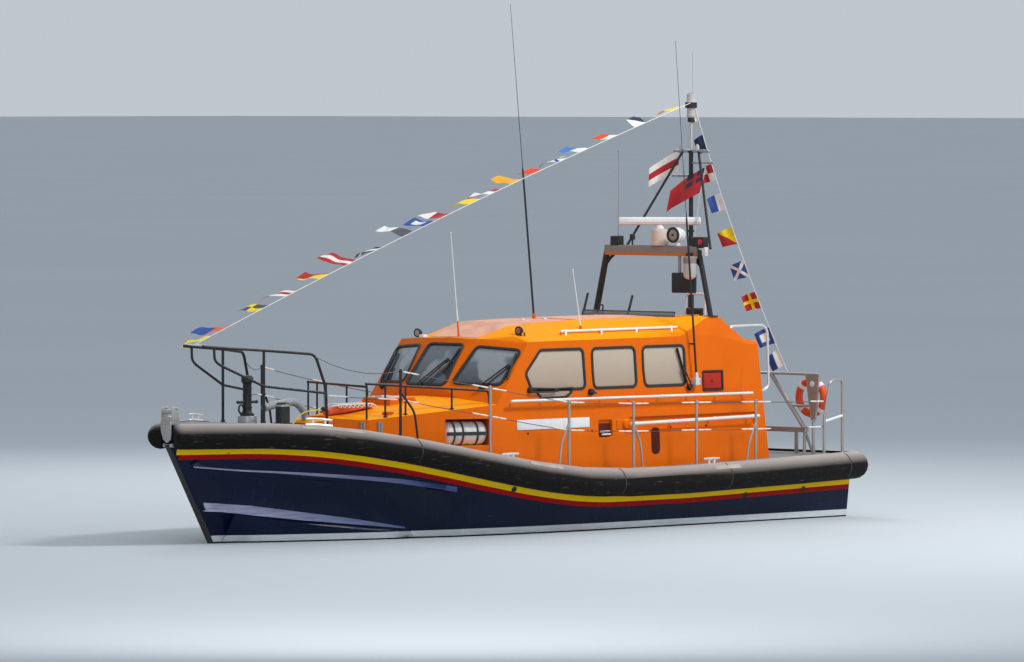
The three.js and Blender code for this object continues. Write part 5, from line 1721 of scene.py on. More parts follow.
        # Bars of the recessed cleat, as z, first and last x.
        bars = ((1.45, -1.57, -1.36), (1.405, -1.59, -1.40))
        for side, tag in SIDES:
            Form().plate(board, 0.012, 0.003, self.on_wall(-0.315, 1.6, side)).done(
                f"name_board_{tag}", self.finish.white, "white"
            )
            place = self.on_wall(-2.58, 1.28, side)
            form = Form().plate(slot, 0.012, 0.004, place)
            for i in range(7):
                z = -0.13 + i * 0.043
                form.box((-0.07, z - 0.006, 0.01), (0.07, z + 0.006, 0.02), 0.004, place)
            for x in plugs:
                point, normal = self.skin.side(x, 1.468, side)
                form.turned([(0.019, 0.0), (0.016, 0.006), (0.0, 0.007)], standing(point, normal), 10)
            form.done(f"side_vent_{tag}", self.finish.vent_red_and_recess_shade, "orange")
            place = self.on_wall(-1.91, 1.545, side)
            form = Form().turned([(0.075, 0.0), (0.075, 0.03), (0.06, 0.05), (0.0, 0.055)], place, 32)
            form.box((-0.19, -0.075, 0.0), (0.19, 0.075, 0.012), 0.02, place, 3)
            form.done(f"side_boss_{tag}", self.finish.orange, "orange")
            place = self.on_wall(-3.92, 2.15, side, self.recess)
            form = Form().box((-0.2, -0.12, 0.0), (0.2, 0.12, 0.05), 0.012, place)
            form.box((-0.03, -0.02, 0.05), (0.03, 0.02, 0.066), 0.006, place)
            form.done(f"locker_box_{tag}", self.finish.box_red, "orange")
            place = self.on_wall(-3.92, 2.15, side)
            points = [place @ Vector((a, b, 0.0)) for a, b in rim]
            form = Form().moulding(points, [self.wall_out(side)] * len(points), 0.03, 0.012, lift=-0.01)
            form.done(f"locker_rim_{tag}", self.finish.rubber, "black")
            form = Form()
            for z, x0, x1 in bars:
                form.tube([self.on_wall(x, z, side, 0.012).translation for x in (x0, x1)], 0.013, 14)
                for x in (x0 + 0.05, x1 - 0.05):
                    form.tube(
                        [self.on_wall(x, z, side, sunk).translation for sunk in (self.recess, 0.012)], 0.012,
                        12
                    )
            form.done(f"recess_cleat_{tag}", self.finish.pale_tube, "steel")
            # Painted shade: a dark plate at the back of the cleat's recess.
            place = self.on_wall(-1.4695, 1.495, side, self.recess)
            form = Form().box((-0.155, -0.13, 0.0), (0.155, 0.13, 0.005), 0.002, place)
            form.done(f"recess_floor_{tag}", self.finish.vent_red_and_recess_shade, "orange")

    def _roof_fittings(self) -> None:
        """Adds the tread panels, lamps and lookout gear on the roof."""
        form = Form()
        # Panels, as first and last x, and half their width at each.
        for x0, x1, half0, half1 in (
            (0.43, -0.23, 0.47, 0.635), (-0.235, -1.45, 0.635, 0.60), (-1.62, -3.36, 0.60, 0.60)
        ):
            rows = []
            for i in range(17):
                x = blend(x0, x1, i / 16)
                half = blend(half0, half1, i / 16)
                row = [self.skin.top(x, blend(-half, half, k / 16))[0] + Z * 0.009 for k in range(17)]
                rows.append(row + [p - Z * 0.01 for p in reversed(row)])
            form.lofted(rows)
        form.done("roof_tread", self.finish.roof, "orange")
        form = Form()
        for y, face in ((1.035, self.finish.amber_lamp), (-1.045, self.finish.clear_lamp)):
            lens = Form()
            point, _ = self.skin.top(0.06, y)
            body = [
                (0.0, 0.0), (0.03, 0.0), (0.036, 0.03), (0.058, 0.04), (0.066, 0.06), (0.066, 0.09),
                (0.05, 0.09), (0.05, 0.078), (0.0, 0.078)
            ]
            ahead = standing(point + Vector((-0.03, 0, 0.075)), X, Z)
            form.turned(body, ahead, 28)
            form.tube([point - Z * 0.02, point + Vector((0.0, 0, 0.04))], 0.018, 12, 0.0)
            form.tube([point + Vector((-0.06, 0.02, -0.02)), point + Vector((-0.06, 0.02, 0.05))], 0.012, 10)
            lens.turned(
                [(0.049, 0.0), (0.044, 0.008), (0.0, 0.012)], ahead @ Matrix.Translation((0, 0, 0.079)), 28
            )
            lens.done("roof_lamp_lens_" + ("port" if y > 0 else "starboard"), face, "white")
        form.done("roof_lamps", self.finish.black, "black")
        form = Form()
        box = self.skin.top(0.10, -0.93)[0]
        form.box(box + Vector((-0.05, -0.05, -0.02)), box + Vector((0.05, 0.05, 0.045)), 0.012)
        for x, y in ((-0.95, 0.14), (-1.28, 0.29)):
            form.ball(self.skin.top(x, y)[0] + Z * 0.012, 0.03, (1, 1, 0.8))
        form.done("roof_domes", self.finish.white, "white")
        self._short_aerials()

    def _short_aerials(self) -> None:
        """Adds the two thin short aerials on the roof, each on its base."""
        base = Form()
        rod = Form()
        # Aerials, as the foot's x and y, how far the tip lies ahead, how high it is, and the base's length
        # and radius.
        for x, y, ahead, tall, sleeve, radius in (
            (0.41, 0.10, 0.176, 1.55, 0.26, 0.013), (-1.26, 1.04, 0.178, 0.89, 0.05, 0.02)
        ):
            foot = self.skin.top(x, y)[0]
            along = Vector((ahead, 0, tall)).normalized()
            long = math.hypot(ahead, tall)
            base.tapered(
                [foot - Z * 0.02, foot + along * sleeve * 0.9, foot + along * sleeve],
                [radius * 1.15, radius, radius * 0.7], 12
            )
            points = [
                foot + along * (sleeve * 0.9), foot + along * (sleeve + 0.03), foot + along * (sleeve + 0.13),
                foot + along * (sleeve + 0.14), foot + along * long
            ]
            rod.tapered(points, [0.014, 0.014, 0.012, 0.008, 0.006], 10)
            rod.ball(foot + along * long, 0.011)
        base.done("short_aerial_bases", self.finish.orange, "orange")
        rod.done("short_aerial_rods", self.finish.pale_tube, "steel")


@dataclass
class Rails:
    """Pulpit, guardrails, coachroof rails and pushpit, as bent tubes with feet, wires and lashings."""

    finish: Finishes
    # How far the top wire's first span sags, as a share of its length.
    slack: float = 0.09
    # Stanchions as x, top height, the brace foot's step along x, and whether it is black.
    stanchions: tuple[tuple[float, float, float, bool], ...] = (
        (3.05, 2.49, -0.30, True),
        (1.43, 2.21, 0.0, False),
        (-0.18, 1.96, 0.21, False),
        (-1.60, 1.90, -0.21, False),
        (-3.02, 1.88, 0.0, False),
        (-4.40, 1.85, 0.21, False),
    )
    # The pulpit's upper and lower tube, as points on the port side.
    pulpit_top: tuple[Point, ...] = (
        (5.88, 0.195, 2.865), (5.70, 0.23, 2.85), (4.87, 0.42, 2.79), (4.13, 0.735, 2.725),
        (3.96, 0.785, 2.24),
    )
    pulpit_low: tuple[Point, ...] = (
        (5.70, 0.23, 2.85), (5.69, 0.232, 2.66), (5.60, 0.25, 2.59), (4.87, 0.42, 2.27),
        (3.948, 0.788, 2.155),
    )
    # Legs of the coachroof's rail, as x, y and top height.
    coach_legs: tuple[Point, ...] = (
        (2.91, 0.60, 2.26), (2.62, 0.70, 2.24), (2.31, 0.815, 2.215), (1.60, 1.08, 2.165),
    )
    # The wires, as how far each is below the stanchions' tops, and its first and last point.
    wires: tuple[tuple[float, Point, Point], ...] = (
        (0.025, (4.15, 0.745, 2.69), (-5.975, 1.81, 1.79)),
        (0.44, (3.985, 0.805, 2.12), (-5.926, 1.81, 1.40)),
    )
    # A lashing at a wire's end, as how far along the wire and its radius there.
    lashing: Profile = (
        (0.04, 0.007), (0.08, 0.013), (0.17, 0.011), (0.19, 0.007), (0.22, 0.012), (0.30, 0.011),
        (0.34, 0.006)
    )
    quarter_y: float = 1.81

    def rail_y(self, x: float) -> float:
        """Gives how far out the guardrail stands at x."""
        sheer_stem = 5.54 + 0.6 * 1.745
        full = 1 - min(1.0, max(0.0, (x + 1.0) / (sheer_stem + 1.0))) ** 2.6
        return 1.93 * full - 0.05 * ease((-2.5 - x) / 4.0) - 0.13

    def foot(self, form: Form, x: float, y: float) -> Vector:
        """Adds a bolted foot plate on the deck and gives its middle.

        Args:
            form: The form it is added to.
            x: Where along the boat.
            y: How far to port.

        Returns:
            The middle of its foot.
        """
        point, _ = self.deck.top(x, y)
        form.turned([(0.052, 0.0), (0.052, 0.006), (0.03, 0.01), (0.026, 0.045)], standing(point), 20)
        for angle in turns(4):
            at = point + Vector((0.041 * math.cos(angle + 0.78), 0.041 * math.sin(angle + 0.78), 0.006))
            form.turned([(0.007, 0.0), (0.006, 0.005), (0.0, 0.006)], standing(at), 8)
        return point

    def build(self) -> None:
        """Builds the rails on both sides."""
        self.deck = Skin("hull")
        for side, tag in SIDES:
            dark = self.finish.black_tube
            self._pulpit(side).done(f"pulpit_tubes_{tag}", dark, "blackTube", node=f"pulpit_{tag}")
            self._coach_rail(side).done(
                f"coachroof_tubes_{tag}", dark, "blackTube", node=f"coachroof_rail_{tag}"
            )
            self._guardrail(side, tag)
            self._pushpit(side, tag).done(
                f"pushpit_tubes_{tag}", self.finish.steel, "steel", node=f"pushpit_{tag}"
            )

    def _pulpit(self, side: int) -> Form:
        """Makes one side of the bow rail.

        Args:
            side: The side, as the sign of Y.

        Returns:
            The tubes.
        """
        form = Form()
        aft = self.foot(form, 3.93, side * 0.79)
        middle = self.foot(form, 4.87, side * 0.42)
        top, lower = ([(x, side * y, z) for x, y, z in row] for row in (self.pulpit_top, self.pulpit_low))
        form.tube([*top, aft], 0.021, 16, 0.1)
        form.tube([top[2], middle], 0.021, 16)
        form.tube(lower, 0.019, 16, 0.06)
        return form.ball(top[0], 0.024)

    def _coach_rail(self, side: int) -> Form:
        """Makes the low rail along the coachroof's edge.

        Args:
            side: The side, as the sign of Y.

        Returns:
            The tubes.
        """
        form = Form()
        roof = Skin("coachroof")
        fore, aft = [(2.93, 0.593, 2.262)], [(0.99, 1.25, 2.12), (0.97, 1.255, 1.87)]
        form.tube([(x, side * y, z) for x, y, z in (*fore, *self.coach_legs[1:], *aft)], 0.018, 14, 0.06)
        for x, y, high in self.coach_legs:
            low = roof.top(x, side * y)[0].z if x < 2.9 else 1.70
            form.tube([(x, side * y, low), (x, side * y, high)], 0.015, 12)
            form.turned([(0.034, 0.0), (0.034, 0.005), (0.018, 0.02)], standing((x, side * y, low)), 16)
        return form

    def _guardrail(self, side: int, tag: str) -> None:
        """Makes the stanchions, their braces and the two wires of one side.

        Args:
            side: The side, as the sign of Y.
            tag: The side's name.
        """
        forms = {True: Form(), False: Form()}
        for x, top, brace, black in self.stanchions:
            form = forms[black]
            y = side * self.rail_y(x)
            form.tube([self.foot(form, x, y), (x, y, top)], 0.021, 16)
            form.ball((x, y, top), 0.022, (1, 1, 0.6))
            for drop, _, _ in self.wires:
                form.turned(
                    [(0.021, -0.014), (0.028, -0.01), (0.028, 0.01), (0.021, 0.014)],
                    standing((x, y, top - drop)), 16, solid=False
                )
            if brace:
                foot_y = side * self.rail_y(x + brace)
                base = self.foot(form, x + brace, foot_y)
                form.tube([(x, y, top - 0.33), (x + brace * 0.75, foot_y, top - 0.62), base], 0.017, 14, 0.1)
        forms[True].done(f"stanchions_black_{tag}", self.finish.black_tube, "blackTube")
        forms[False].done(f"stanchions_steel_{tag}", self.finish.steel, "steel", node=f"guardrail_{tag}")
        form = Form()
        lashings = Form()
        for drop, start, end in self.wires:
            posts = [(x, self.rail_y(x), top - drop) for x, top, _, _ in self.stanchions]
            route = [Vector((x, side * y, z)) for x, y, z in (start, *posts, end)]
            spans = list(zip(route, route[1:]))
            loose = drop == self.wires[0][0]
            sagged = []
            for a, b in spans:
                sag = (self.slack if loose and a is route[0] else 0.006) * (b - a).length
                sagged += [a.lerp(b, t) - Z * (4 * sag * t * (1 - t)) for t in (0.0, 0.2, 0.4, 0.6, 0.8)]
            form.tube([*sagged, route[-1]], 0.0055, 8, 0.0)
            tight = spans[1:] if loose else spans
            for a, b in (*tight, *((b, a) for a, b in tight)):
                ahead = (b - a).normalized()
                lashings.tapered([a + ahead * s for s, _ in self.lashing], [r for _, r in self.lashing])
        form.done(f"guard_wires_{tag}", self.finish.wire, "steel", node=f"guardrail_{tag}")
        lashings.done(f"wire_lashings_{tag}", self.finish.rope, "cloth")

    def _pushpit(self, side: int, tag: str) -> Form:
        """Makes the hoop on one quarter.

        Args:
            side: The side, as the sign of Y.
            tag: The side's name.

        Returns:
            The hoop.
        """
        form = Form()
        y = side * self.quarter_y
        fore, aft = (self.foot(form, x, y) for x in (-5.95, -6.38))
        hoop = [(x, y, z) for x, z in ((-5.955, 1.54), (-6.08, 2.07), (-6.17, 2.11), (-6.38, 2.11))]
        form.tube([fore, *hoop, aft], 0.023, 16, 0.08)
        rail = Form().tube([(-5.95, y, 1.48), (-6.38, y, 1.56)], 0.021, 14)
        rail.done(f"pushpit_rail_{tag}", self.finish.pale_tube, "steel")
        return form


@dataclass
class DeckLine:
    """The loose yellow line that hangs from the rescue gear past the vent to the deck."""

    finish: Finishes
    # Points that hang in the air, then points that lie on the deck.
    hung: tuple[Point, ...] = (
        (3.30, 0.05, 1.90), (3.40, 0.075, 1.875), (3.50, 0.088, 1.868), (3.59, 0.088, 1.868),
        (3.69, 0.078, 1.85), (3.78, 0.07, 1.80), (3.86, 0.06, 1.73),
    )
    laid: tuple[tuple[float, float], ...] = (
        (3.93, 0.05), (4.01, 0.06), (4.09, 0.1), (4.15, 0.17), (4.14, 0.25)
    )
    diameter: float = 0.018

    def build(self) -> None:
        """Makes the line."""
        deck = Skin("hull", "coachroof")
        lying = [Vector((x, y, deck.top(x, y)[0].z + self.diameter / 2)) for x, y in self.laid]
        route = rounded_route([*map(Vector, self.hung), *lying], 0.09, steps=3)
        line = Form().tube(route, self.diameter / 2, 10, 0.0)
        cord = line.done("yellow_line", self.finish.yellow_rope, "cloth")
        length = sum((b - a).length for a, b in zip(route, route[1:]))
        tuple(self.hung[0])


@dataclass
class ForedeckGear:
    """The coachroof, bollard, windlass, vent, hatch, rescue gear and liferafts ahead of the wheelhouse."""

    finish: Finishes

    def build(self) -> None:
        """Builds the foredeck's gear."""
        self.deck = Skin("hull", "coachroof")
        dressed_copy("coachroof", self.finish.orange, slot="orange", smooth=24.0, bevel=0.01)
        self._bollard()
        self._windlass()
        self._vent()
        self._hatch()
        self._rescue_gear()
        self._liferafts()

    def _bollard(self) -> None:
        """Makes the towing bollard, a capped black drum on a flange."""
        form = Form()
        at = self.deck.top(4.40, 0.34)[0]
        profile = [
            (0.0, -0.02), (0.15, -0.02), (0.15, 0.02), (0.14, 0.03), (0.108, 0.036), (0.105, 0.05),
            (0.105, 0.29), (0.098, 0.312), (0.08, 0.328), (0.05, 0.34), (0.0, 0.345)
        ]
        form.turned(profile, standing(at), 40)
        for angle in turns(6):
            bolt = at + Vector((0.128 * math.cos(angle), 0.128 * math.sin(angle), 0.028))
            form.turned([(0.012, 0.0), (0.01, 0.012), (0.0, 0.013)], standing(bolt), 6)
        form.done("towing_bollard_cast", self.finish.black, "black", node="towing_bollard")
        Form().turned(
            [(0.1055, 0.272), (0.1085, 0.276), (0.1085, 0.288), (0.1, 0.305)], standing(at), 40, solid=False
        ).done("bollard_band", self.finish.steel, "steel")

    def _windlass(self) -> None:
        """Makes the windlass post with its drum, handle and hook."""
        low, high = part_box("capstan_base")
        centre = Vector(((low.x + high.x) / 2, (low.y + high.y) / 2, 0))
        base = Form()
        floor = self.deck.top(centre.x, centre.y)[0].z
        top = high.z - floor
        profile = [
            (0.0, -0.02), (0.15, -0.02), (0.15, 0.014), (0.142, 0.02), (0.138, top - 0.02), (0.13, top),
            (0.0, top)
        ]
        base.turned(profile, standing(Vector((centre.x, centre.y, floor))), 36)
        base.done("windlass_base", self.finish.alloy, "alloy", node="capstan_base")
        post = Form()
        foot = Vector((centre.x, centre.y, high.z + 0.0003))
        profile = [
            (0.0, 0.0), (0.105, 0.0), (0.105, 0.022), (0.09, 0.034), (0.07, 0.05), (0.064, 0.07),
            (0.064, 0.465), (0.072, 0.478), (0.088, 0.492), (0.088, 0.555), (0.076, 0.572), (0.06, 0.588),
            (0.0, 0.59)
        ]
        post.turned(profile, standing(foot), 36)
        post.tube([foot + Vector((-0.19, 0, 0.2)), foot + Vector((0.19, 0, 0.2))], 0.02, 14)
        for way in (-1, 1):
            post.ball(foot + Vector((way * 0.19, 0, 0.2)), 0.026)
        link = [
            foot + Vector((0.125 + 0.05 * math.cos(a), 0.0, 0.1 + 0.062 * math.sin(a))) for a in turns(20)
        ]
        post.tube(link, 0.014, 10, 0.0, looped=True)
        for rise in (0.12, 0.3, 0.4):
            post.turned(
                [(0.064, -0.01), (0.072, -0.006), (0.072, 0.006), (0.064, 0.01)], standing(foot + Z * rise),
                32, solid=False
            )
        post.done("windlass_post", self.finish.black, "black", "capstan_drum", node="capstan_drum")

    def _vent(self) -> None:
        """Makes the swan-necked vent of ribbed pale plastic."""
        form = Form()
        floor = self.deck.top(3.56, 0.0)[0].z
        route = [
            (3.56, 0, floor - 0.01), (3.565, 0, floor + 0.12), (3.62, 0, floor + 0.30),
            (3.80, 0, floor + 0.43), (4.10, 0, floor + 0.41), (4.42, 0, floor + 0.36)
        ]
        path = rounded_route([Vector(p) for p in route], 0.14, steps=8)
        form.tube(path, 0.054, 24, 0.0)
        form.turned([(0.08, 0.0), (0.08, 0.012), (0.062, 0.03)], standing((3.56, 0, floor)), 28)
        end, before = path[-1], path[-3]
        form.turned(
            [(0.058, -0.01), (0.06, 0.02), (0.056, 0.03), (0.048, 0.03), (0.045, 0.0)],
            standing(end, end - before), 28
        )
        form.done("vent_hose", self.finish.grey, "alloy", node="foredeck_vent")

    def _hatch(self) -> None:
        """Makes the coachroof's hatch: an orange leaf with a dark pane in a white rim, hinges and grips."""
        low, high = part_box("coachroof_hatch")
        form = Form()
        x0, x1, half, base = low.x + 0.014, high.x, high.y, low.z
        outline = rounded_outline([(x0, -half), (x1, -half), (x1, half), (x0, half)], 0.06)
        form.plate(outline, 0.04, 0.008, Matrix.Translation((0, 0, base)))
        for y in (-0.13, 0.13):
            form.tube(
                [(low.x + 0.014, y - 0.04, base + 0.014), (low.x + 0.014, y + 0.04, base + 0.014)], 0.0135, 14
            )
        form.done("hatch_leaf", self.finish.orange, "orange", "coachroof_hatch", "coachroof_hatch")
        rim = Form()
        centre, reach = (x0 + x1) / 2, 0.19
        corners = [
            (centre - reach, -reach), (centre + reach, -reach), (centre + reach, reach),
            (centre - reach, reach)
        ]
        ring = [Vector((a, b, base + 0.04)) for a, b in rounded_outline(corners, 0.05)]
        rim.moulding(ring, [Z] * len(ring), 0.03, 0.012)
        rim.done("hatch_rim", self.finish.white, "white", "coachroof_hatch")
        Form().plate(
            rounded_outline(corners, 0.05), 0.005, 0.002, Matrix.Translation((0, 0, base + 0.0395))
        ).done("hatch_lid", self.finish.front_glass, "glass", "coachroof_hatch")
        grip = Form()
        for x in (x0 + 0.05, x1 - 0.05):
            grip.tube(
                [
                    (x, -0.06, base + 0.038), (x, -0.06, base + 0.058), (x, 0.06, base + 0.058),
                    (x, 0.06, base + 0.038)
                ], 0.006, 10, 0.012
            )
        grip.done("hatch_grips", self.finish.steel, "steel", "coachroof_hatch")

    def _rescue_gear(self) -> None:
        """Makes the rescue gear on the coachroof: a padded float with rope rails, rungs and pads."""
        middle, aft, fore, top = 0.125, 2.34, 3.27, 1.935
        form = Form()
        rows = []
        stations = 30
        for i in range(stations + 1):
            t = i / stations
            x = blend(aft, fore, t)
            floor = self.deck.top(x, middle)[0].z
            half = 0.17 * (0.45 + 0.55 * ease(min(t * 6, (1 - t) * 3.0)))
            tall = (top - floor - 0.012) / 2 * (0.55 + 0.45 * ease(min(t * 6, (1 - t) * 5)))
            row = []
            for angle in turns(24):
                wrinkle = 1 + 0.02 * math.sin(angle * 5 + i * 1.3)
                a = math.copysign(abs(math.cos(angle)) ** 0.6, math.cos(angle)) * half * wrinkle
                b = math.copysign(abs(math.sin(angle)) ** 0.7, math.sin(angle)) * tall * wrinkle
                row.append(Vector((x, middle + a, floor + tall + 0.012 + b)))
            rows.append(row)
        form.lofted(rows)
        form.done("rescue_float", self.finish.orange_cloth, "lifebuoy", node="gear_roll")
        pads = Form()
        rails = Form()

        def at(x: float, y: float, rise: float) -> Vector:
            """Gives a point by how far it is from the float's middle line and above its top."""
            return Vector((x, middle + y, top + rise))

        for i in range(4):
            spot = at(blend(aft + 0.20, aft + 0.50, i / 3), 0.06, 0.012)
            pads.box(spot - Vector((0.036, 0.09, 0.03)), spot + Vector((0.036, 0.09, 0.012)), 0.01)
        for y in (-0.14, 0.15):
            rails.tube(
                [
                    at(aft + 0.03, y, -0.03), at(aft + 0.1, y, 0.012), at(fore - 0.22, y, 0.012),
                    at(fore - 0.06, y * 0.6, 0.0), at(fore, 0, -0.03)
                ], 0.011, 10, 0.05
            )
        for i in range(8):
            x = blend(aft + 0.12, fore - 0.18, i / 7)
            rails.tube([at(x, -0.14, 0.012), at(x + 0.03, 0.0, 0.022), at(x, 0.15, 0.012)], 0.008, 8, 0.06)
            rails.tube(
                [at(x, 0.15, 0.008), at(x + 0.05, 0.172, -0.04), at(x + 0.1, 0.15, 0.008)], 0.006, 8, 0.03
            )
        pads.done("rescue_pads", self.finish.strap, "cloth")
        Form().ball((fore + 0.01, middle - 0.04, top - 0.045), 0.04, (1.2, 1.0, 0.9)).done(
            "rescue_nose", self.finish.black, "black"
        )
        rails.done("rescue_rails", self.finish.rope, "cloth")
        self._coachroof_fittings()

    def _coachroof_fittings(self) -> None:
        """Makes the coachroof's toe, the plates down its sides and the small locker lids."""
        roof = Skin("coachroof")
        toe = Form()
        rows = []
        # The toe's section, as the share of its half width and z.
        section = ((-1, 1.56), (-1, 1.74), (-0.7, 1.765), (0.7, 1.765), (1, 1.74), (1, 1.56))
        for x, half, rise in ((3.28, 0.30, 0.0), (3.46, 0.27, 0.012), (3.60, 0.22, 0.03), (3.66, 0.18, 0.07)):
            rows.append([Vector((x, y * half, z - rise)) for y, z in section])
        toe.lofted(rows)
        toe.done("coachroof_toe", self.finish.orange, "orange")
        for side, tag in SIDES:
            straps = Form()
            for x, wide in ((2.98, 0.035), (2.74, 0.045)):
                for dx in (-0.4, 0.4):
                    rows = []
                    for z in (1.70, 1.64, 1.58, 1.52):
                        point, out = roof.hit((x + dx * wide, side * 4.0, z), (0, -side, 0))
                        rows.append(point + out * 0.006)
                    straps.tube(rows, wide * 0.42, 8, 0.0)
            straps.done(f"coachroof_straps_{tag}", self.finish.grey, "alloy")
            lids = Form()
            spot = roof.top(2.50, side * 0.64)[0]
            lids.box(
                spot - Vector((0.075, 0.05, 0.012)), spot + Vector((0.075, 0.05, 0.032)), 0.012, segments=3
            )
            lids.done(f"coachroof_lid_{tag}", self.finish.lid_orange, "orange")

    def _liferafts(self) -> None:
        """Makes the liferaft canisters with ribs, a joint band and webbing straps."""
        taper = math.atan2(1.331 - 0.64, 2.91 - 1.07)
        for side, tag in SIDES:
            place = Matrix.Translation((1.3, side * 1.0, 1.4973)) @ Matrix.Rotation(-side * taper, 4, "Z")
            place @= Matrix.Rotation(math.pi / 2, 4, "Y")
            form = Form()
            profile = [(0.0, -0.35), (0.1, -0.35), (0.132, -0.342), (0.16, -0.315), (0.177, -0.285)]
            for rib in (-0.24, -0.12, 0.0, 0.12, 0.24):
                profile += [
                    (0.174, rib - 0.022), (0.1795, rib - 0.014), (0.1795, rib + 0.014), (0.174, rib + 0.022)
                ]
            profile += [(0.177, 0.285), (0.16, 0.315), (0.132, 0.342), (0.1, 0.35), (0.0, 0.35)]
            form.turned(profile, place, 48)
            form.done(f"raft_canister_{tag}", self.finish.canister, "white", node=f"liferaft_{tag}")
            bands = Form()
            for at in (-0.18, 0.06, 0.2):
                ring = [place @ Vector((0.1795 * math.cos(a), 0.1795 * math.sin(a), at)) for a in turns(40)]
                outs = [(place.to_3x3() @ Vector((math.cos(a), math.sin(a), 0))) for a in turns(40)]
                bands.moulding(ring, outs, 0.03, 0.004)
            bands.box((-0.026, side * 0.174, -0.33), (0.026, side * 0.186, 0.33), 0.003, place)
            bands.done(f"raft_straps_{tag}", self.finish.dark_strap, "black")


class Upholstery:
    """Makes padded blocks of one cloth, each size puffed out once."""

    def __init__(self, cloth: Material) -> None:
        """Keeps the cloth."""
        self.cloth = cloth
        self.puffed: dict[tuple[float, ...], Mesh] = {}

    def pad(self, name: str, low: Point, high: Point, body: str = ROOT, fill: float = 0.6) -> Piece:
        """Makes a padded block that swells between its seams.

        Args:
            name: The piece's name.
            low: The lowest corner of the space that it fills.
            high: The highest corner of that space.
            body: The body it rides on.
            fill: How full it is, from 0 to 1.

        Returns:
            The cushion.
        """
        size = tuple(round(b - a, 4) for a, b in zip(low, high))
        if size not in self.puffed:
            self.puffed[size] = self._puff(size)
        mesh = self.puffed[size].copy()
        mesh.name = name
        mesh.transform(Matrix.Translation([(a + b) / 2 for a, b in zip(low, high)]))
        pad = placed(name, mesh, self.cloth, body, "black", 70.0)
        return pad

    def _puff(self, size: Sequence[float]) -> Mesh:
        """Gives the mesh of a pad of this size round the origin, blown out by cloth pressure.

        Args:
            size: Its size.

        Returns:
            The mesh.
        """
        form = Form()
        swell = min(size) * 0.12
        form.box([swell - s / 2 for s in size], [s / 2 - swell for s in size], min(size) * 0.3, segments=3)
        bmesh.ops.subdivide_edges(form.bm, edges=form.bm.edges[:], cuts=1, use_grid_fill=True)
        mesh = bpy.data.meshes.new("pad")
        form.bm.to_mesh(mesh)
        form.bm.free()
        pad = bpy.data.objects.new("pad", mesh)
        bpy.context.scene.collection.objects.link(pad)
        remesh = pad.modifiers.new("even", "REMESH")
        remesh.mode = "VOXEL"
        remesh.voxel_size = max(0.008, max(size) / 40)
        remesh.use_smooth_shade = True
        self._bake(pad)
        rest = [v.co.copy() for v in pad.data.vertices]
        cloth = pad.modifiers.new("puff", "CLOTH")
        cloth.settings.use_pressure = True
        cloth.settings.uniform_pressure_force = 4.0
        cloth.settings.effector_weights.gravity = 0.0
        cloth.point_cache.frame_start = 1
        cloth.point_cache.frame_end = 16
        for step in range(1, 17):
            bpy.context.scene.frame_set(step)
        self._bake(pad)
        bpy.context.scene.frame_set(1)
        for vertex, start in zip(pad.data.vertices, rest):
            move = vertex.co - start
            if move.length > swell:
                vertex.co = start + move.normalized() * swell
        puffed = pad.data
        bpy.data.objects.remove(pad)
        return puffed

    def _bake(self, pad: Piece) -> None:
        """Turns a pad's modifiers into its mesh.

        Args:
            pad: The pad.
        """
        graph = bpy.context.evaluated_depsgraph_get()
        made = bpy.data.meshes.new_from_object(pad.evaluated_get(graph))
        pad.modifiers.clear()
        pad.data = made


@dataclass
class UpperHelm:
    """The open bridge: its tub, screen, levers and seat."""

    finish: Finishes
    upholstery: Upholstery
    seat_x: float = -4.42
    seat_y: float = 0.33

    def build(self) -> None:
        """Builds the upper helm."""
        dressed_copy("bridge_tub", self.finish.orange, slot="orange", bevel=0.008)
        form = Form()
        roof = Skin("wheelhouse_roof")
        rows = []
        for i in range(25):
            y = blend(-0.95, 0.95, i / 24)
            foot = roof.top(-3.455, y)[0].z - 0.002
            rows.append(
                [
                    Vector((-3.47, y, foot)), Vector((-3.44, y, foot)), Vector((-3.458, y, 3.19)),
                    Vector((-3.488, y, 3.19))
                ]
            )
        form.tube([(-3.473, -0.95, 3.19), (-3.473, 0.95, 3.19)], 0.012, 12)
        form.tube([(-3.455, -0.95, 3.135), (-3.455, 0.95, 3.135)], 0.009, 12)
        # Two upright grips that lean aft, as y and top height, and a loop between them.
        for y, top in ((-0.93, 3.44), (-0.005, 3.42)):
            form.tube([(-3.455, y, 3.12), (-3.565, y, top)], 0.019, 12)
            form.ball((-3.565, y, top), 0.019)
        form.tube(
            [(-3.46, -0.622, 3.12), (-3.48, -0.622, 3.28), (-3.48, -0.532, 3.28), (-3.46, -0.532, 3.12)],
            0.013, 12, 0.03
        )
        form.done("helm_levers", self.finish.black, "black", node="bridge_screen")
        Form().lofted(rows).done("helm_screen", self.finish.clear, "glass", node="bridge_screen")
        self._seat()

    def _seat(self) -> None:
        """Makes the helm seat: a tube frame with a base pad and a back pad."""
        x, y, half = self.seat_x, self.seat_y, 0.2
        form = Form()
        hoop = [
            (x - 0.205, y - half, 2.925), (x - 0.225, y - half, 3.44), (x - 0.225, y + half, 3.44),
            (x - 0.205, y + half, 2.925)
        ]
        form.tube(hoop, 0.018, 14, 0.08)
        for dx, dy in ((-0.16, -0.15), (-0.16, 0.15), (0.17, -0.15), (0.17, 0.15)):
            form.tube([(x + dx, y + dy, 2.3305), (x + dx, y + dy, 2.9)], 0.019, 14)
            form.turned([(0.04, 0.0), (0.04, 0.006), (0.02, 0.016)], standing((x + dx, y + dy, 2.3305)), 18)
        form.done("helm_seat_frame", self.finish.bright, "steel", node="bridge_seat")
        self.upholstery.pad(
            "helm_seat_pad", (x - 0.19, y - half + 0.01, 2.885), (x + 0.21, y + half - 0.01, 2.972)
        )
        self.upholstery.pad(
            "helm_back_pad", (x - 0.232, y - half + 0.02, 2.98), (x - 0.172, y + half - 0.02, 3.24)
        )


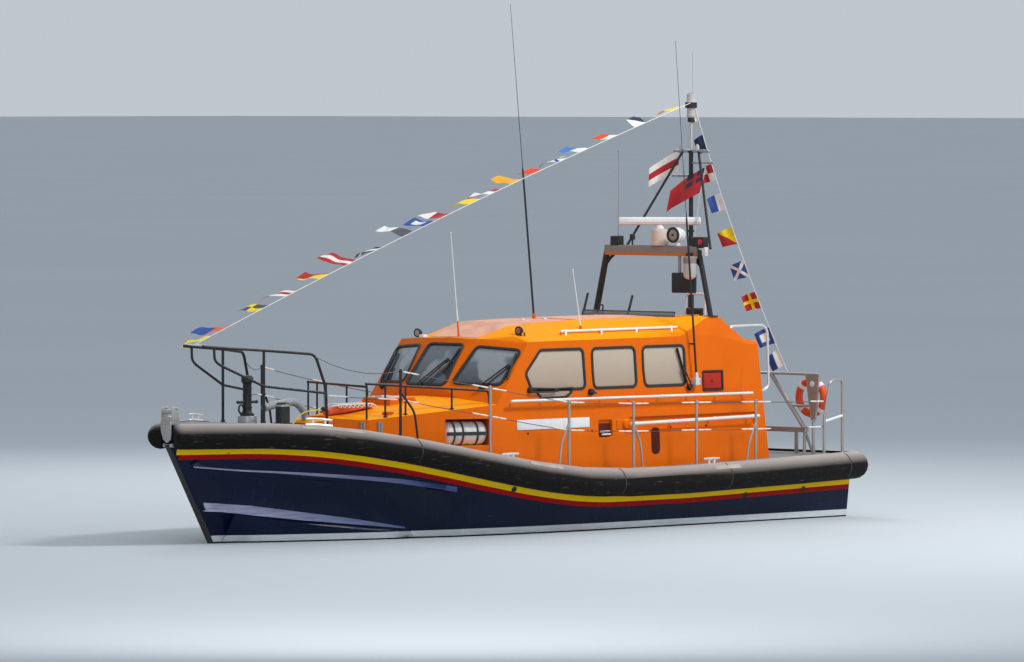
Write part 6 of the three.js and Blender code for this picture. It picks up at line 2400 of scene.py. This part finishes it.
@dataclass
class Upperworks:
    """The targa frame with its lamps and radar, the mast, and the aerials."""

    finish: Finishes
    x: float = -4.03
    mast_x: float = -4.86
    mast_y: float = 0.04
    radar_y: float = 0.14
    # How far the scanner is turned at rest, in degrees.
    radar_turn: float = 43.0
    beam: tuple[float, float] = (4.045, 4.19)

    def build(self) -> None:
        """Builds the upperworks."""
        self._targa()
        self._radar()
        self._searchlight()
        self._mast()
        self._whips()

    def _targa(self) -> None:
        """Makes the legs, the beam and what stands on it."""
        form = Form()
        low, high = self.beam
        roof = Skin("wheelhouse_roof", "wheelhouse_walls")
        for side, _ in SIDES:
            foot = roof.hit((self.x, side * 1.187, 3.6), (0, 0, -1))[0]
            form.tube([foot - Z * 0.01, (self.x, side * 0.93, high - 0.025)], 0.05 if side < 0 else 0.04, 22)
            form.box((-0.09, -0.075, -0.004), (0.09, 0.075, 0.014), 0.006, standing(foot, Z, X))
            form.tube(
                [(self.x, side * 1.0, 3.86), (self.x, side * 0.88, 3.99), (self.x, side * 0.79, low + 0.01)],
                0.026, 14, 0.1
            )
        form.done("targa_legs", self.finish.black_tube, "blackTube", node="targa_frame")
        beam = Form()
        section = rounded_outline([(-0.065, low), (0.065, low), (0.065, high), (-0.065, high)], 0.03, 4)
        beam.lofted(
            [
                [Vector((self.x + a, y, b)) for a, b in section]
                for y in (-0.95, -0.9, -0.45, 0.0, 0.45, 0.9, 0.95)
            ]
        )
        beam.done("targa_beam", self.finish.buff, "alloy")
        Form().box((self.x - 0.07, -0.94, low - 0.012), (self.x + 0.07, 0.94, low + 0.03), 0.01).done(
            "targa_beam_strip", self.finish.orange, "orange"
        )
        boxes = Form()
        for y0, y1 in ((-0.84, -0.65), (0.84, 1.09)):
            boxes.box((self.x - 0.06, y0, high - 0.03), (self.x + 0.06, y1, high + 0.14), 0.018, segments=3)
        boxes.box((self.x - 0.035, -0.455, high + 0.08), (self.x + 0.035, -0.393, high + 0.17), 0.01)
        boxes.tube([(self.x, -0.424, high - 0.02), (self.x, -0.424, high + 0.09)], 0.014, 12)
        boxes.done("targa_boxes", self.finish.black, "black")
        rod = Form().tapered(
            [(self.x, -0.713, high + 0.1), (self.x, -0.713, high + 0.4), (self.x, -0.713, 5.62)],
            [0.012, 0.009, 0.006], 10
        )
        rod.ball((self.x, -0.713, 5.63), 0.016)
        rod.done("targa_aerial", self.finish.grey, "steel")
        Form().turned(
            [(0.045, 0.0), (0.043, 0.008), (0.0, 0.016)], standing((self.x + 0.06, 1.02, high + 0.065), X), 24
        ).done("targa_lamp_lens", self.finish.red_lamp, "white")
        bracket = Form().box(
            (self.x - 0.02, 1.04, high - 0.15), (self.x + 0.05, 1.12, high - 0.015), 0.012, segments=3
        )
        bracket.box((self.x - 0.03, 0.86, high - 0.06), (self.x + 0.03, 1.06, high - 0.02), 0.01)
        bracket.done("targa_lamp_bracket", self.finish.bright, "steel")
        hung = Form().box((self.x - 0.05, 0.42, 3.47), (self.x + 0.05, 0.86, 3.78), 0.016, segments=3)
        hung.box((self.x, 0.79, 4.0), (self.x + 0.13, 0.88, low + 0.04), 0.006)
        hung.done("helm_display", self.finish.black, "black")
        Form().tube([(self.x, 0.55, low + 0.02), (self.x, 0.55, 3.77)], 0.026, 14).done(
            "helm_display_stalk", self.finish.grey, "steel"
        )
        Form().plate(
            rounded_outline([(-0.2, -0.12), (0.2, -0.12), (0.2, 0.12), (-0.2, 0.12)], 0.012, 3), 0.003, 0.001,
            standing((self.x - 0.05, 0.64, 3.625), -X, Y)
        ).done("helm_display_face", self.finish.front_glass, "glass")
        beacon = Form()
        place = Matrix.Translation((self.x + 0.115, 0.86, 3.86))
        beacon.turned([(0.095, -0.11), (0.103, -0.09), (0.103, 0.06), (0.095, 0.07)], place, 36)
        beacon.done("hailer_drum", self.finish.pot, "white")
        Form().turned(
            [(0.1, 0.068), (0.104, 0.08), (0.104, 0.15), (0.085, 0.175), (0.0, 0.18)], place, 36
        ).done("hailer_cap", self.finish.buff, "black")
        Form().turned(
            [(0.0, -0.18), (0.04, -0.176), (0.074, -0.158), (0.093, -0.13), (0.098, -0.105)], place, 36
        ).done("hailer_dome", self.finish.pinkish, "white")

    def _radar(self) -> None:
        """Makes the radar's pedestal and its turning scanner."""
        low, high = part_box("radar_pedestal")
        form = Form()
        tall = high.z - low.z
        profile = [
            (0.0, 0.0), (0.145, 0.0), (0.148, 0.01), (0.146, 0.05), (0.138, 0.06), (0.138, 0.075),
            (0.134, tall - 0.05), (0.12, tall - 0.012), (0.1, tall), (0.0, tall)
        ]
        form.turned(profile, Matrix.Translation((self.x, self.radar_y, low.z)), 40)
        form.done("radar_motor", self.finish.pinkish, "white", node="radar_pedestal")
        low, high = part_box("radar_scanner")
        bar = Form()
        half, deep, tall = 0.629, 0.11, 0.125
        middle = high.z - tall / 2
        section = rounded_outline(
            [
                (-deep / 2, -tall / 2), (deep / 2, -tall * 0.42), (deep / 2, tall * 0.42),
                (-deep / 2, tall / 2)
            ], 0.022, 5
        )
        rows = []
        for share, scale in (
            (-1.0, 0.5), (-0.992, 0.86), (-0.97, 1.0), (-0.5, 1.0), (0.0, 1.0), (0.5, 1.0), (0.97, 1.0),
            (0.992, 0.86), (1.0, 0.5)
        ):
            rows.append([Vector((a * scale, half * share, b * scale)) for a, b in section])
        turn = Matrix.Translation((self.x, self.radar_y, middle))
        turn @= Matrix.Rotation(math.radians(self.radar_turn), 4, "Z")
        bar.lofted([[turn @ p for p in row] for row in rows])
        bar.turned(
            [(0.073, low.z - middle), (0.07, low.z - middle + 0.02), (0.055, -tall / 2 + 0.004)], turn, 28
        )
        bar.done("radar_bar", self.finish.white, "white", "radar_scanner", node="radar_scanner")
        under = Form()
        section = rounded_outline(
            [
                (-deep / 2 - 0.002, -tall / 2 - 0.002), (deep / 2 + 0.002, -tall * 0.43),
                (deep / 2 + 0.002, -tall * 0.02), (-deep / 2 - 0.002, -tall * 0.02)
            ], 0.01, 4
        )
        under.lofted(
            [
                [turn @ Vector((a, half * share, b)) for a, b in section]
                for share in (-0.985, -0.5, 0.0, 0.5, 0.985)
            ]
        )
        under.done("radar_bar_window", self.finish.pinkish, "white", "radar_scanner")

    def _searchlight(self) -> None:
        """Makes the searchlight, its yoke and its lens."""
        centre = Vector((self.x, 0.505, 4.3553))
        ahead = standing(centre, X, Z)
        form = Form()
        profile = [
            (0.0, -0.114), (0.055, -0.113), (0.086, -0.09), (0.1, -0.055), (0.108, 0.0), (0.111, 0.05),
            (0.116, 0.056), (0.116, 0.114), (0.102, 0.114), (0.099, 0.1), (0.0, 0.098)
        ]
        form.turned(profile, ahead, 40)
        for rib in (-0.02, 0.01, 0.04):
            form.turned(
                [(0.104, rib - 0.005), (0.114, rib - 0.003), (0.114, rib + 0.003), (0.104, rib + 0.005)],
                ahead, 36, solid=False
            )
        form.turned(
            [(0.042, -0.165), (0.042, -0.13), (0.03, -0.12), (0.028, -0.09)], Matrix.Translation(centre), 28
        )
        form.done("searchlight_body", self.finish.white, "white", "searchlight", node="searchlight")
        rim = Form().turned(
            [
                (0.098, 0.09), (0.12, 0.09), (0.122, 0.1), (0.12, 0.119), (0.1, 0.119), (0.086, 0.112),
                (0.09, 0.1)
            ], ahead, 40, solid=False
        )
        rim.turned([(0.02, 0.108), (0.018, 0.122), (0.0, 0.124)], ahead, 24)
        rim.done("searchlight_rim", self.finish.black, "black", "searchlight")
        Form().turned([(0.098, 0.099), (0.08, 0.108), (0.0, 0.111)], ahead, 40).done(
            "searchlight_lens", self.finish.dim_lamp, "white", "searchlight"
        )

    def on_mast(self, y: float, z: float) -> Vector:
        """Gives a point by how far it is to port of the mast's middle line, and its height."""
        return Vector((self.mast_x, self.mast_y + y, z))

    def _mast(self) -> None:
        """Makes the mast with its crosstrees, lights and struts."""
        at = self.on_mast
        form = Form()
        roof = Skin("wheelhouse_roof", "wheelhouse_walls")
        step = roof.top(self.mast_x, self.mast_y)[0].z
        form.tube([at(0, step - 0.01), at(0, 4.1)], 0.046, 24)
        form.tube([at(0, 4.05), at(0, 5.62)], 0.034, 24)
        form.turned([(0.085, 0.0), (0.085, 0.012), (0.055, 0.03), (0.046, 0.08)], standing(at(0, step)), 28)
        trees = Form()
        for z, y0, y1, radius in (
            (5.63, -0.34, 0.36, 0.026), (5.45, 0.0, 0.46, 0.015), (5.25, -0.37, 0.0, 0.024)
        ):
            trees.tube([at(y0, z), at(y1, z)], radius, 14)
            for y in (y0, y1):
                if y:
                    trees.ball(at(y, z), radius * 1.15, (1, 0.8, 1))
        trees.done("mast_crosstrees", self.finish.alloy, "steel")
        for foot, head in ((-0.62, -0.125), (1.12, 0.205)):
            start = Vector((self.x - 0.066, foot, 4.15))
            form.tube([start, (self.mast_x + 0.01, head, 5.62)], 0.02, 14)
        for z in (5.62, 5.25, 4.4, 3.6):
            form.turned(
                [(0.03, -0.02), (0.052, -0.016), (0.052, 0.016), (0.03, 0.02)], standing(at(0, z)), 24,
                solid=False
            )
        form.done("mast_tubes", self.finish.black_tube, "blackTube", node="mast")
        stack = Form()
        profile = [
            (0.0, 6.08), (0.05, 6.08), (0.052, 6.15), (0.07, 6.16), (0.072, 6.19), (0.064, 6.2),
            (0.064, 6.29), (0.072, 6.3), (0.088, 6.32), (0.09, 6.385), (0.075, 6.4), (0.068, 6.41),
            (0.068, 6.5), (0.05, 6.52), (0.0, 6.52)
        ]
        stack.turned(profile, Matrix.Translation((self.mast_x, self.mast_y, 0)), 32)
        stack.tube([at(0.035, 6.5), at(0.035, 7.16)], 0.005, 8)
        stack.tube([at(0, 5.60), at(0, 6.11)], 0.0225, 16)
        for y in (-0.2, 0.13):
            stack.turned(
                [(0.03, 0.0), (0.034, 0.03), (0.028, 0.075), (0.012, 0.1), (0.0, 0.102)],
                standing(at(y, 5.635)), 20
            )
        stack.done("masthead_lights", self.finish.pot, "white")
        bands = Form()
        for low, high, radius in ((6.292, 6.385, 0.0925), (6.075, 6.15, 0.0535), (6.5, 6.525, 0.052)):
            bands.turned(
                [(radius - 0.02, low), (radius, low + 0.006), (radius, high - 0.006), (radius - 0.02, high)],
                Matrix.Translation((self.mast_x, self.mast_y, 0)), 32, solid=False
            )
        bands.done("masthead_bands", self.finish.black, "black")

    def _whips(self) -> None:
        """Makes the two long whip aerials, thick below and thin above."""
        for name, foot, top in (
            ("roof", (-1.37, -0.015, 3.06), (-0.84, -0.015, 7.86)),
            ("side", (-3.47, 1.4, 2.15), (-2.98, 1.4, 7.31))
        ):
            foot, top = Vector(foot), Vector(top)
            ahead = (top - foot).normalized()
            long = (top - foot).length
            form = Form()
            shares = (0.0, 0.02, 0.03, 0.46, 0.48, 0.485, 0.5)
            radii = (0.022, 0.022, 0.017, 0.015, 0.014, 0.008, 0.0055)
            form.tapered([foot + ahead * (long * s) for s in shares] + [top], list(radii) + [0.003], 14)
            mount = Form().box(
                (foot.x - 0.055, foot.y - 0.085, foot.z - 0.055),
                (foot.x + 0.055, foot.y + 0.035, foot.z + 0.055), 0.012
            )
            mount.turned([(0.032, 0.0), (0.03, 0.05), (0.024, 0.09)], standing(foot + Z * 0.05, ahead), 20)
            mount.done(
                f"whip_mount_{name}", self.finish.orange if name == "roof" else self.finish.bright, "steel"
            )
            if name == "side":
                stay = foot.lerp(top, 0.11)
                form.tube([stay, (stay.x, 1.29, stay.z + 0.005)], 0.012, 10)
            form.done(f"whip_{name}", self.finish.black, "blackTube", node=f"whip_aerial_{name}")


@dataclass
class SternGear:
    """The stern frame, lifebuoy, door, steps, grab rails and jets."""

    finish: Finishes

    def build(self) -> None:
        """Builds the stern's gear."""
        dressed_copy("stern_arch", self.finish.steel, slot="steel", smooth=40.0, bevel=0.003)
        Form().turned(
            [(0.046, 0.0), (0.046, 0.005), (0.04, 0.008)], standing((-6.186, 1.36, 2.04), X), 32
        ).done("stern_frame_disc", self.finish.white, "white")
        self._door()
        dressed_copy("aft_ladder", self.finish.steel, slot="steel", smooth=50.0)
        for side, tag in SIDES:
            route = [
                (-4.45, 2.8), (-4.56, 2.96), (-5.29, 2.965), (-5.4, 2.88), (-5.43, 2.03), (-5.34, 1.96),
                (-5.0, 1.955)
            ]
            Form().tube([(x, side * 1.13, z) for x, z in route], 0.02, 16, 0.06).done(
                f"aft_grab_{tag}", self.finish.bright, "steel", node=f"aft_grab_rail_{tag}"
            )
        self._buoy()
        self._jets()

    def _door(self) -> None:
        """Makes the aft door with its pane, rim and handle, and the seal round its opening."""
        dressed_copy("aft_door", self.finish.orange, "door_leaf", "aft_door", "orange", bevel=0.004)
        out = Vector((-0.9945, 0, 0.1045))
        # On the door's face X is to port and Y is down, from the middle of the sill.
        face = standing((-5.161, 0, 1.13), out, Y)
        light = rounded_outline([(-0.15, -1.12), (0.15, -1.12), (0.15, -0.72), (-0.15, -0.72)], 0.06)
        opening = rounded_outline([(-0.418, -1.392), (0.418, -1.392), (0.418, 0.02), (-0.418, 0.02)], 0.04)
        for name, outline, off, width, body in (
            ("door_pane_rim", light, 0.004, 0.035, "aft_door"), ("door_seal", opening, 0.0, 0.028, ROOT)
        ):
            Form().moulding(
                [face @ Vector((a, b, off)) for a, b in outline], [out] * len(outline), width, 0.012,
                lift=-0.004
            ).done(name, self.finish.rubber, "black", body)
        Form().plate(light, 0.006, 0.001, face @ Matrix.Translation((0, 0, -0.03))).done(
            "door_pane", self.finish.front_glass, "glass", "aft_door"
        )
        Form().tube(
            [face @ Vector(p) for p in ((-0.3, -0.57, -0.004), (-0.3, -0.57, 0.045), (-0.176, -0.57, 0.045))],
            0.0128, 14, 0.02
        ).done("door_handle", self.finish.bright, "steel", "aft_door")

    def _buoy(self) -> None:
        """Makes the lifebuoy with its bands and its grab line."""
        low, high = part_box("lifebuoy")
        centre = (low + high) / 2
        form = Form()
        ring, bar = 0.252, (high.x - low.x) / 2
        rows = []
        for a in turns(48):
            out = Vector((0, math.cos(a), math.sin(a)))
            middle = centre + out * ring
            rows.append([middle + X * (bar * math.cos(b)) + out * (0.06 * math.sin(b)) for b in turns(20)])
        form.lofted(rows, looped=True)
        form.done("lifebuoy_ring", self.finish.buoy, "lifebuoy", node="lifebuoy")
        bands = Form()
        for quarter in range(4):
            a = math.radians(45 + 90 * quarter)
            out = Vector((0, math.cos(a), math.sin(a)))
            middle = centre + out * ring
            ring_points = [middle + X * (bar * math.cos(b)) + out * (0.06 * math.sin(b)) for b in turns(28)]
            outs = [X * math.cos(b) + out * math.sin(b) for b in turns(28)]
            bands.moulding(ring_points, outs, 0.07, 0.003)
        bands.done("lifebuoy_bands", self.finish.white, "white")

    def _jets(self) -> None:
        """Gives the jets their cast finish."""
        dressed_copy("jet_housings", self.finish.alloy, slot="alloy", smooth=40.0)
        for side, tag in SIDES:
            for kind in ("steering_nozzle", "reversing_bucket"):
                node = f"{kind}_{tag}"
                dressed_copy(node, self.finish.alloy, body=node, slot="alloy", smooth=40.0, bevel=0.003)


@dataclass
class Cabin:
    """What shows through the windows: the sole, console, seats and engines."""

    finish: Finishes
    upholstery: Upholstery
    # Where the crew seats stand, as x of each row and how far out.
    seats: tuple[float, ...] = (-1.25, -2.55, -3.85)
    seat_y: float = 0.62

    def build(self) -> None:
        """Dresses the cabin."""
        for node, finish, slot in (
            ("cabin_sole", self.finish.deck, "deckGrey"),
            ("helm_console", self.finish.black, "black"),
            ("engines", self.finish.engine, "engineGrey"),
        ):
            dressed_copy(node, finish, slot=slot, bevel=0.01)
        bed = Form().box((-4.4, -0.9, 0.4506), (-0.9, 0.9, 0.5103), 0.01)
        for x in self.seats:
            for y in (-self.seat_y, self.seat_y):
                bed.tapered(
                    [(x, y, 0.5), (x, y, 0.56), (x, y, 0.6), (x, y, 0.98), (x, y, 1.01)],
                    [0.16, 0.15, 0.09, 0.09, 0.17], 24
                )
        bed.done("seat_bases", self.finish.black, "black", node="crew_seats")
        for i, x in enumerate(self.seats):
            for side, name in SIDES:
                y = side * self.seat_y
                tag = f"{name}_{i + 1}"
                self.upholstery.pad(f"crew_seat_{tag}", (x - 0.23, y - 0.24, 1.0), (x + 0.24, y + 0.24, 1.11))
                self.upholstery.pad(
                    f"crew_back_{tag}", (x - 0.33, y - 0.23, 1.09), (x - 0.22, y + 0.23, 1.76)
                )
                self.upholstery.pad(
                    f"crew_head_{tag}", (x - 0.31, y - 0.13, 1.75), (x - 0.24, y + 0.13, 1.96)
                )


class FlagPattern(Enum):
    """How a signal flag's colours are laid out, from the line outwards."""

    PLAIN = "plain"
    HALVES = "halves"
    THIRDS = "thirds"
    CROSS = "cross"
    SALTIRE = "saltire"
    CHECKER = "checker"
    DIAGONAL = "diagonal"
    BORDERED = "bordered"
    CANTON = "canton"


@dataclass(frozen=True)
class FlagCloth(Finish):
    """Light bunting with a woven grain, dyed in a signal flag's pattern on its own UV map."""

    pattern: FlagPattern
    ground: str
    charge: str

    @property
    def name(self) -> str:
        """Names the finish after its pattern and colours."""
        return f"bunting_{self.pattern.value}_{self.ground[1:]}_{self.charge[1:]}"

    def mask(self, shade: Shade, u: Socket, v: Socket) -> object:
        """Gives where the second colour is, from 0 to 1.

        Args:
            shade: The material.
            u: The share along the line.
            v: The share out from the line.

        Returns:
            A socket, or 0 for a plain flag.
        """

        def near(value: Socket, at: float, width: float) -> Socket:
            """Gives 1 where a value is within a width of a place."""
            return shade.sum("LESS_THAN", shade.sum("ABSOLUTE", shade.sum("SUBTRACT", value, at)), width)

        if self.pattern is FlagPattern.HALVES:
            return shade.sum("GREATER_THAN", v, 0.5)
        if self.pattern is FlagPattern.THIRDS:
            return near(u, 0.5, 0.17)
        if self.pattern is FlagPattern.CROSS:
            return shade.sum("MAXIMUM", near(u, 0.5, 0.1), near(v, 0.5, 0.1))
        if self.pattern is FlagPattern.SALTIRE:
            rising = near(shade.sum("SUBTRACT", u, v), 0.0, 0.13)
            return shade.sum("MAXIMUM", rising, near(shade.sum("ADD", u, v), 1.0, 0.13))
        if self.pattern is FlagPattern.CHECKER:
            along, out = (shade.sum("GREATER_THAN", value, 0.5) for value in (u, v))
            return shade.sum("ABSOLUTE", shade.sum("SUBTRACT", along, out))
        if self.pattern is FlagPattern.DIAGONAL:
            return shade.sum("GREATER_THAN", shade.sum("ADD", u, v), 1.0)
        if self.pattern is FlagPattern.BORDERED:
            return shade.sum("MULTIPLY", near(u, 0.5, 0.25), near(v, 0.5, 0.25))
        if self.pattern is FlagPattern.CANTON:
            corner = shade.sum("MULTIPLY", shade.sum("GREATER_THAN", u, 0.5), shade.sum("LESS_THAN", v, 0.5))
            cross = shade.sum("MAXIMUM", near(u, 0.75, 0.05), near(v, 0.25, 0.05))
            return shade.sum("MULTIPLY", corner, shade.sum("SUBTRACT", 1.0, cross))
        return 0.0

    def paint(self, shade: Shade) -> None:
        """Dyes the pattern, soils it and weaves it.

        Args:
            shade: The material.
        """
        u, v, _ = shade.parted(shade.map)
        dyed = shade.mix(self.mask(shade, u, v), self.ground, self.charge)
        threads = shade.sum("MULTIPLY", shade.wave(u, 900.0), shade.wave(v, 900.0))
        dyed = shade.spotted(dyed, shade.noise(5.0, 4.0), 0.45, 0.8, 0.22, "#6f6656")
        shade.fix(Base_Color=shade.spotted(dyed, threads, -1.0, 1.0, 0.12, "#2a2a2a"))
        shade.fix(Roughness=0.78, Sheen_Weight=0.25, Sheen_Roughness=0.4)
        shade.bump(threads, 0.25, 0.0005)


RED, SCARLET, YELLOW, AMBER = "#b3121a", "#e0420c", "#f2d400", "#f0a800"
BLUE, AZURE, NAVY, WHITE, GREY = "#1d4d9c", "#3b7ac0", "#152246", "#eceae6", "#4a4d54"


@dataclass
class Bunting:
    """The dressing lines with their signal flags, and the ensigns on the mast."""

    finish: Finishes
    masthead: Point = (-4.86, 0.09, 6.39)
    bow: Point = (5.86, 0.0, 2.888)
    stern: Point = (-6.2, 0.85, 2.21)
    # Flags of the line to the bow, as share of the line, how far each streams, its rise, pattern, ground and
    # charge.
    fore: tuple[tuple[float, float, float, FlagPattern, str, str], ...] = (
        (0.012, 0.34, -0.03, FlagPattern.PLAIN, YELLOW, YELLOW),
        (0.047, 0.46, -0.02, FlagPattern.HALVES, SCARLET, BLUE),
        (0.119, 0.36, 0.02, FlagPattern.CHECKER, YELLOW, GREY),
        (0.174, 0.48, 0.0, FlagPattern.THIRDS, WHITE, RED),
        (0.237, 0.36, 0.05, FlagPattern.DIAGONAL, YELLOW, RED),
        (0.288, 0.46, 0.14, FlagPattern.THIRDS, RED, WHITE),
        (0.346, 0.32, -0.06, FlagPattern.THIRDS, NAVY, WHITE),
        (0.401, 0.42, 0.17, FlagPattern.HALVES, GREY, WHITE),
        (0.442, 0.32, 0.07, FlagPattern.BORDERED, BLUE, WHITE),
        (0.479, 0.42, 0.02, FlagPattern.HALVES, RED, WHITE),
        (0.536, 0.34, 0.0, FlagPattern.PLAIN, YELLOW, YELLOW),
        (0.577, 0.42, -0.02, FlagPattern.CHECKER, WHITE, RED),
        (0.620, 0.34, 0.08, FlagPattern.PLAIN, AMBER, AMBER),
        (0.667, 0.30, 0.0, FlagPattern.PLAIN, SCARLET, SCARLET),
        (0.718, 0.34, -0.02, FlagPattern.SALTIRE, WHITE, BLUE),
        (0.759, 0.33, 0.06, FlagPattern.HALVES, WHITE, AZURE),
        (0.820, 0.28, 0.02, FlagPattern.HALVES, WHITE, SCARLET),
        (0.876, 0.18, 0.14, FlagPattern.DIAGONAL, WHITE, NAVY),
        (0.955, 0.32, -0.02, FlagPattern.PLAIN, YELLOW, YELLOW),
    )
    # Flags of the line to the stern.
    aft: tuple[tuple[float, float, float, FlagPattern, str, str], ...] = (
        (0.005, 0.10, -0.06, FlagPattern.HALVES, WHITE, SCARLET),
        (0.115, 0.16, -0.06, FlagPattern.PLAIN, NAVY, NAVY),
        (0.220, 0.22, -0.04, FlagPattern.CHECKER, RED, WHITE),
        (0.325, 0.23, -0.04, FlagPattern.HALVES, WHITE, BLUE),
        (0.450, 0.26, -0.04, FlagPattern.DIAGONAL, YELLOW, RED),
        (0.572, 0.25, -0.05, FlagPattern.SALTIRE, BLUE, WHITE),
        (0.690, 0.24, -0.04, FlagPattern.CROSS, RED, YELLOW),
        (0.825, 0.25, -0.06, FlagPattern.BORDERED, BLUE, WHITE),
        (0.910, 0.20, -0.10, FlagPattern.HALVES, WHITE, BLUE),
    )

    def curve(self, start: Point, end: Point, bow: Point) -> Callable[[float], Vector]:
        """Gives the line from start to end that bows by the given amount, as a function of share.

        Args:
            start: Its start.
            end: Its end.
            bow: How far its middle lies off the straight line.

        Returns:
            A function from a share of the line to a point.
        """
        a, c = Vector(start), Vector(end)
        b = a.lerp(c, 0.5) + Vector(bow) * 2
        return lambda t: (1 - t) ** 2 * a + 2 * t * (1 - t) * b + t * t * c

    def flag(
        self, name: str, hoist: Vector, along: Vector, fly: Vector, phase: float, cloth: Material,
    ) -> Piece:
        """Makes a flag that streams from its hoist in ripples.

        Args:
            name: The piece's name.
            hoist: The lower corner of its hoist.
            along: From that corner to the other end of the hoist.
            fly: From the hoist to the free edge, at rest.
            phase: Where the ripples start.
            cloth: Its material.

        Returns:
            The flag.
        """
        part = bmesh.new()
        part.loops.layers.uv.new("UVMap")
        cells = 16
        made = bmesh.ops.create_grid(part, x_segments=cells, y_segments=cells, size=0.5, calc_uvs=True)
        normal = along.cross(fly).normalized()
        for vertex in made["verts"]:
            u, v = vertex.co.x + 0.5, vertex.co.y + 0.5
            wide, fine = math.sin(phase + 5.2 * v + 1.1 * u), math.sin(phase * 2.3 + 11 * v - 2 * u)
            swing = 0.11 * fly.length * v * wide + 0.03 * fly.length * v * fine
            droop = 0.12 * fly.length * v * v
            gather = 1 - 0.12 * v * math.sin(math.pi * 0.5 * v)
            spot = hoist + along * (0.5 + (u - 0.5) * gather) + fly * (v * 0.965)
            vertex.co = spot + normal * swing - Z * droop
        mesh = bpy.data.meshes.new(name)
        part.to_mesh(mesh)
        part.free()
        piece = placed(name, mesh, cloth, ROOT, "cloth", 80.0)
        return piece

    def build(self) -> None:
        """Builds both lines and the ensigns."""
        self.cloths: dict[str, Material] = {}
        fore = self.curve(self.bow, self.masthead, (0, 0, 0.1))
        aft = self.curve(self.masthead, self.stern, (0.04, -0.045, -0.06))
        self._line("fore", fore, self.fore, Vector((0.68, -0.73, 0)), "dressing_line_fore")
        self._line("aft", aft, self.aft, Vector((0.4, -0.92, 0)), "dressing_line_aft")
        self._ensigns()

    def _cloth(self, pattern: FlagPattern, ground: str, charge: str) -> Material:
        """Gives a flag's material, made once for each kind.

        Args:
            pattern: The pattern.
            ground: Its first colour.
            charge: Its second colour.

        Returns:
            The material.
        """
        cloth = FlagCloth(pattern, ground, charge)
        if cloth.name not in self.cloths:
            self.cloths[cloth.name] = cloth.make()
        return self.cloths[cloth.name]

    def _line(
        self, tag: str, curve: Callable[[float], Vector],
        rows: Sequence[tuple[float, float, float, FlagPattern, str, str]], across: Vector, node: str
    ) -> None:
        """Makes one line with its flags.

        Args:
            tag: The line's name.
            curve: The line's points by share.
            rows: The flags.
            across: The level direction in which they stream.
            node: The CAD node.
        """
        form = Form().tube([curve(i / 40) for i in range(41)], 0.0055, 8, 0.0)
        if tag == "fore":
            form.tube([(5.86, -0.2, 2.888), (5.86, 0.2, 2.888)], 0.008, 8)
        name = f"signal_line_{tag}"
        form.done(name, self.finish.rope, "cloth", node=node)
        for i, (share, far, rise, pattern, ground, charge) in enumerate(rows):
            start = curve(share)
            ahead = (curve(share + 0.002) - start).normalized()
            long = 0.22 + 0.02 * (i % 3) if tag == "fore" else 0.27
            cloth = self._cloth(pattern, ground, charge)
            self.flag(
                f"flag_{tag}_{i + 1:02d}", start, ahead * long, across * far + Z * rise, 1.7 * i + 0.4, cloth,
            )

    def _ensigns(self) -> None:
        """Makes the two larger flags on their halyards."""
        form = Form().tube([(-4.86, 0.36, 5.44), (-4.86, 0.22, 4.95), (-4.80, 0.14, 4.2)], 0.004, 6, 0.0)
        form.tube([(-4.86, -0.19, 5.63), (-4.86, -0.22, 5.3), (-4.86, -0.12, 4.6)], 0.004, 6, 0.0)
        form.done("halyards", self.finish.rope, "cloth")
        red = self._cloth(FlagPattern.CANTON, RED, NAVY)
        bars = self._cloth(FlagPattern.THIRDS, WHITE, RED)
        self.flag(
            "ensign", Vector((-4.86, 0.22, 4.99)), Vector((0, 0.10, 0.39)), Vector((0.32, -0.44, -0.27)), 0.6,
            red
        )
        self.flag(
            "house_flag", Vector((-4.86, -0.22, 5.31)), Vector((0, 0.02, 0.33)), Vector((0.26, -0.40, -0.20)),
            2.1, bars
        )


def main() -> None:
    """Builds the scene, one sub-assembly after another."""
    logging.basicConfig(level=logging.INFO, format="%(message)s")
    finish = Finishes()
    upholstery = Upholstery(finish.seat_cloth)
    hull = HullDressing(finish)
    assemblies = (
        ViewPoint(),
        DeckLine(finish),
        Studio(),
        hull,
        FenderDressing(finish, hull),
        DeckhouseDressing(finish),
        Rails(finish),
        ForedeckGear(finish),
        UpperHelm(finish, upholstery),
        Upperworks(finish),
        SternGear(finish),
        Cabin(finish, upholstery),
        Bunting(finish),
    )
    for assembly in assemblies:
        before = set(bpy.data.objects.keys())
        assembly.build()
        made = [name for name in bpy.data.objects.keys() if name not in before]
        LOG.info("%s: %d pieces: %s", type(assembly).__name__, len(made), ", ".join(made))


if __name__ == "__main__":
    main()
